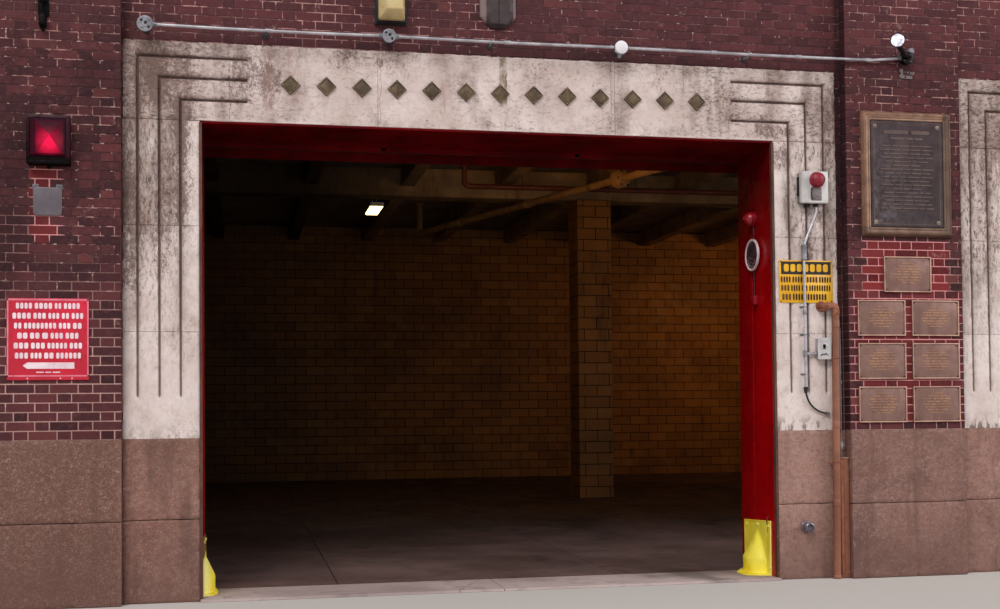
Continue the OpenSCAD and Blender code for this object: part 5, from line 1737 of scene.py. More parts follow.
def tile_wall(b, way, origin, U0, U1, z0, z1, phase=0.0):
    rects, corner = [], []
    k, z = 0, z0
    while z < z1 - 20:
        za, zb = z + TILE_J / 2, min(z + TILE_H, z1) - TILE_J / 2
        off = U0 + phase + (0.5 * TILE_W if k % 2 else 0.0)
        pts = [U0] + [off + i * TILE_W for i in range(-1, int((U1 - U0) / TILE_W) + 2) if U0 + 30 < off + i * TILE_W < U1 - 30] + [U1]
        for a, c in zip(pts, pts[1:]):
            rects.append((a + TILE_J / 2, c - TILE_J / 2, za, zb))
            corner.append((False, False))
        z += TILE_H
        k += 1
    put_bricks(b, way, origin, np.array(rects), np.array(corner), brick_tints(len(rects)), 0)


b = Builder()
for s in (-1, 1):
    xf = s * (INNER_X - 25)
    lo, hi = sorted((s * INNER_X, xf + s * 6))
    cells(b, [lo, hi], [FRONT_T, REAR_Y - 27], [SLAB, CEILING_Z], lambda i, j, k: True, 1)
    if s < 0:
        tile_wall(b, 3, (xf, 0, 0), FRONT_T, REAR_Y - 27, SLAB, CEILING_Z)
    else:
        tile_wall(b, 2, (xf, 0, 0), -(REAR_Y - 27), -FRONT_T, SLAB, CEILING_Z)
cells(b, [-INNER_X, INNER_X], [REAR_Y - 19, REAR_Y], [SLAB, CEILING_Z], lambda i, j, k: True, 1)
tile_wall(b, 0, (0, REAR_Y - 25, 0), -INNER_X + 26, INNER_X - 26, SLAB, CEILING_Z, 90.0)
piece("hall_wall_tiles", b, [M["tile"], M["grout"]], "wall_tiling", atlas=True)

b = Builder()
c0, c1 = -280.0, 280.0
cy0, cy1, ctop = 9720.0, 10280.0, 4800.0
cells(b, [c0 + 6, c1 - 6], [cy0 + 6, cy1 - 6], [SLAB, ctop], lambda i, j, k: True, 1)
tile_wall(b, 0, (0, cy0, 0), c0, c1, SLAB, ctop, 100.0)
tile_wall(b, 1, (0, cy1, 0), c0, c1, SLAB, ctop, 100.0)
tile_wall(b, 2, (c0, 0, 0), -cy1, -cy0, SLAB, ctop, 60.0)
tile_wall(b, 3, (c1, 0, 0), cy0, cy1, SLAB, ctop, 60.0)
for sx in (-1, 1):
    for y in (cy0, cy1):
        tube(b, [(sx * 277, y + (3 if y == cy0 else -3), SLAB), (sx * 277, y + (3 if y == cy0 else -3), ctop)], 3.0, 8, 0, (0.3, 0, 0.5))
piece("column_tiles", b, [M["tile"], M["grout"]], "tiled_column", atlas=True)


# ---------------------------------------------------------------- under the ceiling of the hall
def finish_node(name, mat):
    """Gives a CAD node whose shape is right its material."""
    me = NODES[name].data
    me.materials.clear()
    me.materials.append(mat)
    for p in me.polygons:
        p.material_index = 0


finish_node("second_floor", M["slab"])
finish_node("third_floor", M["slab"])
finish_node("front_window_glass", M["glass"])
finish_node("rear_window_glass", M["glass"])

# girder and joists, with their arrises taken off and two rows of bolt heads under the girder
b = Builder()
rbox(b, (-INNER_X + 26, 9800, 4800), (INNER_X - 26, 10200, 5249), 14, 1, 0)
for i in range(-4, 5):
    rbox(b, (i * 1500 - 110, 562, 4950), (i * 1500 + 110, 9797, 5249), 12, 1, 0, (0.1 * (i + 4), 0, 0.5))
    rbox(b, (i * 1500 - 110, 10203, 4950), (i * 1500 + 110, 16333, 5249), 12, 1, 0, (0.1 * (i + 4), 0, 0.5))
for x in steps(-6400, 6400, 800):
    for y in (9860, 10140):
        bolt(b, (x, y, 4801), (0, 0, -1), 16, 0, 12)
piece("ceiling_beam_set", b, [M["beam"]], "ceiling_beams", sharp=35)


def hanger(b, x, y, z, r, d, mat):
    """Rod from the ceiling to a ring round a pipe that runs along d."""
    tube(b, [(x, y, z + r + 4), (x, y, CEILING_Z)], 6, 8, mat)
    u = Vector((-d[1], d[0], 0))
    ring = [Vector((x, y, z)) + u * ((r + 4) * math.cos(a)) + Vector((0, 0, (r + 4) * math.sin(a))) for a in np.linspace(0, 2 * math.pi, 25)]
    tube(b, ring, 5, 6, mat, caps=False)
    lathe(b, [(0, 0), (0, 34), (6, 34), (8, 10), (8, 0)], (x, y, CEILING_Z - 8), (0, 0, 1), 12, mat)


def long_pipe(b, p, q, z, r, mat, couplings, hangers, hang_mat):
    P, Q = Vector((p[0], p[1], z)), Vector((q[0], q[1], z))
    d = (Q - P).normalized()
    tube(b, bend_path([(p[0], p[1], CEILING_Z), P, Q, (q[0], q[1], CEILING_Z)], 2.4 * r, 6), r, 20, mat)
    for c in couplings:
        o = P.lerp(Q, c)
        lathe(b, [(-0.9 * r, r), (-0.85 * r, 1.16 * r), (-0.55 * r, 1.22 * r), (0.55 * r, 1.22 * r), (0.85 * r, 1.16 * r), (0.9 * r, r)], o, d, 20, mat)
    for end in (p, q):
        lathe(b, [(0, r), (0, 1.9 * r), (12, 1.9 * r), (14, 1.2 * r), (14, r)], (end[0], end[1], CEILING_Z - 15), (0, 0, 1), 20, mat)
    n = hangers
    for i in range(n):
        o = P.lerp(Q, (i + 0.5) / n)
        hanger(b, o.x, o.y, z, r, (d.x, d.y), hang_mat)


b = Builder()
long_pipe(b, (1260, 2800), (-2330, 13250), 4700, 55, 0, (0.18, 0.66, 0.86), 5, 2)
ax = Vector((-3590, 10450, 0)).normalized()
lathe(b, [(-130, 55), (-128, 92), (-104, 95), (-100, 116), (-66, 122), (-60, 130), (-14, 130), (-10, 122), (10, 122), (14, 130), (60, 130),
          (66, 122), (100, 116), (104, 95), (128, 92), (130, 55)], (-293, 7320, 4700), ax, 28, 0)
for k in range(6):
    a = math.pi * k / 3
    o = Vector((-293, 7320, 4700)) + Vector((-ax.y, ax.x, 0)) * (112 * math.cos(a)) + Vector((0, 0, 112 * math.sin(a)))
    bolt(b, o - ax * 104, -ax, 12, 2, 14)
long_pipe(b, (-2250, 8950), (6750, 8950), 4830, 40, 1, (0.25, 0.5, 0.75), 5, 2)
long_pipe(b, (3750, 2700), (3750, 8600), 4690, 70, 0, (0.3, 0.7), 3, 2)
piece("ceiling_pipe_runs", b, [M["pipe_tan"], M["pipe_red"], M["black"]], "ceiling_pipes", sharp=40)

b = Builder()
for x, y in ((-3400, 11000), (3700, 11400), (2250, 5200), (-3700, 5200)):
    # folded tray, end caps, and the glowing cover below
    bm = bmesh.new()
    prof = [(-110, 4762), (-110, 4784), (-86, 4820), (86, 4820), (110, 4784), (110, 4762), (103, 4762), (103, 4778), (-103, 4778), (-103, 4762)]
    v0 = [bm.verts.new((x + u, y - 446, z)) for u, z in prof]
    v1 = [bm.verts.new((x + u, y + 446, z)) for u, z in prof]
    for i in range(len(prof)):
        j = (i + 1) % len(prof)
        bm.faces.new((v0[i], v0[j], v1[j], v1[i]))
    bm.faces.new(v0[::-1])
    bm.faces.new(v1)
    bmesh.ops.recalc_face_normals(bm, faces=bm.faces)
    bm.verts.index_update()
    bm_part(b, bm, 0)
    for yy in (y - 450, y + 442):
        rbox(b, (x - 108, yy, 4752), (x + 108, yy + 8, 4816), 2, 1, 0)
    rbox(b, (x - 100, y - 440, 4741), (x + 100, y + 440, 4780), 14, 2, 1)
    for d in (-350, 350):
        tube(b, [(x, y + d, 4818), (x, y + d, CEILING_Z)], 8, 8, 0)
        lathe(b, [(0, 0), (0, 40), (8, 40), (14, 12), (14, 0)], (x, y + d, CEILING_Z), (0, 0, -1), 16, 0)
piece("ceiling_light_set", b, [M["white"], M["lamp_on"]], "ceiling_lights", sharp=40)


# ---------------------------------------------------------------- windows
def sash_window(b, x, z, y_out, way_in):
    """Double-hung window. y_out is the outer face, and way_in is +1 where depth runs along +y."""
    def box(x0, x1, d0, d1, z0, z1, r=4, seg=2, mat=0):
        ya, yb = sorted((y_out + way_in * d0, y_out + way_in * d1))
        rbox(b, (x0, ya, z0), (x1, yb, z1), r, seg, mat)
    w, h = WIN_W / 2, WIN_H
    xa, xb = x - w, x + w
    for s in (-1, 1):
        lo, hi = sorted((x + s * w, x + s * (w - 40)))
        box(lo, hi, 0, 90, z, z + h)
        lo, hi = sorted((x + s * (w - 38), x + s * (w - 54)))
        box(lo, hi, 8, 26, z + 40, z + h - 38, 3, 1)      # parting bead
    box(xa + 39, xb - 39, 0, 90, z + h - 42, z + h)
    box(xa + 39, xb - 39, 0, 90, z, z + 40)
    mid = z + h / 2
    for z0, z1, d0, d1, bottom, top in ((mid - 22, z + h - 40, 26, 58, 44, 46), (z + 38, mid + 22, 32, 70, 62, 44)):
        for s in (-1, 1):
            lo, hi = sorted((x + s * (w - 38), x + s * (w - 80)))
            box(lo, hi, d0, d1, z0, z1, 3, 1)
        box(xa + 79, xb - 79, d0, d1, z0, z0 + bottom, 3, 1)
        box(xa + 79, xb - 79, d0, d1, z1 - top, z1, 3, 1)
        # glazing bead round the pane
        for s in (-1, 1):
            lo, hi = sorted((x + s * (w - 80), x + s * (w - 90)))
            box(lo, hi, d0 + 8, d1 - 6, z0 + bottom - 1, z1 - top + 1, 3, 1)
        box(xa + 88, xb - 88, d0 + 8, d1 - 6, z0 + bottom - 2, z0 + bottom + 8, 3, 1)
        box(xa + 88, xb - 88, d0 + 8, d1 - 6, z1 - top - 8, z1 - top + 2, 3, 1)
    # sash lifts and the catch
    for s in (-1, 1):
        bolt(b, (x + s * 260, y_out + way_in * 32, z + 68), (0, -way_in, 0), 9, 1, 8)
    box(x - 30, x + 30, 20, 27, mid - 8, mid + 8, 3, 1, 1)


b = Builder()
for s in (-1, 1):
    for dx in FRONT_WIN_X:
        for z in SILLS:
            sash_window(b, s * BAY_X + dx, z, 245.0, 1)
piece("front_sashes", b, [M["wood"], M["bronze"]], "front_window_frames", sharp=40)
b = Builder()
for x in REAR_WIN_X:
    for z in SILLS:
        sash_window(b, x, z, 16630.0, -1)
piece("rear_sashes", b, [M["wood"], M["bronze"]], "rear_window_frames", sharp=40)


def sill(b, x, z, y_wall, way_out, reach, y_frame):
    """Sloping stone sill: its nose stands out of the wall, its bed runs back to the frame."""
    w = WIN_W / 2
    for x0, x1, ya, yb, za, zb, low in ((x - w - 90, x + w + 90, y_wall + way_out * reach, y_wall - way_out * 0.5, z - 8, z - 1, z - 130),
                                        (x - w + 1, x + w - 1, y_wall, y_frame, z - 1, z + 9, z - 20)):
        bm = bmesh.new()
        prof = [(ya, low), (ya, za), (yb, zb), (yb, low)]
        v0 = [bm.verts.new((x0, y, q)) for y, q in prof]
        v1 = [bm.verts.new((x1, y, q)) for y, q in prof]
        for i in range(4):
            bm.faces.new((v0[i], v0[(i + 1) % 4], v1[(i + 1) % 4], v1[i]))
        bm.faces.new(v0[::-1])
        bm.faces.new(v1)
        bmesh.ops.recalc_face_normals(bm, faces=bm.faces)
        bmesh.ops.bevel(bm, geom=list(bm.edges), offset=4, segments=2, profile=0.5, affect="EDGES")
        bm.verts.index_update()
        bm_part(b, bm, 0)


b = Builder()
for s in (-1, 1):
    for dx in FRONT_WIN_X:
        for z in SILLS:
            x = s * BAY_X + dx
            sill(b, x, z, 115, -1, 50, 246)
            w = WIN_W / 2 + 120
            hz = z + WIN_H

            def head_depth(X, Z, x=x, hz=hz, w=w):
                d = np.minimum.reduce([X - (x - w), (x + w) - X, Z - hz, hz + 230 - Z])
                keyed = 3.5 * (1 - sstep(2.0, 5.0, np.abs(np.abs(X - x) - 130)))
                return 3 * np.clip(1 - d / 7, 0, 1) + 1.6 * fbm(X / 80, Z / 80, 5) + keyed
            relief(b, lines(x - w, x + w, 40, [x - 135, x - 130, x - 125, x + 125, x + 130, x + 135, x - w + 7, x + w - 7]),
                   lines(hz, hz + 230, 38, [hz + 7, hz + 223]), 99, 121, head_depth,
                   lambda X, Z, D: np.stack([np.clip(D / 9, 0, 0.6), D * 0, 0.25 * fbm(X / 300, Z / 200, 8)], -1), ragged=2.0, seed=int(z) % 97)
piece("front_window_stone_set", b, [M["stone"]], "front_window_stones", sharp=40)
b = Builder()
for x in REAR_WIN_X:
    for z in SILLS:
        sill(b, x, z, 16760, 1, 40, 16629)
        rbox(b, (x - WIN_W / 2 - 120, 16755, z + WIN_H), (x + WIN_W / 2 + 120, 16774, z + WIN_H + 230), 4, 2, 0)
piece("rear_window_stone_set", b, [M["stone"]], "rear_window_stones", sharp=40)

# ---------------------------------------------------------------- roof and copings
b = Builder()
rbox(b, (-INNER_X, FRONT_T, ROOF_Z - 250), (INNER_X, REAR_Y, ROOF_Z - 9), 0, 1, 2)
lap = 90.0
rows = steps(FRONT_T, REAR_Y, 1000)
for n, (ya, yb) in enumerate(zip(rows, rows[1:])):
    ye = min(yb + lap, REAR_Y)
    xs = steps(-INNER_X, INNER_X, 480)
    ys = [ya, ya + 30, ya + lap] + steps(ya + 200, ye - 160, 300) + [ye - 40, ye]
    ys = sorted(set(y for y in ys if ya <= y <= ye))
    X, Y = np.meshgrid(xs, ys)
    tw = np.clip((Y - ya) / (ye - ya), 0, 1)
    wave = 1.2 * fbm(X / 260.0, Y / 160.0, 60 + n, 3)
    Z = ROOF_Z - 8 + 5.0 * tw + wave
    edge_y = 5 * (fbm(X / 300.0, X * 0, 90 + n) - 0.5) * (np.abs(Y - ye) < 1)
    P = np.stack([X, np.minimum(Y + edge_y, REAR_Y), Z], -1)
    nz, nx = X.shape
    idx = np.arange(nz * nx).reshape(nz, nx)
    quads = np.stack([idx[:-1, :-1], idx[:-1, 1:], idx[1:, 1:], idx[1:, :-1]], -1).reshape(-1, 4)
    ring = np.concatenate([idx[0, :], idx[1:, -1], idx[-1, -2::-1], idx[-2:0:-1, 0]])
    k = len(ring)
    back = P.reshape(-1, 3)[ring].copy()
    back[:, 2] = ROOF_Z - 12
    nb = nz * nx + np.arange(k)
    nxt = np.roll(np.arange(k), -1)
    side = np.stack([nb, nb[nxt], ring[nxt], ring], -1)
    b.add(np.concatenate([P.reshape(-1, 3), back]), [list(q) for q in quads] + [list(q) for q in side] + [list(nb[::-1])], 0, (vnoise(n, 0.5, 3), 0, 0.5))
# upstands of the membrane on the parapets, with a metal bar along their top
for x0, x1, y0, y1 in ((-INNER_X, INNER_X, FRONT_T, FRONT_T + 7), (-INNER_X, INNER_X, REAR_Y - 7, REAR_Y),
                       (-INNER_X, -INNER_X + 7, FRONT_T + 7, REAR_Y - 7), (INNER_X - 7, INNER_X, FRONT_T + 7, REAR_Y - 7)):
    rbox(b, (x0, y0, ROOF_Z - 14), (x1, y1, ROOF_Z + 260), 2, 1, 0)
    if x1 - x0 > 100:
        ya, yb = (y0 + 2, y1 + 4) if y0 < 1000 else (y0 - 4, y1 - 2)
        rbox(b, (x0 + 12, ya, ROOF_Z + 226), (x1 - 12, yb, ROOF_Z + 258), 1.5, 1, 1)
        for x in steps(x0 + 200, x1 - 200, 600):
            bolt(b, (x, yb if y0 < 1000 else ya, ROOF_Z + 242), (0, 1 if y0 < 1000 else -1, 0), 7, 1, 5)
    else:
        xa, xb = (x0 + 2, x1 + 4) if x0 < 0 else (x0 - 4, x1 - 2)
        rbox(b, (xa, y0 + 12, ROOF_Z + 226), (xb, y1 - 12, ROOF_Z + 258), 1.5, 1, 1)
        for y in steps(y0 + 200, y1 - 200, 600):
            bolt(b, (xb if x0 < 0 else xa, y, ROOF_Z + 242), (1 if x0 < 0 else -1, 0, 0), 7, 1, 5)
piece("roof_membrane", b, [M["roof"], M["flash"], M["slab"]], "roof_deck", sharp=40)


def coping(b, x0, x1, y0, y1, along, seed):
    """One stone: weathered top, rounded edges, a drip groove under each overhang isn't seen."""
    xs = lines(x0, x1, 150, [x0 + 9, x1 - 9])
    ys = lines(y0, y1, 130, [y0 + 9, y1 - 9])
    X, Y = np.meshgrid(xs, ys)
    rim = np.minimum.reduce([X - x0, x1 - X, Y - y0, y1 - Y])
    u = ((Y - y0) / (y1 - y0)) if along == "x" else ((X - x0) / (x1 - x0))
    Z = WALL_TOP + COPING_H - 5 * np.clip(1 - rim / 9.0, 0, 1) - 14 * np.abs(u - 0.5) * 2 - 2.0 * fbm(X / 120.0, Y / 120.0, seed)
    P = np.stack([X, Y, Z], -1)
    nz, nx = X.shape
    idx = np.arange(nz * nx).reshape(nz, nx)
    quads = np.stack([idx[:-1, :-1], idx[:-1, 1:], idx[1:, 1:], idx[1:, :-1]], -1).reshape(-1, 4)
    ring = np.concatenate([idx[0, :], idx[1:, -1], idx[-1, -2::-1], idx[-2:0:-1, 0]])
    k = len(ring)
    back = P.reshape(-1, 3)[ring].copy()
    back[:, 2] = WALL_TOP
    nb = nz * nx + np.arange(k)
    nxt = np.roll(np.arange(k), -1)
    side = np.stack([nb, nb[nxt], ring[nxt], ring], -1)
    grime = np.concatenate([0.35 * fbm(X / 500, Y / 500, seed + 2).ravel(), np.full(k, 0.45)])
    wear = np.stack([grime * 0, grime * 0, grime], -1)
    b.add(np.concatenate([P.reshape(-1, 3), back]), [list(q) for q in quads] + [list(q) for q in side] + [list(nb[::-1])], 0, (0.5, 0, 0.5), -1, wear)


def coping_run(b, lo, hi, n, along, a0, a1, seed):
    w = (hi - lo) / n
    for i in range(n):
        p, q = lo + w * i + (3 if i else 0), lo + w * (i + 1) - (3 if i < n - 1 else 0)
        if along == "x":
            coping(b, p, q, a0, a1, "x", seed + i)
        else:
            coping(b, a0, a1, p, q, "y", seed + i)
    # mortar in the joints
    for i in range(1, n):
        c = lo + w * i
        if along == "x":
            rbox(b, (c - 5, a0 + 8, WALL_TOP), (c + 5, a1 - 8, WALL_TOP + COPING_H - 22), 0, 1, 1)
        else:
            rbox(b, (a0 + 8, c - 5, WALL_TOP), (a1 - 8, c + 5, WALL_TOP + COPING_H - 22), 0, 1, 1)


for name, node, runs in (("front_coping_stones", "front_coping", [(-HALF_W, HALF_W, 12, "x", -40, FRONT_T + 40)]),
                         ("side_coping_stones", "side_copings", [(FRONT_T + 40, REAR_Y - 40, 12, "y", -HALF_W, -INNER_X + 40),
                                                                 (FRONT_T + 40, REAR_Y - 40, 12, "y", INNER_X - 40, HALF_W)]),
                         ("rear_coping_stones", "rear_coping", [(-HALF_W, HALF_W, 12, "x", REAR_Y - 40, BUILDING_D)])):
    b = Builder()
    for n, r in enumerate(runs):
        coping_run(b, *r, 20 * n + 5)
    piece(name, b, [M["stone"], M["mortar"]], node, sharp=40)


# ---------------------------------------------------------------- fittings on the front
def clip_to(b, x, y, z, r, wall_y, mat, dark):
    """Strap round the conduit, its spacer back to the wall and the foot of the spacer."""
    pts = [(x, y + (r + 3) * math.sin(a), z + (r + 3) * math.cos(a)) for a in np.linspace(0, 2 * math.pi, 19)]
    tube(b, pts, 4, 6, mat, caps=False)
    rbox(b, (x - 9, y - 4, z - r - 26), (x + 9, y + 4, z - r - 1), 2, 1, dark)
    tube(b, [(x, y + r, z), (x, wall_y, z)], 8, 10, mat)
    lathe(b, [(0, 0), (0, 27), (5, 27), (7, 12), (7, 0)], (x, wall_y, z), (0, -1, 0), 16, dark)


def conduit_box(b, x, z, r, mat, dark, hubs=(-1, 1)):
    """Round cast box: ribbed wall, screwed lid with lugs, a hub each side for the conduit."""
    c = (x, 0, z)
    lathe(b, [(0, 0), (0, r * 0.80), (3, r * 0.86), (10, r * 0.88), (34, r * 0.88), (36, r * 0.97), (46, r), (50, r * 0.97), (51, r * 0.80),
              (48.5, r * 0.76), (48.5, r * 0.40), (53, r * 0.34), (54, 0)], c, (0, -1, 0), 32, mat)
    for s in hubs:
        lathe(b, [(r * 0.7, 22), (r + 10, 22), (r + 12, 19), (r + 24, 19), (r + 26, 15)], (x, -26, z), (s, 0, 0), 16, mat)
    for k in range(4):
        a = math.pi / 4 + k * math.pi / 2
        o = (x + r * 0.60 * math.cos(a), -48.5, z + r * 0.60 * math.sin(a))
        bolt(b, o, (0, -1, 0), 7.5, dark if k % 2 else mat, 6.5)
    # raised bars across the lid
    for a in (0.0, math.pi / 2):
        m = Matrix.Translation((x, 0, z)) @ Matrix.Rotation(a + 0.35, 4, "Y")
        rbox(b, (-r * 0.62, -53, -4), (r * 0.62, -47, 4), 2, 1, mat, matrix=m)
    # ears at the back for the wall screws
    for a in (1.35, -1.8) if len(hubs) == 1 else (0.9, -2.3):
        m = Matrix.Translation((x, 0, z)) @ Matrix.Rotation(a, 4, "Y")
        rbox(b, (r * 0.7, -8, -12), (r * 1.22, 0, 12), 4, 2, dark, matrix=m)
    bolt(b, (x + 4, -53, z + 6), (0, -1, 0), 10, dark, 3)


b = Builder()
Z_C, Y_C = 4400.0, -30.0
runs = [(-6286 + 62, -4429 - 55), (-4429 + 55, -2525 - 55), (-2525 + 55, -330)]
Z_F = Z_C + 30.0
for n, (xa, xb) in enumerate(runs):
    pts = []
    for x in steps(xa, xb, 300):
        t = (x - xa) / (xb - xa)
        pts.append((x, Y_C + 1.5 * (vnoise(x / 500, 0.5, 3) - 0.5), Z_C - 6.0 * math.sin(math.pi * t) * (1 if n < 2 else 0.4) + 3 * (vnoise(x / 700, 1.5, 8) - 0.5)))
    pts[0], pts[-1] = (xa, Y_C, Z_C), (xb, Y_C, Z_C)
    tube(b, pts, 12.5, 14, 0)
    for t in (0.5,) if n < 2 else (0.35, 0.7):
        x = xa + (xb - xa) * t
        lathe(b, [(-28, 12), (-26, 16.5), (-4, 17), (-3, 16), (3, 16), (4, 17), (26, 16.5), (28, 12)], (x, Y_C, Z_C - 5 * math.sin(math.pi * t) * (1 if n < 2 else 0.4)), (1, 0, 0), 16, 0)
# swan neck up into the box of the lamp
tube(b, bend_path([(-334, Y_C, Z_C), (-300, Y_C, Z_C), (-70, Y_C, Z_F - 6), (-26, Y_C, Z_F)], 60, 5), 12.5, 14, 0)
lathe(b, [(-26, 12), (-24, 16.5), (-3, 17), (3, 17), (24, 16.5), (26, 12)], (-330, Y_C, Z_C), (1, 0, 0.02), 16, 0)
conduit_box(b, -6286, Z_C, 62, 1, 2, hubs=(1,))
conduit_box(b, -4429, Z_C, 55, 1, 2)
# white round lamp on the third box, with a small hub under it
lathe(b, [(0, 0), (0, 46), (4, 50), (28, 50), (32, 55), (44, 55), (50, 52), (54, 40), (56, 20), (56, 0)], (-2525, 0, Z_C), (0, -1, 0), 32, 3)
lathe(b, [(44, 20), (60, 20), (66, 17), (84, 16), (86, 9), (88, 0)], (-2525, -20, Z_C), (-0.2, 0, -1), 16, 1)
lathe(b, [(48, 19), (62, 19), (64, 14)], (-2525, -26, Z_C), (1, 0, 0), 14, 1)
lathe(b, [(48, 19), (62, 19), (64, 14)], (-2525, -26, Z_C), (-1, 0, 0), 14, 1)
for x in (-6286, -4429, -2525):
    tube(b, [(x, -2, Z_C), (x, 114, Z_C)], 15, 12, 1)
    lathe(b, [(0, 0), (0, 30), (6, 30), (8, 16), (8, 0)], (x, 115, Z_C), (0, -1, 0), 16, 2)
for x in (-5383, -3593, -1400):
    clip_to(b, x, Y_C, Z_C - 3, 13, 115, 0, 2)
piece("conduit_run", b, [M["galv"], M["galv_dull"], M["black"], M["white"]], "front_conduit", sharp=40)

# floodlight on its round box
b = Builder()
lathe(b, [(0, 0), (0, 50), (4, 53), (40, 53), (44, 55), (56, 55), (60, 50), (62, 36), (62, 0)], (24, 0, Z_F), (0, -1, 0), 32, 0)
for a in (0.6, 2.2, 3.8, 5.3):
    bolt(b, (24 + 42 * math.cos(a), -57.5, Z_F + 42 * math.sin(a)), (0, -1, 0), 6, 1, 6)
lathe(b, [(0, 20), (10, 20), (12, 17), (34, 17)], (24 - 46, -30, Z_F), (-1, 0, 0), 16, 1)
tube(b, bend_path([(24, -60, Z_F + 4), (16, -104, Z_F + 6), (-14, -104, Z_F + 8)], 30, 5), 19, 14, 0)
lathe(b, [(-6, 22), (-2, 25), (10, 25), (14, 20)], (20, -80, Z_F + 5), Vector((-0.15, -1, 0.02)), 18, 0)
# pale cap over the swivel, and a small lead that loops up to the lamp
lathe(b, [(-14, 18), (-6, 28), (8, 30), (20, 27), (30, 18), (35, 0)], (46, -64, Z_F + 46), Vector((0.25, -0.2, 1)), 24, 1)
tube(b, bend_path([(-60, -34, Z_F + 12), (-52, -56, Z_F + 30), (-62, -74, Z_F + 58), (-74, -88, Z_F + 78)], 26, 5), 5, 10, 1)
hold = Vector((-math.sin(math.radians(40)), 0, math.cos(math.radians(40))))
lathe(b, [(-8, 14), (0, 19), (10, 21), (30, 21), (34, 25), (42, 25), (46, 21), (52, 24), (60, 24), (64, 21), (112, 19), (118, 10)],
      (-14, -100, Z_F - 2), hold, 24, 0)
ax = Vector((-0.40, -0.90, -0.17)).normalized()
cl = Vector((-107, -105, 4549))
lathe(b, [(0, 0), (2, 26), (10, 36), (22, 42), (24, 46), (32, 46), (34, 44), (58, 50), (88, 56), (104, 59.5), (118, 60), (119.5, 58), (119, 55), (104, 53), (100, 0)], cl, ax, 36, 0)
for a in np.linspace(0, 2 * math.pi, 9)[:-1]:
    # cooling ribs along the shell
    side_ = ax.orthogonal().normalized()
    up_ = ax.cross(side_)
    q = side_ * math.cos(a) + up_ * math.sin(a)
    tube(b, [tuple(cl + ax * 30 + q * 43), tuple(cl + ax * 96 + q * 56)], 3, 6, 0)
lathe(b, [(102, 0), (102, 54.5), (112, 54.5), (116, 48), (114, 42), (117, 36), (115, 29), (118, 23), (116, 16), (119, 9), (119.5, 0)], cl, ax, 36, 2)
# bent straps left on the pier below it
for x0, x1, z0, z1, t, a in ((-14, 92, 4262, 4290, 5, 0.04), (40, 112, 4300, 4322, 5, 0.16), (-26, 6, 4270, 4345, 4, 0.02)):
    m = Matrix.Translation(((x0 + x1) / 2, 0, (z0 + z1) / 2)) @ Matrix.Rotation(a, 4, "Y")
    rbox(b, (-(x1 - x0) / 2, -t, -(z1 - z0) / 2), ((x1 - x0) / 2, 1, (z1 - z0) / 2), 1.5, 1, 3, matrix=m)
    bolt(b, ((x0 + x1) / 2 - 12, -t, (z0 + z1) / 2), (0, -1, 0), 6, 0, 5)
piece("floodlight_head", b, [M["black_glossy"], M["galv_dull"], M["flood_lens"], M["grey_mid"]], "floodlight", sharp=40)

# cream wall lamp on a black back plate
b = Builder()
rbox(b, (-4530, 92, 4528), (-4266, 115, 4900), 5, 2, 1)
rbox(b, (-4520, 55, 4534), (-4276, 94, 4894), 10, 2, 1)


def loop(bm, x0, x1, z0, z1, y, r, n=5):
    out = []
    for cx_, cz, a0 in ((x1 - r, z1 - r, 0), (x0 + r, z1 - r, 90), (x0 + r, z0 + r, 180), (x1 - r, z0 + r, 270)):
        for i in range(n + 1):
            a = math.radians(a0 + 90 * i / n)
            out.append(bm.verts.new((cx_ + r * math.cos(a), y, cz + r * math.sin(a))))
    return out


def loft(b, rings, mat=0, tint=(0.5, 0, 0.5), n=5):
    """Rounded rectangles (x0, x1, z0, z1, y, radius) joined one after the other, closed at both ends."""
    bm = bmesh.new()
    loops = [loop(bm, *r, n=n) for r in rings]
    for p, q in zip(loops, loops[1:]):
        k = len(p)
        for i in range(k):
            bm.faces.new((p[i], p[(i + 1) % k], q[(i + 1) % k], q[i]))
    bm.faces.new(loops[0])
    bm.faces.new(loops[-1][::-1])
    bmesh.ops.recalc_face_normals(bm, faces=bm.faces)
    bm.verts.index_update()
    bm_part(b, bm, mat, tint)


loft(b, [(-4504, -4296, 4546, 4880, 55, 16), (-4504, -4296, 4546, 4880, 6, 16), (-4500, -4299, 4550, 4877, -2, 14),
         (-4452, -4316, 4606, 4856, -52, 9), (-4447, -4319, 4612, 4852, -58, 7), (-4440, -4326, 4618, 4846, -60, 5)], 0)
# band that holds the glass, and its screws
loft(b, [(-4510, -4290, 4540, 4886, 57, 18), (-4510, -4290, 4540, 4886, 42, 18), (-4504, -4296, 4546, 4880, 38, 16)], 1)
for z in (4556, 4872):
    for x in (-4486, -4314):
        bolt(b, (x, 44, z), (0, -1, 0), 5, 1, 5)
piece("wall_lamp_body", b, [M["cream"], M["black"]], "wall_lamp", sharp=38)

# fluted shield
b = Builder()
SX, SZ = -3523.0, 4546.0
prof = [(-150, 4), (-149, 10), (-146, 18), (-122, 34), (-98, 47), (-92, 50), (-60, 53), (-30, 55), (-8, 56), (-4, 50), (0, 49), (4, 50), (8, 56), (34, 58), (64, 57),
        (94, 54), (100, 52), (122, 38), (146, 18), (149, 10), (150, 4)]


def half_width(z):
    if z < 90:
        t = z / 90.0
        return 62 + 88 * (t ** 0.85)
    if z > 400:
        return 150 - 50 * (z - 400) / 50.0
    return 150.0


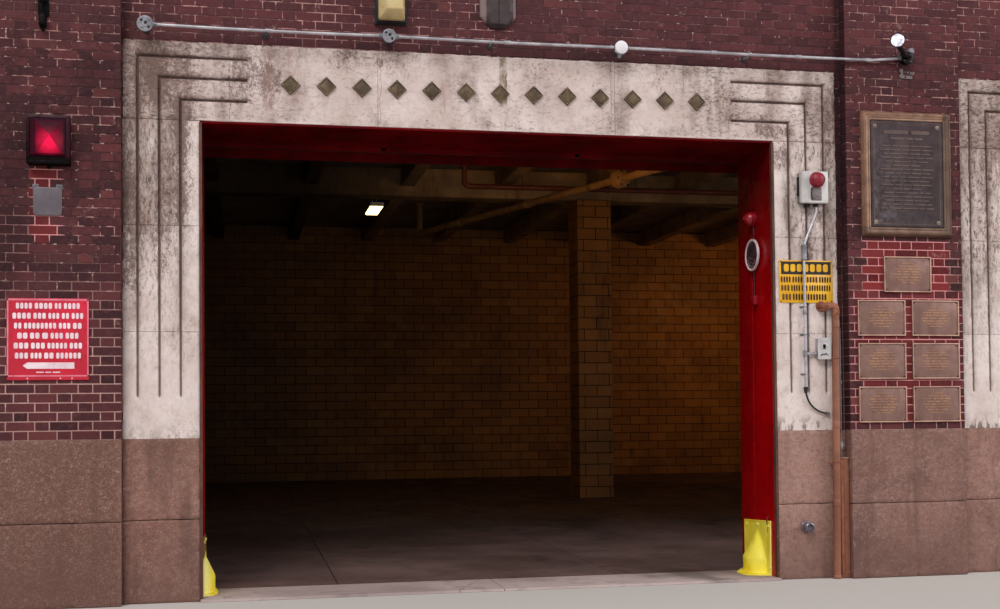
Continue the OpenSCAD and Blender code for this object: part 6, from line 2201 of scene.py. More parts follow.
levels = [0, 3, 8, 16, 28, 42, 58, 74, 88, 92, 120, 180, 240, 300, 360, 398, 402, 425, 444, 448, 450]
front, n_p = [], len(prof)
for z in levels:
    close = min(1.0, 0.30 + z / 34.0) * min(1.0, 0.35 + (450 - z) / 30.0)
    hw = half_width(z) / 150.0
    for u, d in prof:
        front.append((SX + u * hw, 115 - d * close - 1.0, SZ + z))
nv = len(front)
back = [(x, 115, z) for x, y, z in front]
idx = np.arange(nv).reshape(len(levels), n_p)
quads = np.stack([idx[:-1, :-1], idx[:-1, 1:], idx[1:, 1:], idx[1:, :-1]], -1).reshape(-1, 4)
ring = np.concatenate([idx[0, :], idx[1:, -1], idx[-1, -2::-1], idx[-2:0:-1, 0]])
k = len(ring)
nb = nv + np.arange(k)
nxt = np.roll(np.arange(k), -1)
side = np.stack([nb, nb[nxt], ring[nxt], ring], -1)
b.add(np.array(front + [back[i] for i in ring]), [list(q) for q in quads] + [list(q) for q in side] + [list(nb[::-1])], 0)
for x, z in ((-118, 330), (118, 330), (0, 60)):
    bolt(b, (SX + x, 115 - (38 if abs(x) > 50 else 49), SZ + z), (0, -1, 0), 6, 0, 5)
piece("wall_shield_plate", b, [M["shield"]], "wall_shield", sharp=28)

# iron bracket at the top left: a plate, a hooked body below it and a bent foot
b = Builder()
loft(b, [(-7062, -6983, 4428, 4640, 0, 6), (-7062, -6983, 4428, 4640, -10, 6), (-7058, -6987, 4432, 4636, -13, 5)], 0)
loft(b, [(-7052, -6993, 4520, 4612, -10, 10), (-7050, -6995, 4522, 4610, -46, 10), (-7044, -7001, 4530, 4602, -58, 12)], 0)
loft(b, [(-7052, -6998, 4338, 4440, -6, 9), (-7050, -7000, 4340, 4438, -62, 12), (-7044, -7006, 4350, 4424, -84, 12), (-7036, -7014, 4362, 4410, -89, 6)], 0)
tube(b, bend_path([(-7030, -34, 4530), (-7036, -52, 4480), (-7026, -46, 4420)], 24, 5), 11, 12, 0)
prism(b, [(-7042, 4340), (-7036, 4318), (-7018, 4314), (-7010, 4324), (-7012, 4340)], -36, -4, 2.5, 0, 0)
for z in (4450, 4622):
    for x in (-7050, -6995):
        bolt(b, (x, -13, z), (0, -1, 0), 6, 0, 5)
piece("wall_bracket_arm", b, [M["iron_shaded"]], "wall_bracket", sharp=40)

# fire lamp: housing with a hood, and a cut lens with its point off centre
b = Builder()
rbox(b, (-7130, -96, 3298), (-6824, 0, 3664), 7, 2, 0)
rbox(b, (-7112, -104, 3310), (-6842, -94, 3652), 4, 1, 0)
for lo, hi in (((-7130, -110, 3640), (-6824, -90, 3664)), ((-7130, -110, 3298), (-6824, -90, 3324)),
               ((-7130, -110, 3320), (-7104, -90, 3644)), ((-6850, -110, 3320), (-6824, -90, 3644))):
    rbox(b, lo, hi, 4, 2, 0)
# rim round the lens, its bevel, then four facets that meet off centre
o0 = [(-7110, 3352), (-6842, 3352), (-6842, 3645), (-7110, 3645)]
o1 = [(-7100, 3362), (-6851, 3362), (-6851, 3635), (-7100, 3635)]
o2 = [(-7062, 3372), (-6866, 3372), (-6866, 3616), (-7062, 3616)]
ap = (-6961, -168, 3505)
V = [(x, y, z) for ring_, y in ((o0, -100), (o1, -116), (o2, -128)) for x, z in ring_] + [ap]
F, facet_shade = [[3, 2, 1, 0]], [0.1]
for i in range(4):
    j = (i + 1) % 4
    F += [[i, j, 4 + j, 4 + i], [4 + i, 4 + j, 8 + j, 8 + i], [8 + i, 8 + j, 12]]
    # painted shade of each facet: bottom, right, top, left
    facet_shade += [0.05, (0.42, 0.06, 0.05, 0.16)[i], (1.0, 0.34, 0.20, 0.62)[i]]
b.add(V, F, 1, [(t_, 0, 0.5) for t_ in facet_shade])
for i in range(4):
    tube(b, [V[8 + i], V[12]], 1.3, 6, 1, (0.35, 0, 0.5))
    tube(b, [V[8 + i], V[8 + (i + 1) % 4]], 1.3, 6, 1, (0.3, 0, 0.5))
lathe(b, [(-2, 5), (1, 4), (2, 0)], ap, (0, -1, 0), 10, 1, (1.0, 0, 0.5))
for x, z in ((-7117, 3311), (-6837, 3311), (-7117, 3651), (-6837, 3651)):
    bolt(b, (x, -109, z), (0, -1, 0), 6, 0, 5)
lathe(b, [(0, 0), (0, 15), (26, 15), (30, 10), (30, 0)], (-6977, -50, 3300), (0, 0, -1), 14, 0)
piece("fire_lamp_unit", b, [M["lamp_housing"], M["red_lens"]], "fire_lamp", sharp=25)

# cover plate with its ears
b = Builder()
loft(b, [(-7097, -6891, 2928, 3141, 0, 24), (-7097, -6891, 2928, 3141, -8, 24), (-7093, -6895, 2932, 3137, -11.5, 20), (-7087, -6901, 2938, 3131, -12, 16)], 0)
for x in (-7078, -6910):
    rbox(b, (x - 24, -7, 3124), (x + 24, 0, 3164), 6, 2, 0)
    bolt(b, (x, -7, 3150), (0, -1, 0), 6, 1, 5)
for x in (-7074, -6914):
    bolt(b, (x, -11, 2958), (0, -1, 0), 6, 1, 4)
piece("cover_plate_sheet", b, [M["plate_grey"], M["grey_mid"]], "cover_plate", sharp=40)

# ---------------------------------------------------------------- signs
def bars(b, rows, y, proud, mat):
    """Rows of plain raised bars: (z centre, height, [(x0, x1), ...])."""
    for z, h, spans in rows:
        for x0, x1 in spans:
            loft(b, [(x0, x1, z - h / 2, z + h / 2, y, h * 0.22), (x0 + 0.8, x1 - 0.8, z - h / 2 + 0.8, z + h / 2 - 0.8, y - proud, h * 0.2)], mat, n=2)


b = Builder()
x0, x1, z0, z1 = -7280.0, -6698.0, 1724.0, 2309.0
loft(b, [(x0, x1, 1699, z1, 0, 4), (x0, x1, 1699, z1, -9, 4), (x0 + 2, x1 - 2, 1702, z1 - 2, -11, 4)], 0)
# border strips round the face
for lo, hi in (((x0 + 1, -12.5, z1 - 18), (x1 - 1, -10, z1 - 4)), ((x0 + 1, -12.5, z0), (x1 - 1, -10, z0 + 12)),
               ((x0 + 1, -12.5, z0), (x0 + 12, -10, z1 - 4)), ((x1 - 12, -12.5, z0), (x1 - 1, -10, z1 - 4))):
    rbox(b, lo, hi, 1.0, 1, 2)
W = x1 - x0 - 64
xa = x0 + 32
rows = []
for n, parts in enumerate(((0.22, 0.24, 0.09, 0.22), (0.25, 0.17, 0.15, 0.10, 0.16), (0.10, 0.44, 0.16, 0.12),
                           (0.14, 0.13, 0.08, 0.17, 0.18), (0.20, 0.19, 0.27, 0.17), (0.18, 0.15, 0.13, 0.34))):
    gap_ = 0.035 * W
    used = sum(parts) * W + gap_ * (len(parts) - 1)
    x = xa + max(0, (W - used) / 2)
    spans = []
    for p_ in parts:
        spans.append((x, x + p_ * W))
        x += p_ * W + gap_
    blocks = []
    for q0, q1 in spans:
        n_b = max(1, int(round((q1 - q0) / 30.0)))
        w_b = (q1 - q0 + 7.0) / n_b
        blocks += [(q0 + i * w_b, q0 + (i + 1) * w_b - 7.0) for i in range(n_b)]
    rows.append((z1 - 57 - n * 74.2, 46, blocks))
bars(b, rows, -10.5, 2.2, 1)
# arrow to the left, and a short line under it
prism(b, [(-7168, 1806), (-7136, 1830), (-6801, 1830), (-6801, 1783), (-7136, 1783)], -12.9, -10.5, 0.8, 1, 1)
bars(b, [(1757, 9, [(-7073, -7018), (-7008, -6966), (-6956, -6901)])], -10.5, 2.0, 1)
for x, z in ((x0 + 22, z1 - 30), (x1 - 22, z1 - 30), (x0 + 22, z0 + 24), (x1 - 22, z0 + 24)):
    bolt(b, (x, -11, z), (0, -1, 0), 5, 0, 5)
for x in (-7134, -6900, -6818):
    bolt(b, (x, -9.5, 1711), (0, -1, 0), 5, 1, 5)
piece("red_sign", b, [M["sign_red"], M["sign_pale"], M["sign_border"]], "red_sign_panel", sharp=40)

b = Builder()
x0, x1, z0, z1 = -1118.0, -631.0, 2332.0, 2693.0
yb, yf = 95.0, 90.5
loft(b, [(x0, x1, z0, z1, yb, 14), (x0, x1, z0, z1, 91.4, 14), (x0 + 1.5, x1 - 1.5, z0 + 1.5, z1 - 1.5, 90.4, 13)], 0)
# dark head band with a plain row of blocks, and three rows of narrow blocks below
loft(b, [(-1101, -648, 2573, 2682, 90.6, 6), (-1101, -648, 2573, 2682, 89.4, 6)], 1, n=2)


def blocks_row(zc, h, words, pitch, gap_):
    out = []
    for q0, q1 in words:
        n_b = max(1, int(round((q1 - q0) / pitch)))
        w_b = (q1 - q0 + gap_) / n_b
        out += [(q0 + i * w_b, q0 + (i + 1) * w_b - gap_) for i in range(n_b)]
    return (zc, h, out)


bars(b, [blocks_row(2628, 66, [(-1076, -674)], 60.0, 14.0)], 89.6, 0.9, 0)
rows = [blocks_row(2529, 54, [(-1105, -1014), (-1000, -884), (-870, -770), (-756, -646)], 23.0, 6.0),
        blocks_row(2457, 54, [(-1102, -1026), (-1012, -930), (-916, -862), (-848, -652)], 23.0, 6.0),
        blocks_row(2381, 58, [(-1094, -1012), (-998, -904), (-890, -690)], 24.0, 6.0)]
bars(b, rows, 90.6, 0.9, 3)
for x, z in ((x0 + 14, z1 - 12), (x1 - 14, z1 - 12), (x0 + 14, z0 + 12), (x1 - 14, z0 + 12)):
    bolt(b, (x, 90.4, z), (0, -1, 0), 4.5, 2, 4)
piece("yellow_sign", b, [M["sign_yellow"], M["sign_black"], M["rust"], M["sign_brown"]], "yellow_sign_panel", sharp=40)


def holed(b, x0, x1, z0, z1, y0, y1, cx_, cz, r, groove_shade_and_soot, mat=0, hole_mat=1, corner=8.0):
    """Plate with rounded corners and a round blind hole, front at y0 and back at y1."""
    pts = []
    for ox, oz, a0 in ((x1 - corner, z1 - corner, 0), (x0 + corner, z1 - corner, 90), (x0 + corner, z0 + corner, 180), (x1 - corner, z0 + corner, 270)):
        for i in range(7):
            a = math.radians(a0 + 90 * i / 6)
            pts.append((ox + corner * math.cos(a), oz + corner * math.sin(a)))
    ang = [math.atan2(z - cz, x - cx_) for x, z in pts]
    bm = bmesh.new()
    of_ = [bm.verts.new((x, y0, z)) for x, z in pts]
    ob_ = [bm.verts.new((x, y1, z)) for x, z in pts]
    ii = [bm.verts.new((cx_ + r * math.cos(a), y0, cz + r * math.sin(a))) for a in ang]
    ib = [bm.verts.new((cx_ + r * math.cos(a), y0 + groove_shade_and_soot, cz + r * math.sin(a))) for a in ang]
    n = len(pts)
    for i in range(n):
        j = (i + 1) % n
        bm.faces.new((of_[i], of_[j], ii[j], ii[i]))
        bm.faces.new((of_[i], ob_[i], ob_[j], of_[j]))
        bm.faces.new((ii[i], ii[j], ib[j], ib[i]))
    bm.faces.new(ib)
    bm.faces.new(ob_)
    bmesh.ops.recalc_face_normals(bm, faces=bm.faces)
    bm.verts.index_update()
    faces = [[q.index for q in f.verts] for f in bm.faces]
    mats = [hole_mat if all(q.co.y > y0 + 0.1 and abs(math.hypot(q.co.x - cx_, q.co.z - cz) - r) < 0.5 for q in f.verts) else mat for f in bm.faces]
    b.add([tuple(q.co) for q in bm.verts], faces, mats)
    bm.free()


# grey alarm box with its dome
b = Builder()
x0, x1, z0, z1 = -946.0, -700.0, 3170.0, 3440.0
loft(b, [(x0 + 5, x1 - 5, z0 + 5, z1 - 5, 95, 8), (x0 + 5, x1 - 5, z0 + 5, z1 - 5, 36, 8)], 4)
loft(b, [(x0, x1, z0, z1, 38, 10), (x0, x1, z0, z1, 8, 10), (x0 + 3, x1 - 3, z0 + 3, z1 - 3, 2, 8), (x0 + 8, x1 - 8, z0 + 8, z1 - 8, 0, 6)], 0)
rbox(b, (x0 - 3, 52, 3236), (x0 + 8, 90, 3398), 3, 2, 3)
for z in (3214, 3420):
    rbox(b, (x1 - 20, 60, z - 14), (x1 + 5, 74, z + 14), 3, 1, 2)
lathe(b, [(-3, 69), (1, 70), (4, 68), (6, 62), (26, 61), (40, 56), (50, 46), (58, 32), (63, 15), (64, 0)], (-805, 0, 3365), (0, -1, 0), 36, 1)
for i in range(5):
    r_ = 10 + i * 11.5
    pts = [(-805 + r_ * math.cos(a), -64 + 30 * (r_ / 62.0) ** 2.4, 3365 + r_ * math.sin(a)) for a in np.linspace(0, 2 * math.pi, 25)]
    tube(b, pts, 1.6, 6, 1, caps=False)
loft(b, [(-862, -765, 3192, 3303, 1, 9), (-862, -765, 3192, 3303, -3, 9), (-859, -768, 3195, 3300, -5, 8)], 2)
pts = [(-846, -5, 3296), (-858, -11, 3278), (-863, -12, 3248), (-858, -11, 3218), (-846, -5, 3200)]
tube(b, bend_path(pts, 16, 4), 5.5, 10, 3)
lathe(b, [(-1, 11), (3, 11), (4.5, 9), (4.5, 0)], (-796, -5, 3228), (0, -1, 0), 16, 4)
lathe(b, [(0, 5.5), (5.2, 5.5), (5.4, 0)], (-796, -5, 3228), (0, -1, 0), 12, 3)
for x, z in ((-835, 3208), (-776, 3290)):
    bolt(b, (x, -5, z), (0, -1, 0), 4, 2, 4)
lathe(b, [(0, 30), (8, 31), (12, 24), (30, 22), (32, 0)], (-866, 66, 3172), (0, 0, -1), 18, 3)
lathe(b, [(0, 24), (8, 25), (12, 19), (24, 18), (26, 14)], (-785, 69, 3172), (0, 0, -1), 18, 3)
piece("alarm_box_body", b, [M["grey"], M["dome"], M["grey_mid"], M["black"], M["grey_side"]], "alarm_box", sharp=38)

# outlet box, its plate, and the stub to the conduit
b = Builder()
loft(b, [(-796, -684, 1854, 2028, 95, 8), (-796, -684, 1854, 2028, 44, 8)], 1)
holed(b, -800, -680, 1850, 2032, 36.5, 46, -742, 1958, 21, 7.5, 0, 2)
lathe(b, [(-2, 27), (1, 28), (2.2, 26), (2.2, 21.5), (-2, 21.5)], (-742, 36.5, 1958), (0, -1, 0), 28, 1)
pts = [(-778, 36, 1880), (-760, 35, 1896), (-744, 35, 1888), (-730, 35, 1902), (-712, 35, 1884)]
tube(b, bend_path(pts, 8, 3), 4.2, 8, 2)
rbox(b, (-790, 35.5, 1996), (-706, 38, 2008), 1.2, 1, 1)
for x, z in ((-792, 2023), (-688, 2023), (-792, 1859), (-688, 1859)):
    bolt(b, (x + (4 if x < -740 else -4), 36.5, z + (-4 if z > 1900 else 4)), (0, -1, 0), 4, 1, 3)
tube(b, [(-886, 73, 1900), (-798, 73, 1900)], 10.5, 12, 1)
lathe(b, [(0, 15), (3, 18), (14, 18), (18, 14)], (-798, 73, 1900), (-1, 0, 0), 14, 1)
piece("outlet_unit", b, [M["grey"], M["galv"], M["black"]], "outlet_box", sharp=40)

# conduit below the alarm box
b = Builder()
Y_A = 73.0
path = bend_path([(-785, Y_A, 3160), (-785, Y_A, 3090), (-899, Y_A, 2822), (-899, Y_A, 2700)], 70, 6)
tube(b, path, 12, 14, 0)
pts = [(-899 + 1.4 * math.sin(z / 260.0), Y_A, z) for z in steps(1600, 2700, 110)]
tube(b, pts[::-1], 12, 14, 0)
lathe(b, [(0, 13), (3, 24), (10, 26), (18, 24), (24, 22), (112, 22), (120, 26), (128, 25), (134, 13)], (-899, 68, 2692), (0, 0, 1), 20, 1)
bolt(b, (-899, 46, 2760), (0, -1, 0), 7, 1, 5)
lathe(b, [(-26, 16), (-24, 18), (24, 18), (26, 16)], (-899, Y_A, 1900), (0, 0, 1), 16, 1)
lathe(b, [(-20, 15.5), (-18, 17), (18, 17), (20, 15.5)], (-898, Y_A, 2250), (0, 0, 1), 16, 1)
lathe(b, [(-40, 9), (-36, 15), (-12, 16), (-10, 19), (8, 19), (12, 15)], (-899, Y_A, 1606), (0, 0, 1), 16, 2)
for z in (2296, 2060, 1725):
    tube(b, [(-899 + 15.5 * math.cos(a), Y_A - 15.5 * math.sin(a) - 1, z) for a in np.linspace(-0.1, math.pi + 0.1, 11)], 3, 6, 1)
    rbox(b, (-938, 91, z - 8), (-884, 95, z + 8), 1.5, 1, 1)
    bolt(b, (-928, 91.5, z), (0, -1, 0), 5, 1, 4)
pts = []
for a in np.linspace(0, math.pi / 2, 19):
    pts.append((-690 - 209 * math.cos(a), Y_A + 6 * math.sin(2 * a), 1600 - 209 * math.sin(a)))
tube(b, pts, 7.5, 10, 2)
lathe(b, [(-18, 8), (-16, 14), (-2, 15), (0, 12), (14, 11), (16, 8)], (-700, Y_A, 1391), (1, 0, 0), 14, 3)
piece("alarm_conduit_run", b, [M["galv"], M["galv_dull"], M["black"], M["grey_mid"]], "alarm_conduit", sharp=40)

# downpipes
b = Builder()


def collar(x, y, z, r, h, mat=0, axis=(0, 0, 1)):
    lathe(b, [(-h / 2, r - 3), (-h / 2 + 2, r + 4), (-h / 2 + 9, r + 5), (-h / 2 + 11, r + 2), (h / 2 - 6, r + 2), (h / 2, r - 2)], (x, y, z), axis, 24, mat)


def pipe_x(z):
    return -654.0 + 22.0 * z / 2303.0


pts = [(pipe_x(z) + 1.2 * math.sin(z / 410.0), 42, z) for z in steps(4, 2262, 180)]
tube(b, pts, 32, 24, 0)
lathe(b, [(0, 35), (0, 37), (22, 37), (26, 35), (30, 32)], (pipe_x(0), 42, 1), (0, 0, 1), 24, 0)
for z in (640, 1300, 2150):
    collar(pipe_x(z), 42, z, 31, 66)
for z in (980, 1860):
    tube(b, [(pipe_x(z) + 35 * math.cos(a), 42 - 35 * math.sin(a), z) for a in np.linspace(-0.35, math.pi + 0.35, 15)], 3.5, 6, 1)
    for x in (pipe_x(z) - 46, pipe_x(z) + 39):
        rbox(b, (x - 12, 52, z - 12), (x + 12, 58, z + 12), 2, 1, 1)
        tube(b, [(x, 55, z), (x, 94, z)], 5, 8, 1)
elbow = bend_path([(-632.6, 42, 2236), (-632, 42, 2303), (-744, 42, 2303)], 52, 8)
tube(b, elbow, 31, 22, 1)
collar(-632, 42, 2250, 31, 40, 1)
tube(b, bend_path([(-728, 42, 2303), (-744, 42, 2303), (-744, 94.5, 2303)], 30, 8), 31, 22, 1)
collar(-700, 42, 2303, 30, 34, 1, (1, 0, 0))
lathe(b, [(0, 36), (0, 46), (6, 44), (8, 37), (8, 34)], (-744, 95, 2303), (0, -1, 0), 24, 1)
bolt(b, (-722, 6, 2303), (0, -1, 0), 7, 1, 6)
bolt(b, (-632, 5, 2240), (0, -1, 0), 6, 1, 6)
# rusty run and crust below the elbow
lathe(b, [(0, 30), (6, 33), (14, 26), (20, 12), (22, 0)], (-744, 60, 2276), (0, 0, -1), 18, 1)
# thin conduit in the corner, with a fitting over the square pipe
tube(b, [(-590, 58, z) for z in steps(1016, 2120, 180)], 8, 10, 2)
lathe(b, [(0, 9), (4, 17), (12, 19), (46, 19), (52, 15), (70, 14), (76, 9)], (-590, 56, 1080), (0, 0, 1), 16, 2)
lathe(b, [(-24, 9), (-22, 13), (-6, 14), (6, 14), (22, 13), (24, 9)], (-590, 56, 1124), (1, 0, 0), 14, 2)
lathe(b, [(0, 9), (3, 14), (30, 14), (33, 9)], (-590, 58, 1640), (0, 0, 1), 14, 2)
# square pipe at the foot
rbox(b, (-608, 40, 0), (-580, 98, 1012), 4, 2, 1)
rbox(b, (-582, 32, 0), (-536, 98, 1014), 7, 3, 0)
for z in (44, 520):
    rbox(b, (-584, 30, z - 12), (-534, 100, z + 12), 7, 2, 0)
rbox(b, (-610, 30, 1008), (-534, 100, 1020), 4, 2, 3)
piece("downpipe_run", b, [M["pipe_brown"], M["rust_pipe"], M["galv_dull"], M["pale_bronze"]], "downpipes", sharp=40)

# hose outlet low down in the granite
b = Builder()
lathe(b, [(0, 0), (0, 52), (5, 52), (9, 49), (13, 42), (14, 36)], (-906, 89, 437), (0, -1, 0), 36, 0)
lathe(b, [(10, 38), (40, 38), (42, 42), (50, 42), (52, 38), (66, 38), (68, 42), (76, 42), (78, 39), (82, 36), (84, 30), (78, 28), (60, 27), (60, 0)],
      (-906, 89, 437), (0, -1, 0), 32, 0)
for a in (0.5, 2.1, 3.7, 5.2):
    rbox(b, (-906 + 40 * math.cos(a) - 6, 12, 437 + 40 * math.sin(a) - 6), (-906 + 40 * math.cos(a) + 6, 36, 437 + 40 * math.sin(a) + 6), 3, 1, 0)
for k_ in range(6):
    a = 2 * math.pi * k_ / 6
    bolt(b, (-906 + 45 * math.cos(a), 82, 437 + 45 * math.sin(a)), (0, -1, 0), 4.5, 1, 4)
piece("hose_outlet_cap", b, [M["outlet_metal"], M["rust"]], "hose_outlet", sharp=40)

# bell, its conduit and box on the jamb
b = Builder()
f = -DOOR_IN - 14.0
lathe(b, [(0, 0), (0, 58), (8, 60), (10, 64), (18, 64), (20, 61), (38, 61), (40, 64), (46, 64), (48, 61), (60, 58), (75, 50), (88, 36), (97, 19), (101, 6), (101.5, 0)],
      (f, 475, 3095), (-1, 0, 0), 40, 0)
lathe(b, [(-1, 9), (0.5, 9), (0.5, 0)], (f - 101, 475, 3095), (-1, 0, 0), 14, 1)
tube(b, [(f - 9, 475, z) for z in steps(2416, 3040, 160)], 6.6, 10, 2)
for z in (2560, 2960):
    rbox(b, (f - 17, 457, z - 6), (f, 493, z + 6), 2, 1, 2)
rbox(b, (f - 42, 407, 2342), (f, 481, 2418), 5, 2, 0)
rbox(b, (f - 45, 405, 2346), (f - 38, 483, 2414), 3, 2, 0)
lathe(b, [(0, 9), (3, 10), (10, 10), (12, 7)], (f - 9, 475, 2418), (0, 0, 1), 14, 2)
for y in (418, 470):
    for z in (2354, 2406):
        bolt(b, (f - 44.5, y, z), (-1, 0, 0), 3.5, 2, 3)
piece("bell_unit", b, [M["bell"], M["grey_mid"], M["bell_dark"]], "jamb_bell", sharp=38)

# dark disc with a white rim
b = Builder()
DY, DZ = 465.0, 2778.0
tube(b, [(f, 430, DZ), (f - 20, 430, DZ)], 19, 20, 2)
lathe(b, [(17, 0), (17, 132), (20, 138), (34, 140), (40, 138), (42, 133), (41, 127), (36, 123), (34, 119), (34, 0)], (f, DY, DZ), (-1, 0, 0), 56, 0)
lathe(b, [(33, 0), (33, 119), (35.5, 117), (35.0, 86), (37, 80), (35.8, 56), (36.4, 0)], (f, DY, DZ), (-1, 0, 0), 48, 1)
# worn marks on the lower half of the face
r3 = np.random.RandomState(12)
for k_ in range(22):
    a0, rr_ = -math.pi / 2 + (r3.rand() - 0.5) * 2.3, 34 + 74 * r3.rand()
    span_ = 0.12 + 0.35 * r3.rand()
    pts = [(f - 36.4, DY + rr_ * math.cos(q), DZ + rr_ * math.sin(q)) for q in np.linspace(a0, a0 + span_, 5)]
    tube(b, pts, 1.4 + 1.8 * r3.rand(), 6, 3)
piece("round_disc", b, [M["disc_rim"], M["disc_dark"], M["bell_dark"], M["disc_mark"]], "jamb_disc", sharp=40)

# ---------------------------------------------------------------- plaques
b = Builder()


def mitred(b, x0, x1, z0, z1, rings, mats):
    """Picture-frame moulding: (inset, y) rings round a rectangle, with mitred corners."""
    verts, faces, kinds = [], [], []
    for inset, y in rings:
        verts += [(x0 + inset, y, z0 + inset), (x1 - inset, y, z0 + inset), (x1 - inset, y, z1 - inset), (x0 + inset, y, z1 - inset)]
    for r_ in range(len(rings) - 1):
        for i in range(4):
            j = (i + 1) % 4
            faces.append((r_ * 4 + i, r_ * 4 + j, r_ * 4 + 4 + j, r_ * 4 + 4 + i))
            kinds.append(mats[r_])
    n = (len(rings) - 1) * 4
    faces.append((n, n + 1, n + 2, n + 3))
    kinds.append(mats[-1])
    faces.append((3, 2, 1, 0))
    kinds.append(mats[0])
    bm = bmesh.new()
    vs = [bm.verts.new(q) for q in verts]
    fs = [bm.faces.new([vs[i] for i in f]) for f in faces]
    for q, m in zip(fs, kinds):
        q.material_index = m
    bmesh.ops.recalc_face_normals(bm, faces=bm.faces)
    bm.verts.index_update()
    b.add([tuple(q.co) for q in bm.verts], [[q.index for q in g.verts] for g in bm.faces], [g.material_index for g in bm.faces])
    bm.free()


X0, X1, Z0, Z1 = -403.0, 433.0, 2896.0, 3967.0
rings = [(0, 0), (0, -18), (2, -22), (6, -26), (9, -33), (14, -40), (18, -44), (24, -46), (31, -46), (35, -44), (39, -40), (45, -37), (52, -34),
         (56, -29), (59, -29), (62, -33), (70, -33), (74, -30), (77, -24), (81, -20)]
kinds = [0, 0, 0, 0, 0, 0, 0, 0, 0, 1, 1, 1, 1, 0, 0, 1, 1, 1, 2, 2]
mitred(b, X0, X1, Z0, Z1, rings, kinds)
# plate: raised margin, sunk field, fine bead
px0, px1, pz0, pz1 = X0 + 81, X1 - 81, Z0 + 79, Z1 - 79
mitred(b, px0 + 2, px1 - 2, pz0 + 2, pz1 - 2, [(0, -19), (0, -25), (3, -28), (22, -28), (27, -23.5), (30, -22.5), (33, -24), (36, -22.5)], [3, 3, 3, 4, 3, 4, 3, 3])


def rosette(b, x, y, z, r, mat):
    lathe(b, [(-2, r), (1, r), (3, r * 0.86), (2.2, r * 0.62), (6, r * 0.42), (7.5, r * 0.2), (7.8, 0)], (x, y, z), (0, -1, 0), 24, mat)
    for i in range(8):
        a = 2 * math.pi * i / 8 + 0.39
        lathe(b, [(0, r * 0.20), (2.8, r * 0.17), (3.8, r * 0.08), (3.9, 0)], (x + r * 0.70 * math.cos(a), y, z + r * 0.70 * math.sin(a)), (0, -1, 0), 10, mat)


for x in (px0 + 44, px1 - 44):
    for z in (pz0 + 44, pz1 - 44):
        rosette(b, x, -21, z, 21, 5)
mid = (px0 + px1) / 2
r2 = np.random.RandomState(41)


def word_row(zc, h, width, words):
    cuts = r2.rand(words) + 0.55
    cuts = cuts / cuts.sum()
    gap_ = h * 0.75
    total = width - gap_ * (words - 1)
    x, out = mid - width / 2, []
    for c_ in cuts:
        out.append((x, x + c_ * total))
        x += c_ * total + gap_
    return (zc, h, out)


rows = [word_row(pz1 - 96, 34, 430, 2), word_row(pz1 - 150, 20, 300, 3)]
zc = pz1 - 214
for n in range(17):
    rows.append(word_row(zc, 12.5, (470, 500, 440, 490, 410)[n % 5] if n not in (5, 11) else 260, 5 if n not in (5, 11) else 3))
    zc -= 33.5
bars(b, rows, -22.5, 3.4, 4)
piece("large_plaque_frame", b, [M["frame_gold"], M["frame_pale"], M["fillet_dark"], M["plate_dark"], M["plate_raised"], M["rosette"]], "large_plaque", sharp=30)

b = Builder()
spots = [(12, 2574), (-236, 2200), (266, 2200), (-236, 1833), (266, 1833), (-236, 1464), (266, 1464)]
for n, (cx_, cz) in enumerate(spots):
    x0, x1, z0, z1 = cx_ - 221, cx_ + 221, cz - 153, cz + 153
    tilt = (0.0, 0.003, -0.003, 0.002, 0.001, -0.002, 0.002)[n]
    bq = Builder()
    mitred(bq, x0, x1, z0, z1, [(0, 0), (0, -15), (1.5, -17.5), (4, -18), (8.5, -18), (11, -16.5), (12.5, -12.5), (16, -12), (20, -13.2)], [0, 0, 1, 1, 1, 1, 2, 0, 0])
    # centred rows of bars, wide in the middle and narrow below
    rr = np.random.RandomState(90 + n)
    widths = [120, 165, 250, 200, 262, 236, 190, 130]
    heights = [9, 11, 12, 12, 11, 11, 10, 9]
    z = cz + 92
    rows = []
    for w_, h_ in zip(widths, heights):
        w_ = w_ * (0.92 + 0.16 * rr.rand())
        words = max(1, int(w_ / 62))
        cuts = rr.rand(words) + 0.6
        cuts = cuts / cuts.sum()
        gap_ = 8.0
        total = w_ - gap_ * (words - 1)
        x = cx_ + 4 * (rr.rand() - 0.5) - w_ / 2
        spans = []
        for c_ in cuts:
            spans.append((x, x + c_ * total))
            x += c_ * total + gap_
        rows.append((z, h_, spans))
        z -= 23.5
    bars(bq, rows, -13.2, 2.6, 3)
    for x in (x0 + 22, x1 - 22):
        for zz in (z0 + 22, z1 - 22):
            lathe(bq, [(-1, 6), (1, 6), (3, 4.5), (3.4, 0)], (x, -13, zz), (0, -1, 0), 14, 2)
    # each plate hangs a touch out of level
    c_, s_ = math.cos(tilt), math.sin(tilt)
    for v, wear, loops_, sizes_, mat_, tint_, chart_ in [(bq.v, bq.wear, bq.loops, bq.sizes, bq.mat, bq.tint, bq.chart)]:
        base = b.count
        for i in range(len(v)):
            q = v[i].copy()
            dx, dz = q[:, 0] - cx_, q[:, 2] - cz
            q[:, 0], q[:, 2] = cx_ + dx * c_ - dz * s_, cz + dx * s_ + dz * c_
            b.v.append(q)
            b.wear.append(wear[i])
            b.loops.append(loops_[i] + base)
            b.sizes.append(sizes_[i])
            b.mat.append(mat_[i])
            b.tint.append(tint_[i])
            b.chart.append(chart_[i])
        b.count = base + bq.count
piece("small_plaque_set", b, [M["plate_small"], M["plate_rim"], M["fillet_dark"], M["plate_motif"]], "small_plaques", sharp=30)

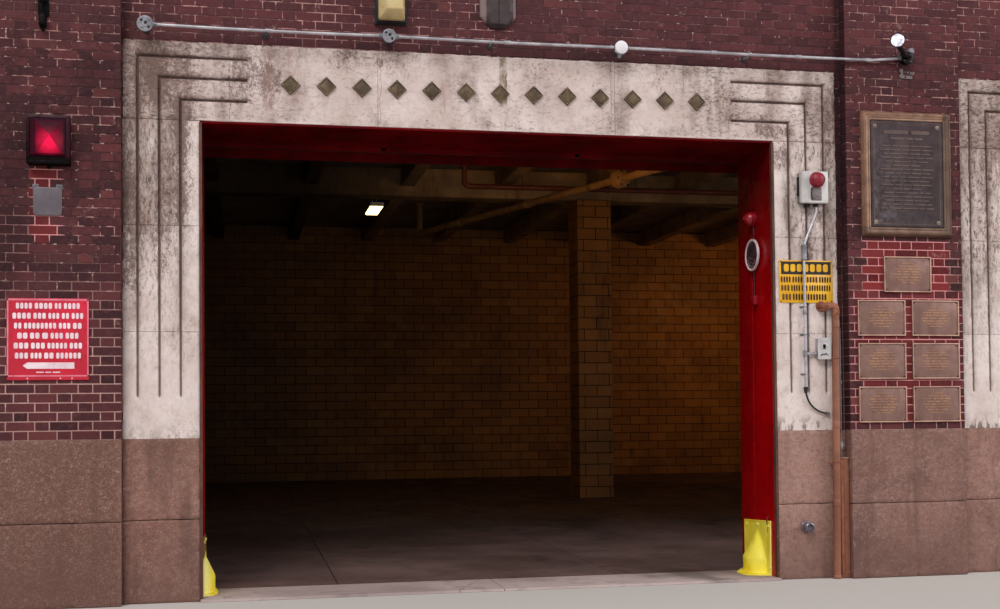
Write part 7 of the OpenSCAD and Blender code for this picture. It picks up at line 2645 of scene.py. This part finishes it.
# lozenge ornaments on the lintel
b = Builder()
for i in range(-6, 7):
    cx_, cz = -3512.0 + i * 280.0, 4010.0
    h = 110 / math.sqrt(2)
    bm = bmesh.new()
    loops_ = []
    for r_, y in ((h, 95), (h, 85), (h - 3, 80), (h - 12, 79), (h - 15, 83), (h - 22, 84), (h - 26, 80), (h * 0.36, 75.5)):
        loops_.append([bm.verts.new((cx_ + r_ * a, y, cz + r_ * c_)) for a, c_ in ((1, 0), (0, 1), (-1, 0), (0, -1))])
    tip = bm.verts.new((cx_, 73.2, cz))
    for p, q in zip(loops_, loops_[1:]):
        for k_ in range(4):
            bm.faces.new((p[k_], p[(k_ + 1) % 4], q[(k_ + 1) % 4], q[k_]))
    for k_ in range(4):
        bm.faces.new((loops_[-1][k_], loops_[-1][(k_ + 1) % 4], tip))
    bm.faces.new(loops_[0])
    bmesh.ops.recalc_face_normals(bm, faces=bm.faces)
    bm.verts.index_update()
    bm_part(b, bm, 0, (0.5 + 0.3 * math.sin(i * 2.4), 0, 0.5))
    for a, c_ in ((1, 0), (0, 1), (-1, 0), (0, -1)):
        bolt(b, (cx_ + (h - 17) * a, 83, cz + (h - 17) * c_), (0, -1, 0), 3.5, 1, 3)
piece("lintel_ornament_set", b, [M["bronze"], M["pale_bronze"]], "lintel_ornaments", sharp=25)




# ---------------------------------------------------------------- floor, light and camera
def stage():
    bm = bmesh.new()
    bmesh.ops.create_grid(bm, x_segments=1, y_segments=1, size=120.0)
    me = bpy.data.meshes.new("studio_floor")
    bm.to_mesh(me)
    bm.free()
    ob = bpy.data.objects.new("studio_floor", me)
    ob.location = (0, 0, -0.002)
    bpy.context.scene.collection.objects.link(ob)
    k = Mat("studio_floor", rough=0.85, spec=0.2)
    me.materials.append(k.done(k.mix(k.band(k.noise(0.3, 2), 0.3, 0.7, 0, 0.15), S(196, 190, 184), S(178, 172, 166)), 0.85))


stage()

world = bpy.data.worlds.new("studio")
bpy.context.scene.world = world
world.use_nodes = True
bg = world.node_tree.nodes["Background"]
bg.inputs["Color"].default_value = (0.80, 0.82, 0.86, 1)
bg.inputs["Strength"].default_value = 0.68


def area(name, loc, target, size, power, color=(1, 1, 1)):
    d = bpy.data.lights.new(name, "AREA")
    d.shape = "DISK"
    d.size = size
    d.energy = power
    d.color = color
    ob = bpy.data.objects.new(name, d)
    ob.location = loc
    ob.rotation_euler = (Vector(target) - Vector(loc)).to_track_quat("-Z", "Y").to_euler()
    bpy.context.scene.collection.objects.link(ob)
    return ob


area("key_light", (-16, -30, 26), (-1, -8, 5), 16, 6800, (1.0, 0.97, 0.95))
area("fill_right", (24, -22, 14), (3, -6, 6), 14, 4200, (1.0, 0.97, 0.98))
glow = area("hall_glow", (5.4, 2.4, 4.2), (4.3, 8.2, 2.9), 0.6, 15, (1.0, 0.46, 0.12))
glow.data.spread = math.radians(105)
area("hall_glow_column", (-1.6, -2.2, 4.3), (-0.2, 1.0, 3.0), 0.8, 9, (1.0, 0.48, 0.12))
area("fill_back", (-10, 34, 24), (0, 8, 6), 16, 3600, (1.0, 0.99, 0.97))

yaw, pitch, roll = math.radians(11.5592), math.radians(1.5254), math.radians(-0.5110)
fwd = Vector((math.cos(pitch) * math.sin(yaw), math.cos(pitch) * math.cos(yaw), math.sin(pitch)))
right0 = Vector((math.cos(yaw), -math.sin(yaw), 0))
up0 = -math.sin(pitch) * Vector((math.sin(yaw), math.cos(yaw), 0)) + math.cos(pitch) * Vector((0, 0, 1))
right = math.cos(roll) * right0 + math.sin(roll) * up0
up = -math.sin(roll) * right0 + math.cos(roll) * up0
cam = bpy.data.cameras.new("camera")
cam.sensor_width = 36
cam.lens = 1275 * 36 / 1000
cam.shift_y = (375 - 304.5) / 1000
cam.clip_end = 500
cam_ob = bpy.data.objects.new("camera", cam)
cam_ob.matrix_world = Matrix(((right.x, up.x, -fwd.x, -5.594), (right.y, up.y, -fwd.y, -18.2545), (right.z, up.z, -fwd.z, 1.4543), (0, 0, 0, 1)))
bpy.context.scene.collection.objects.link(cam_ob)
bpy.context.scene.camera = cam_ob
bpy.context.scene.view_settings.view_transform = "Standard"
bpy.context.scene.view_settings.look = "None"
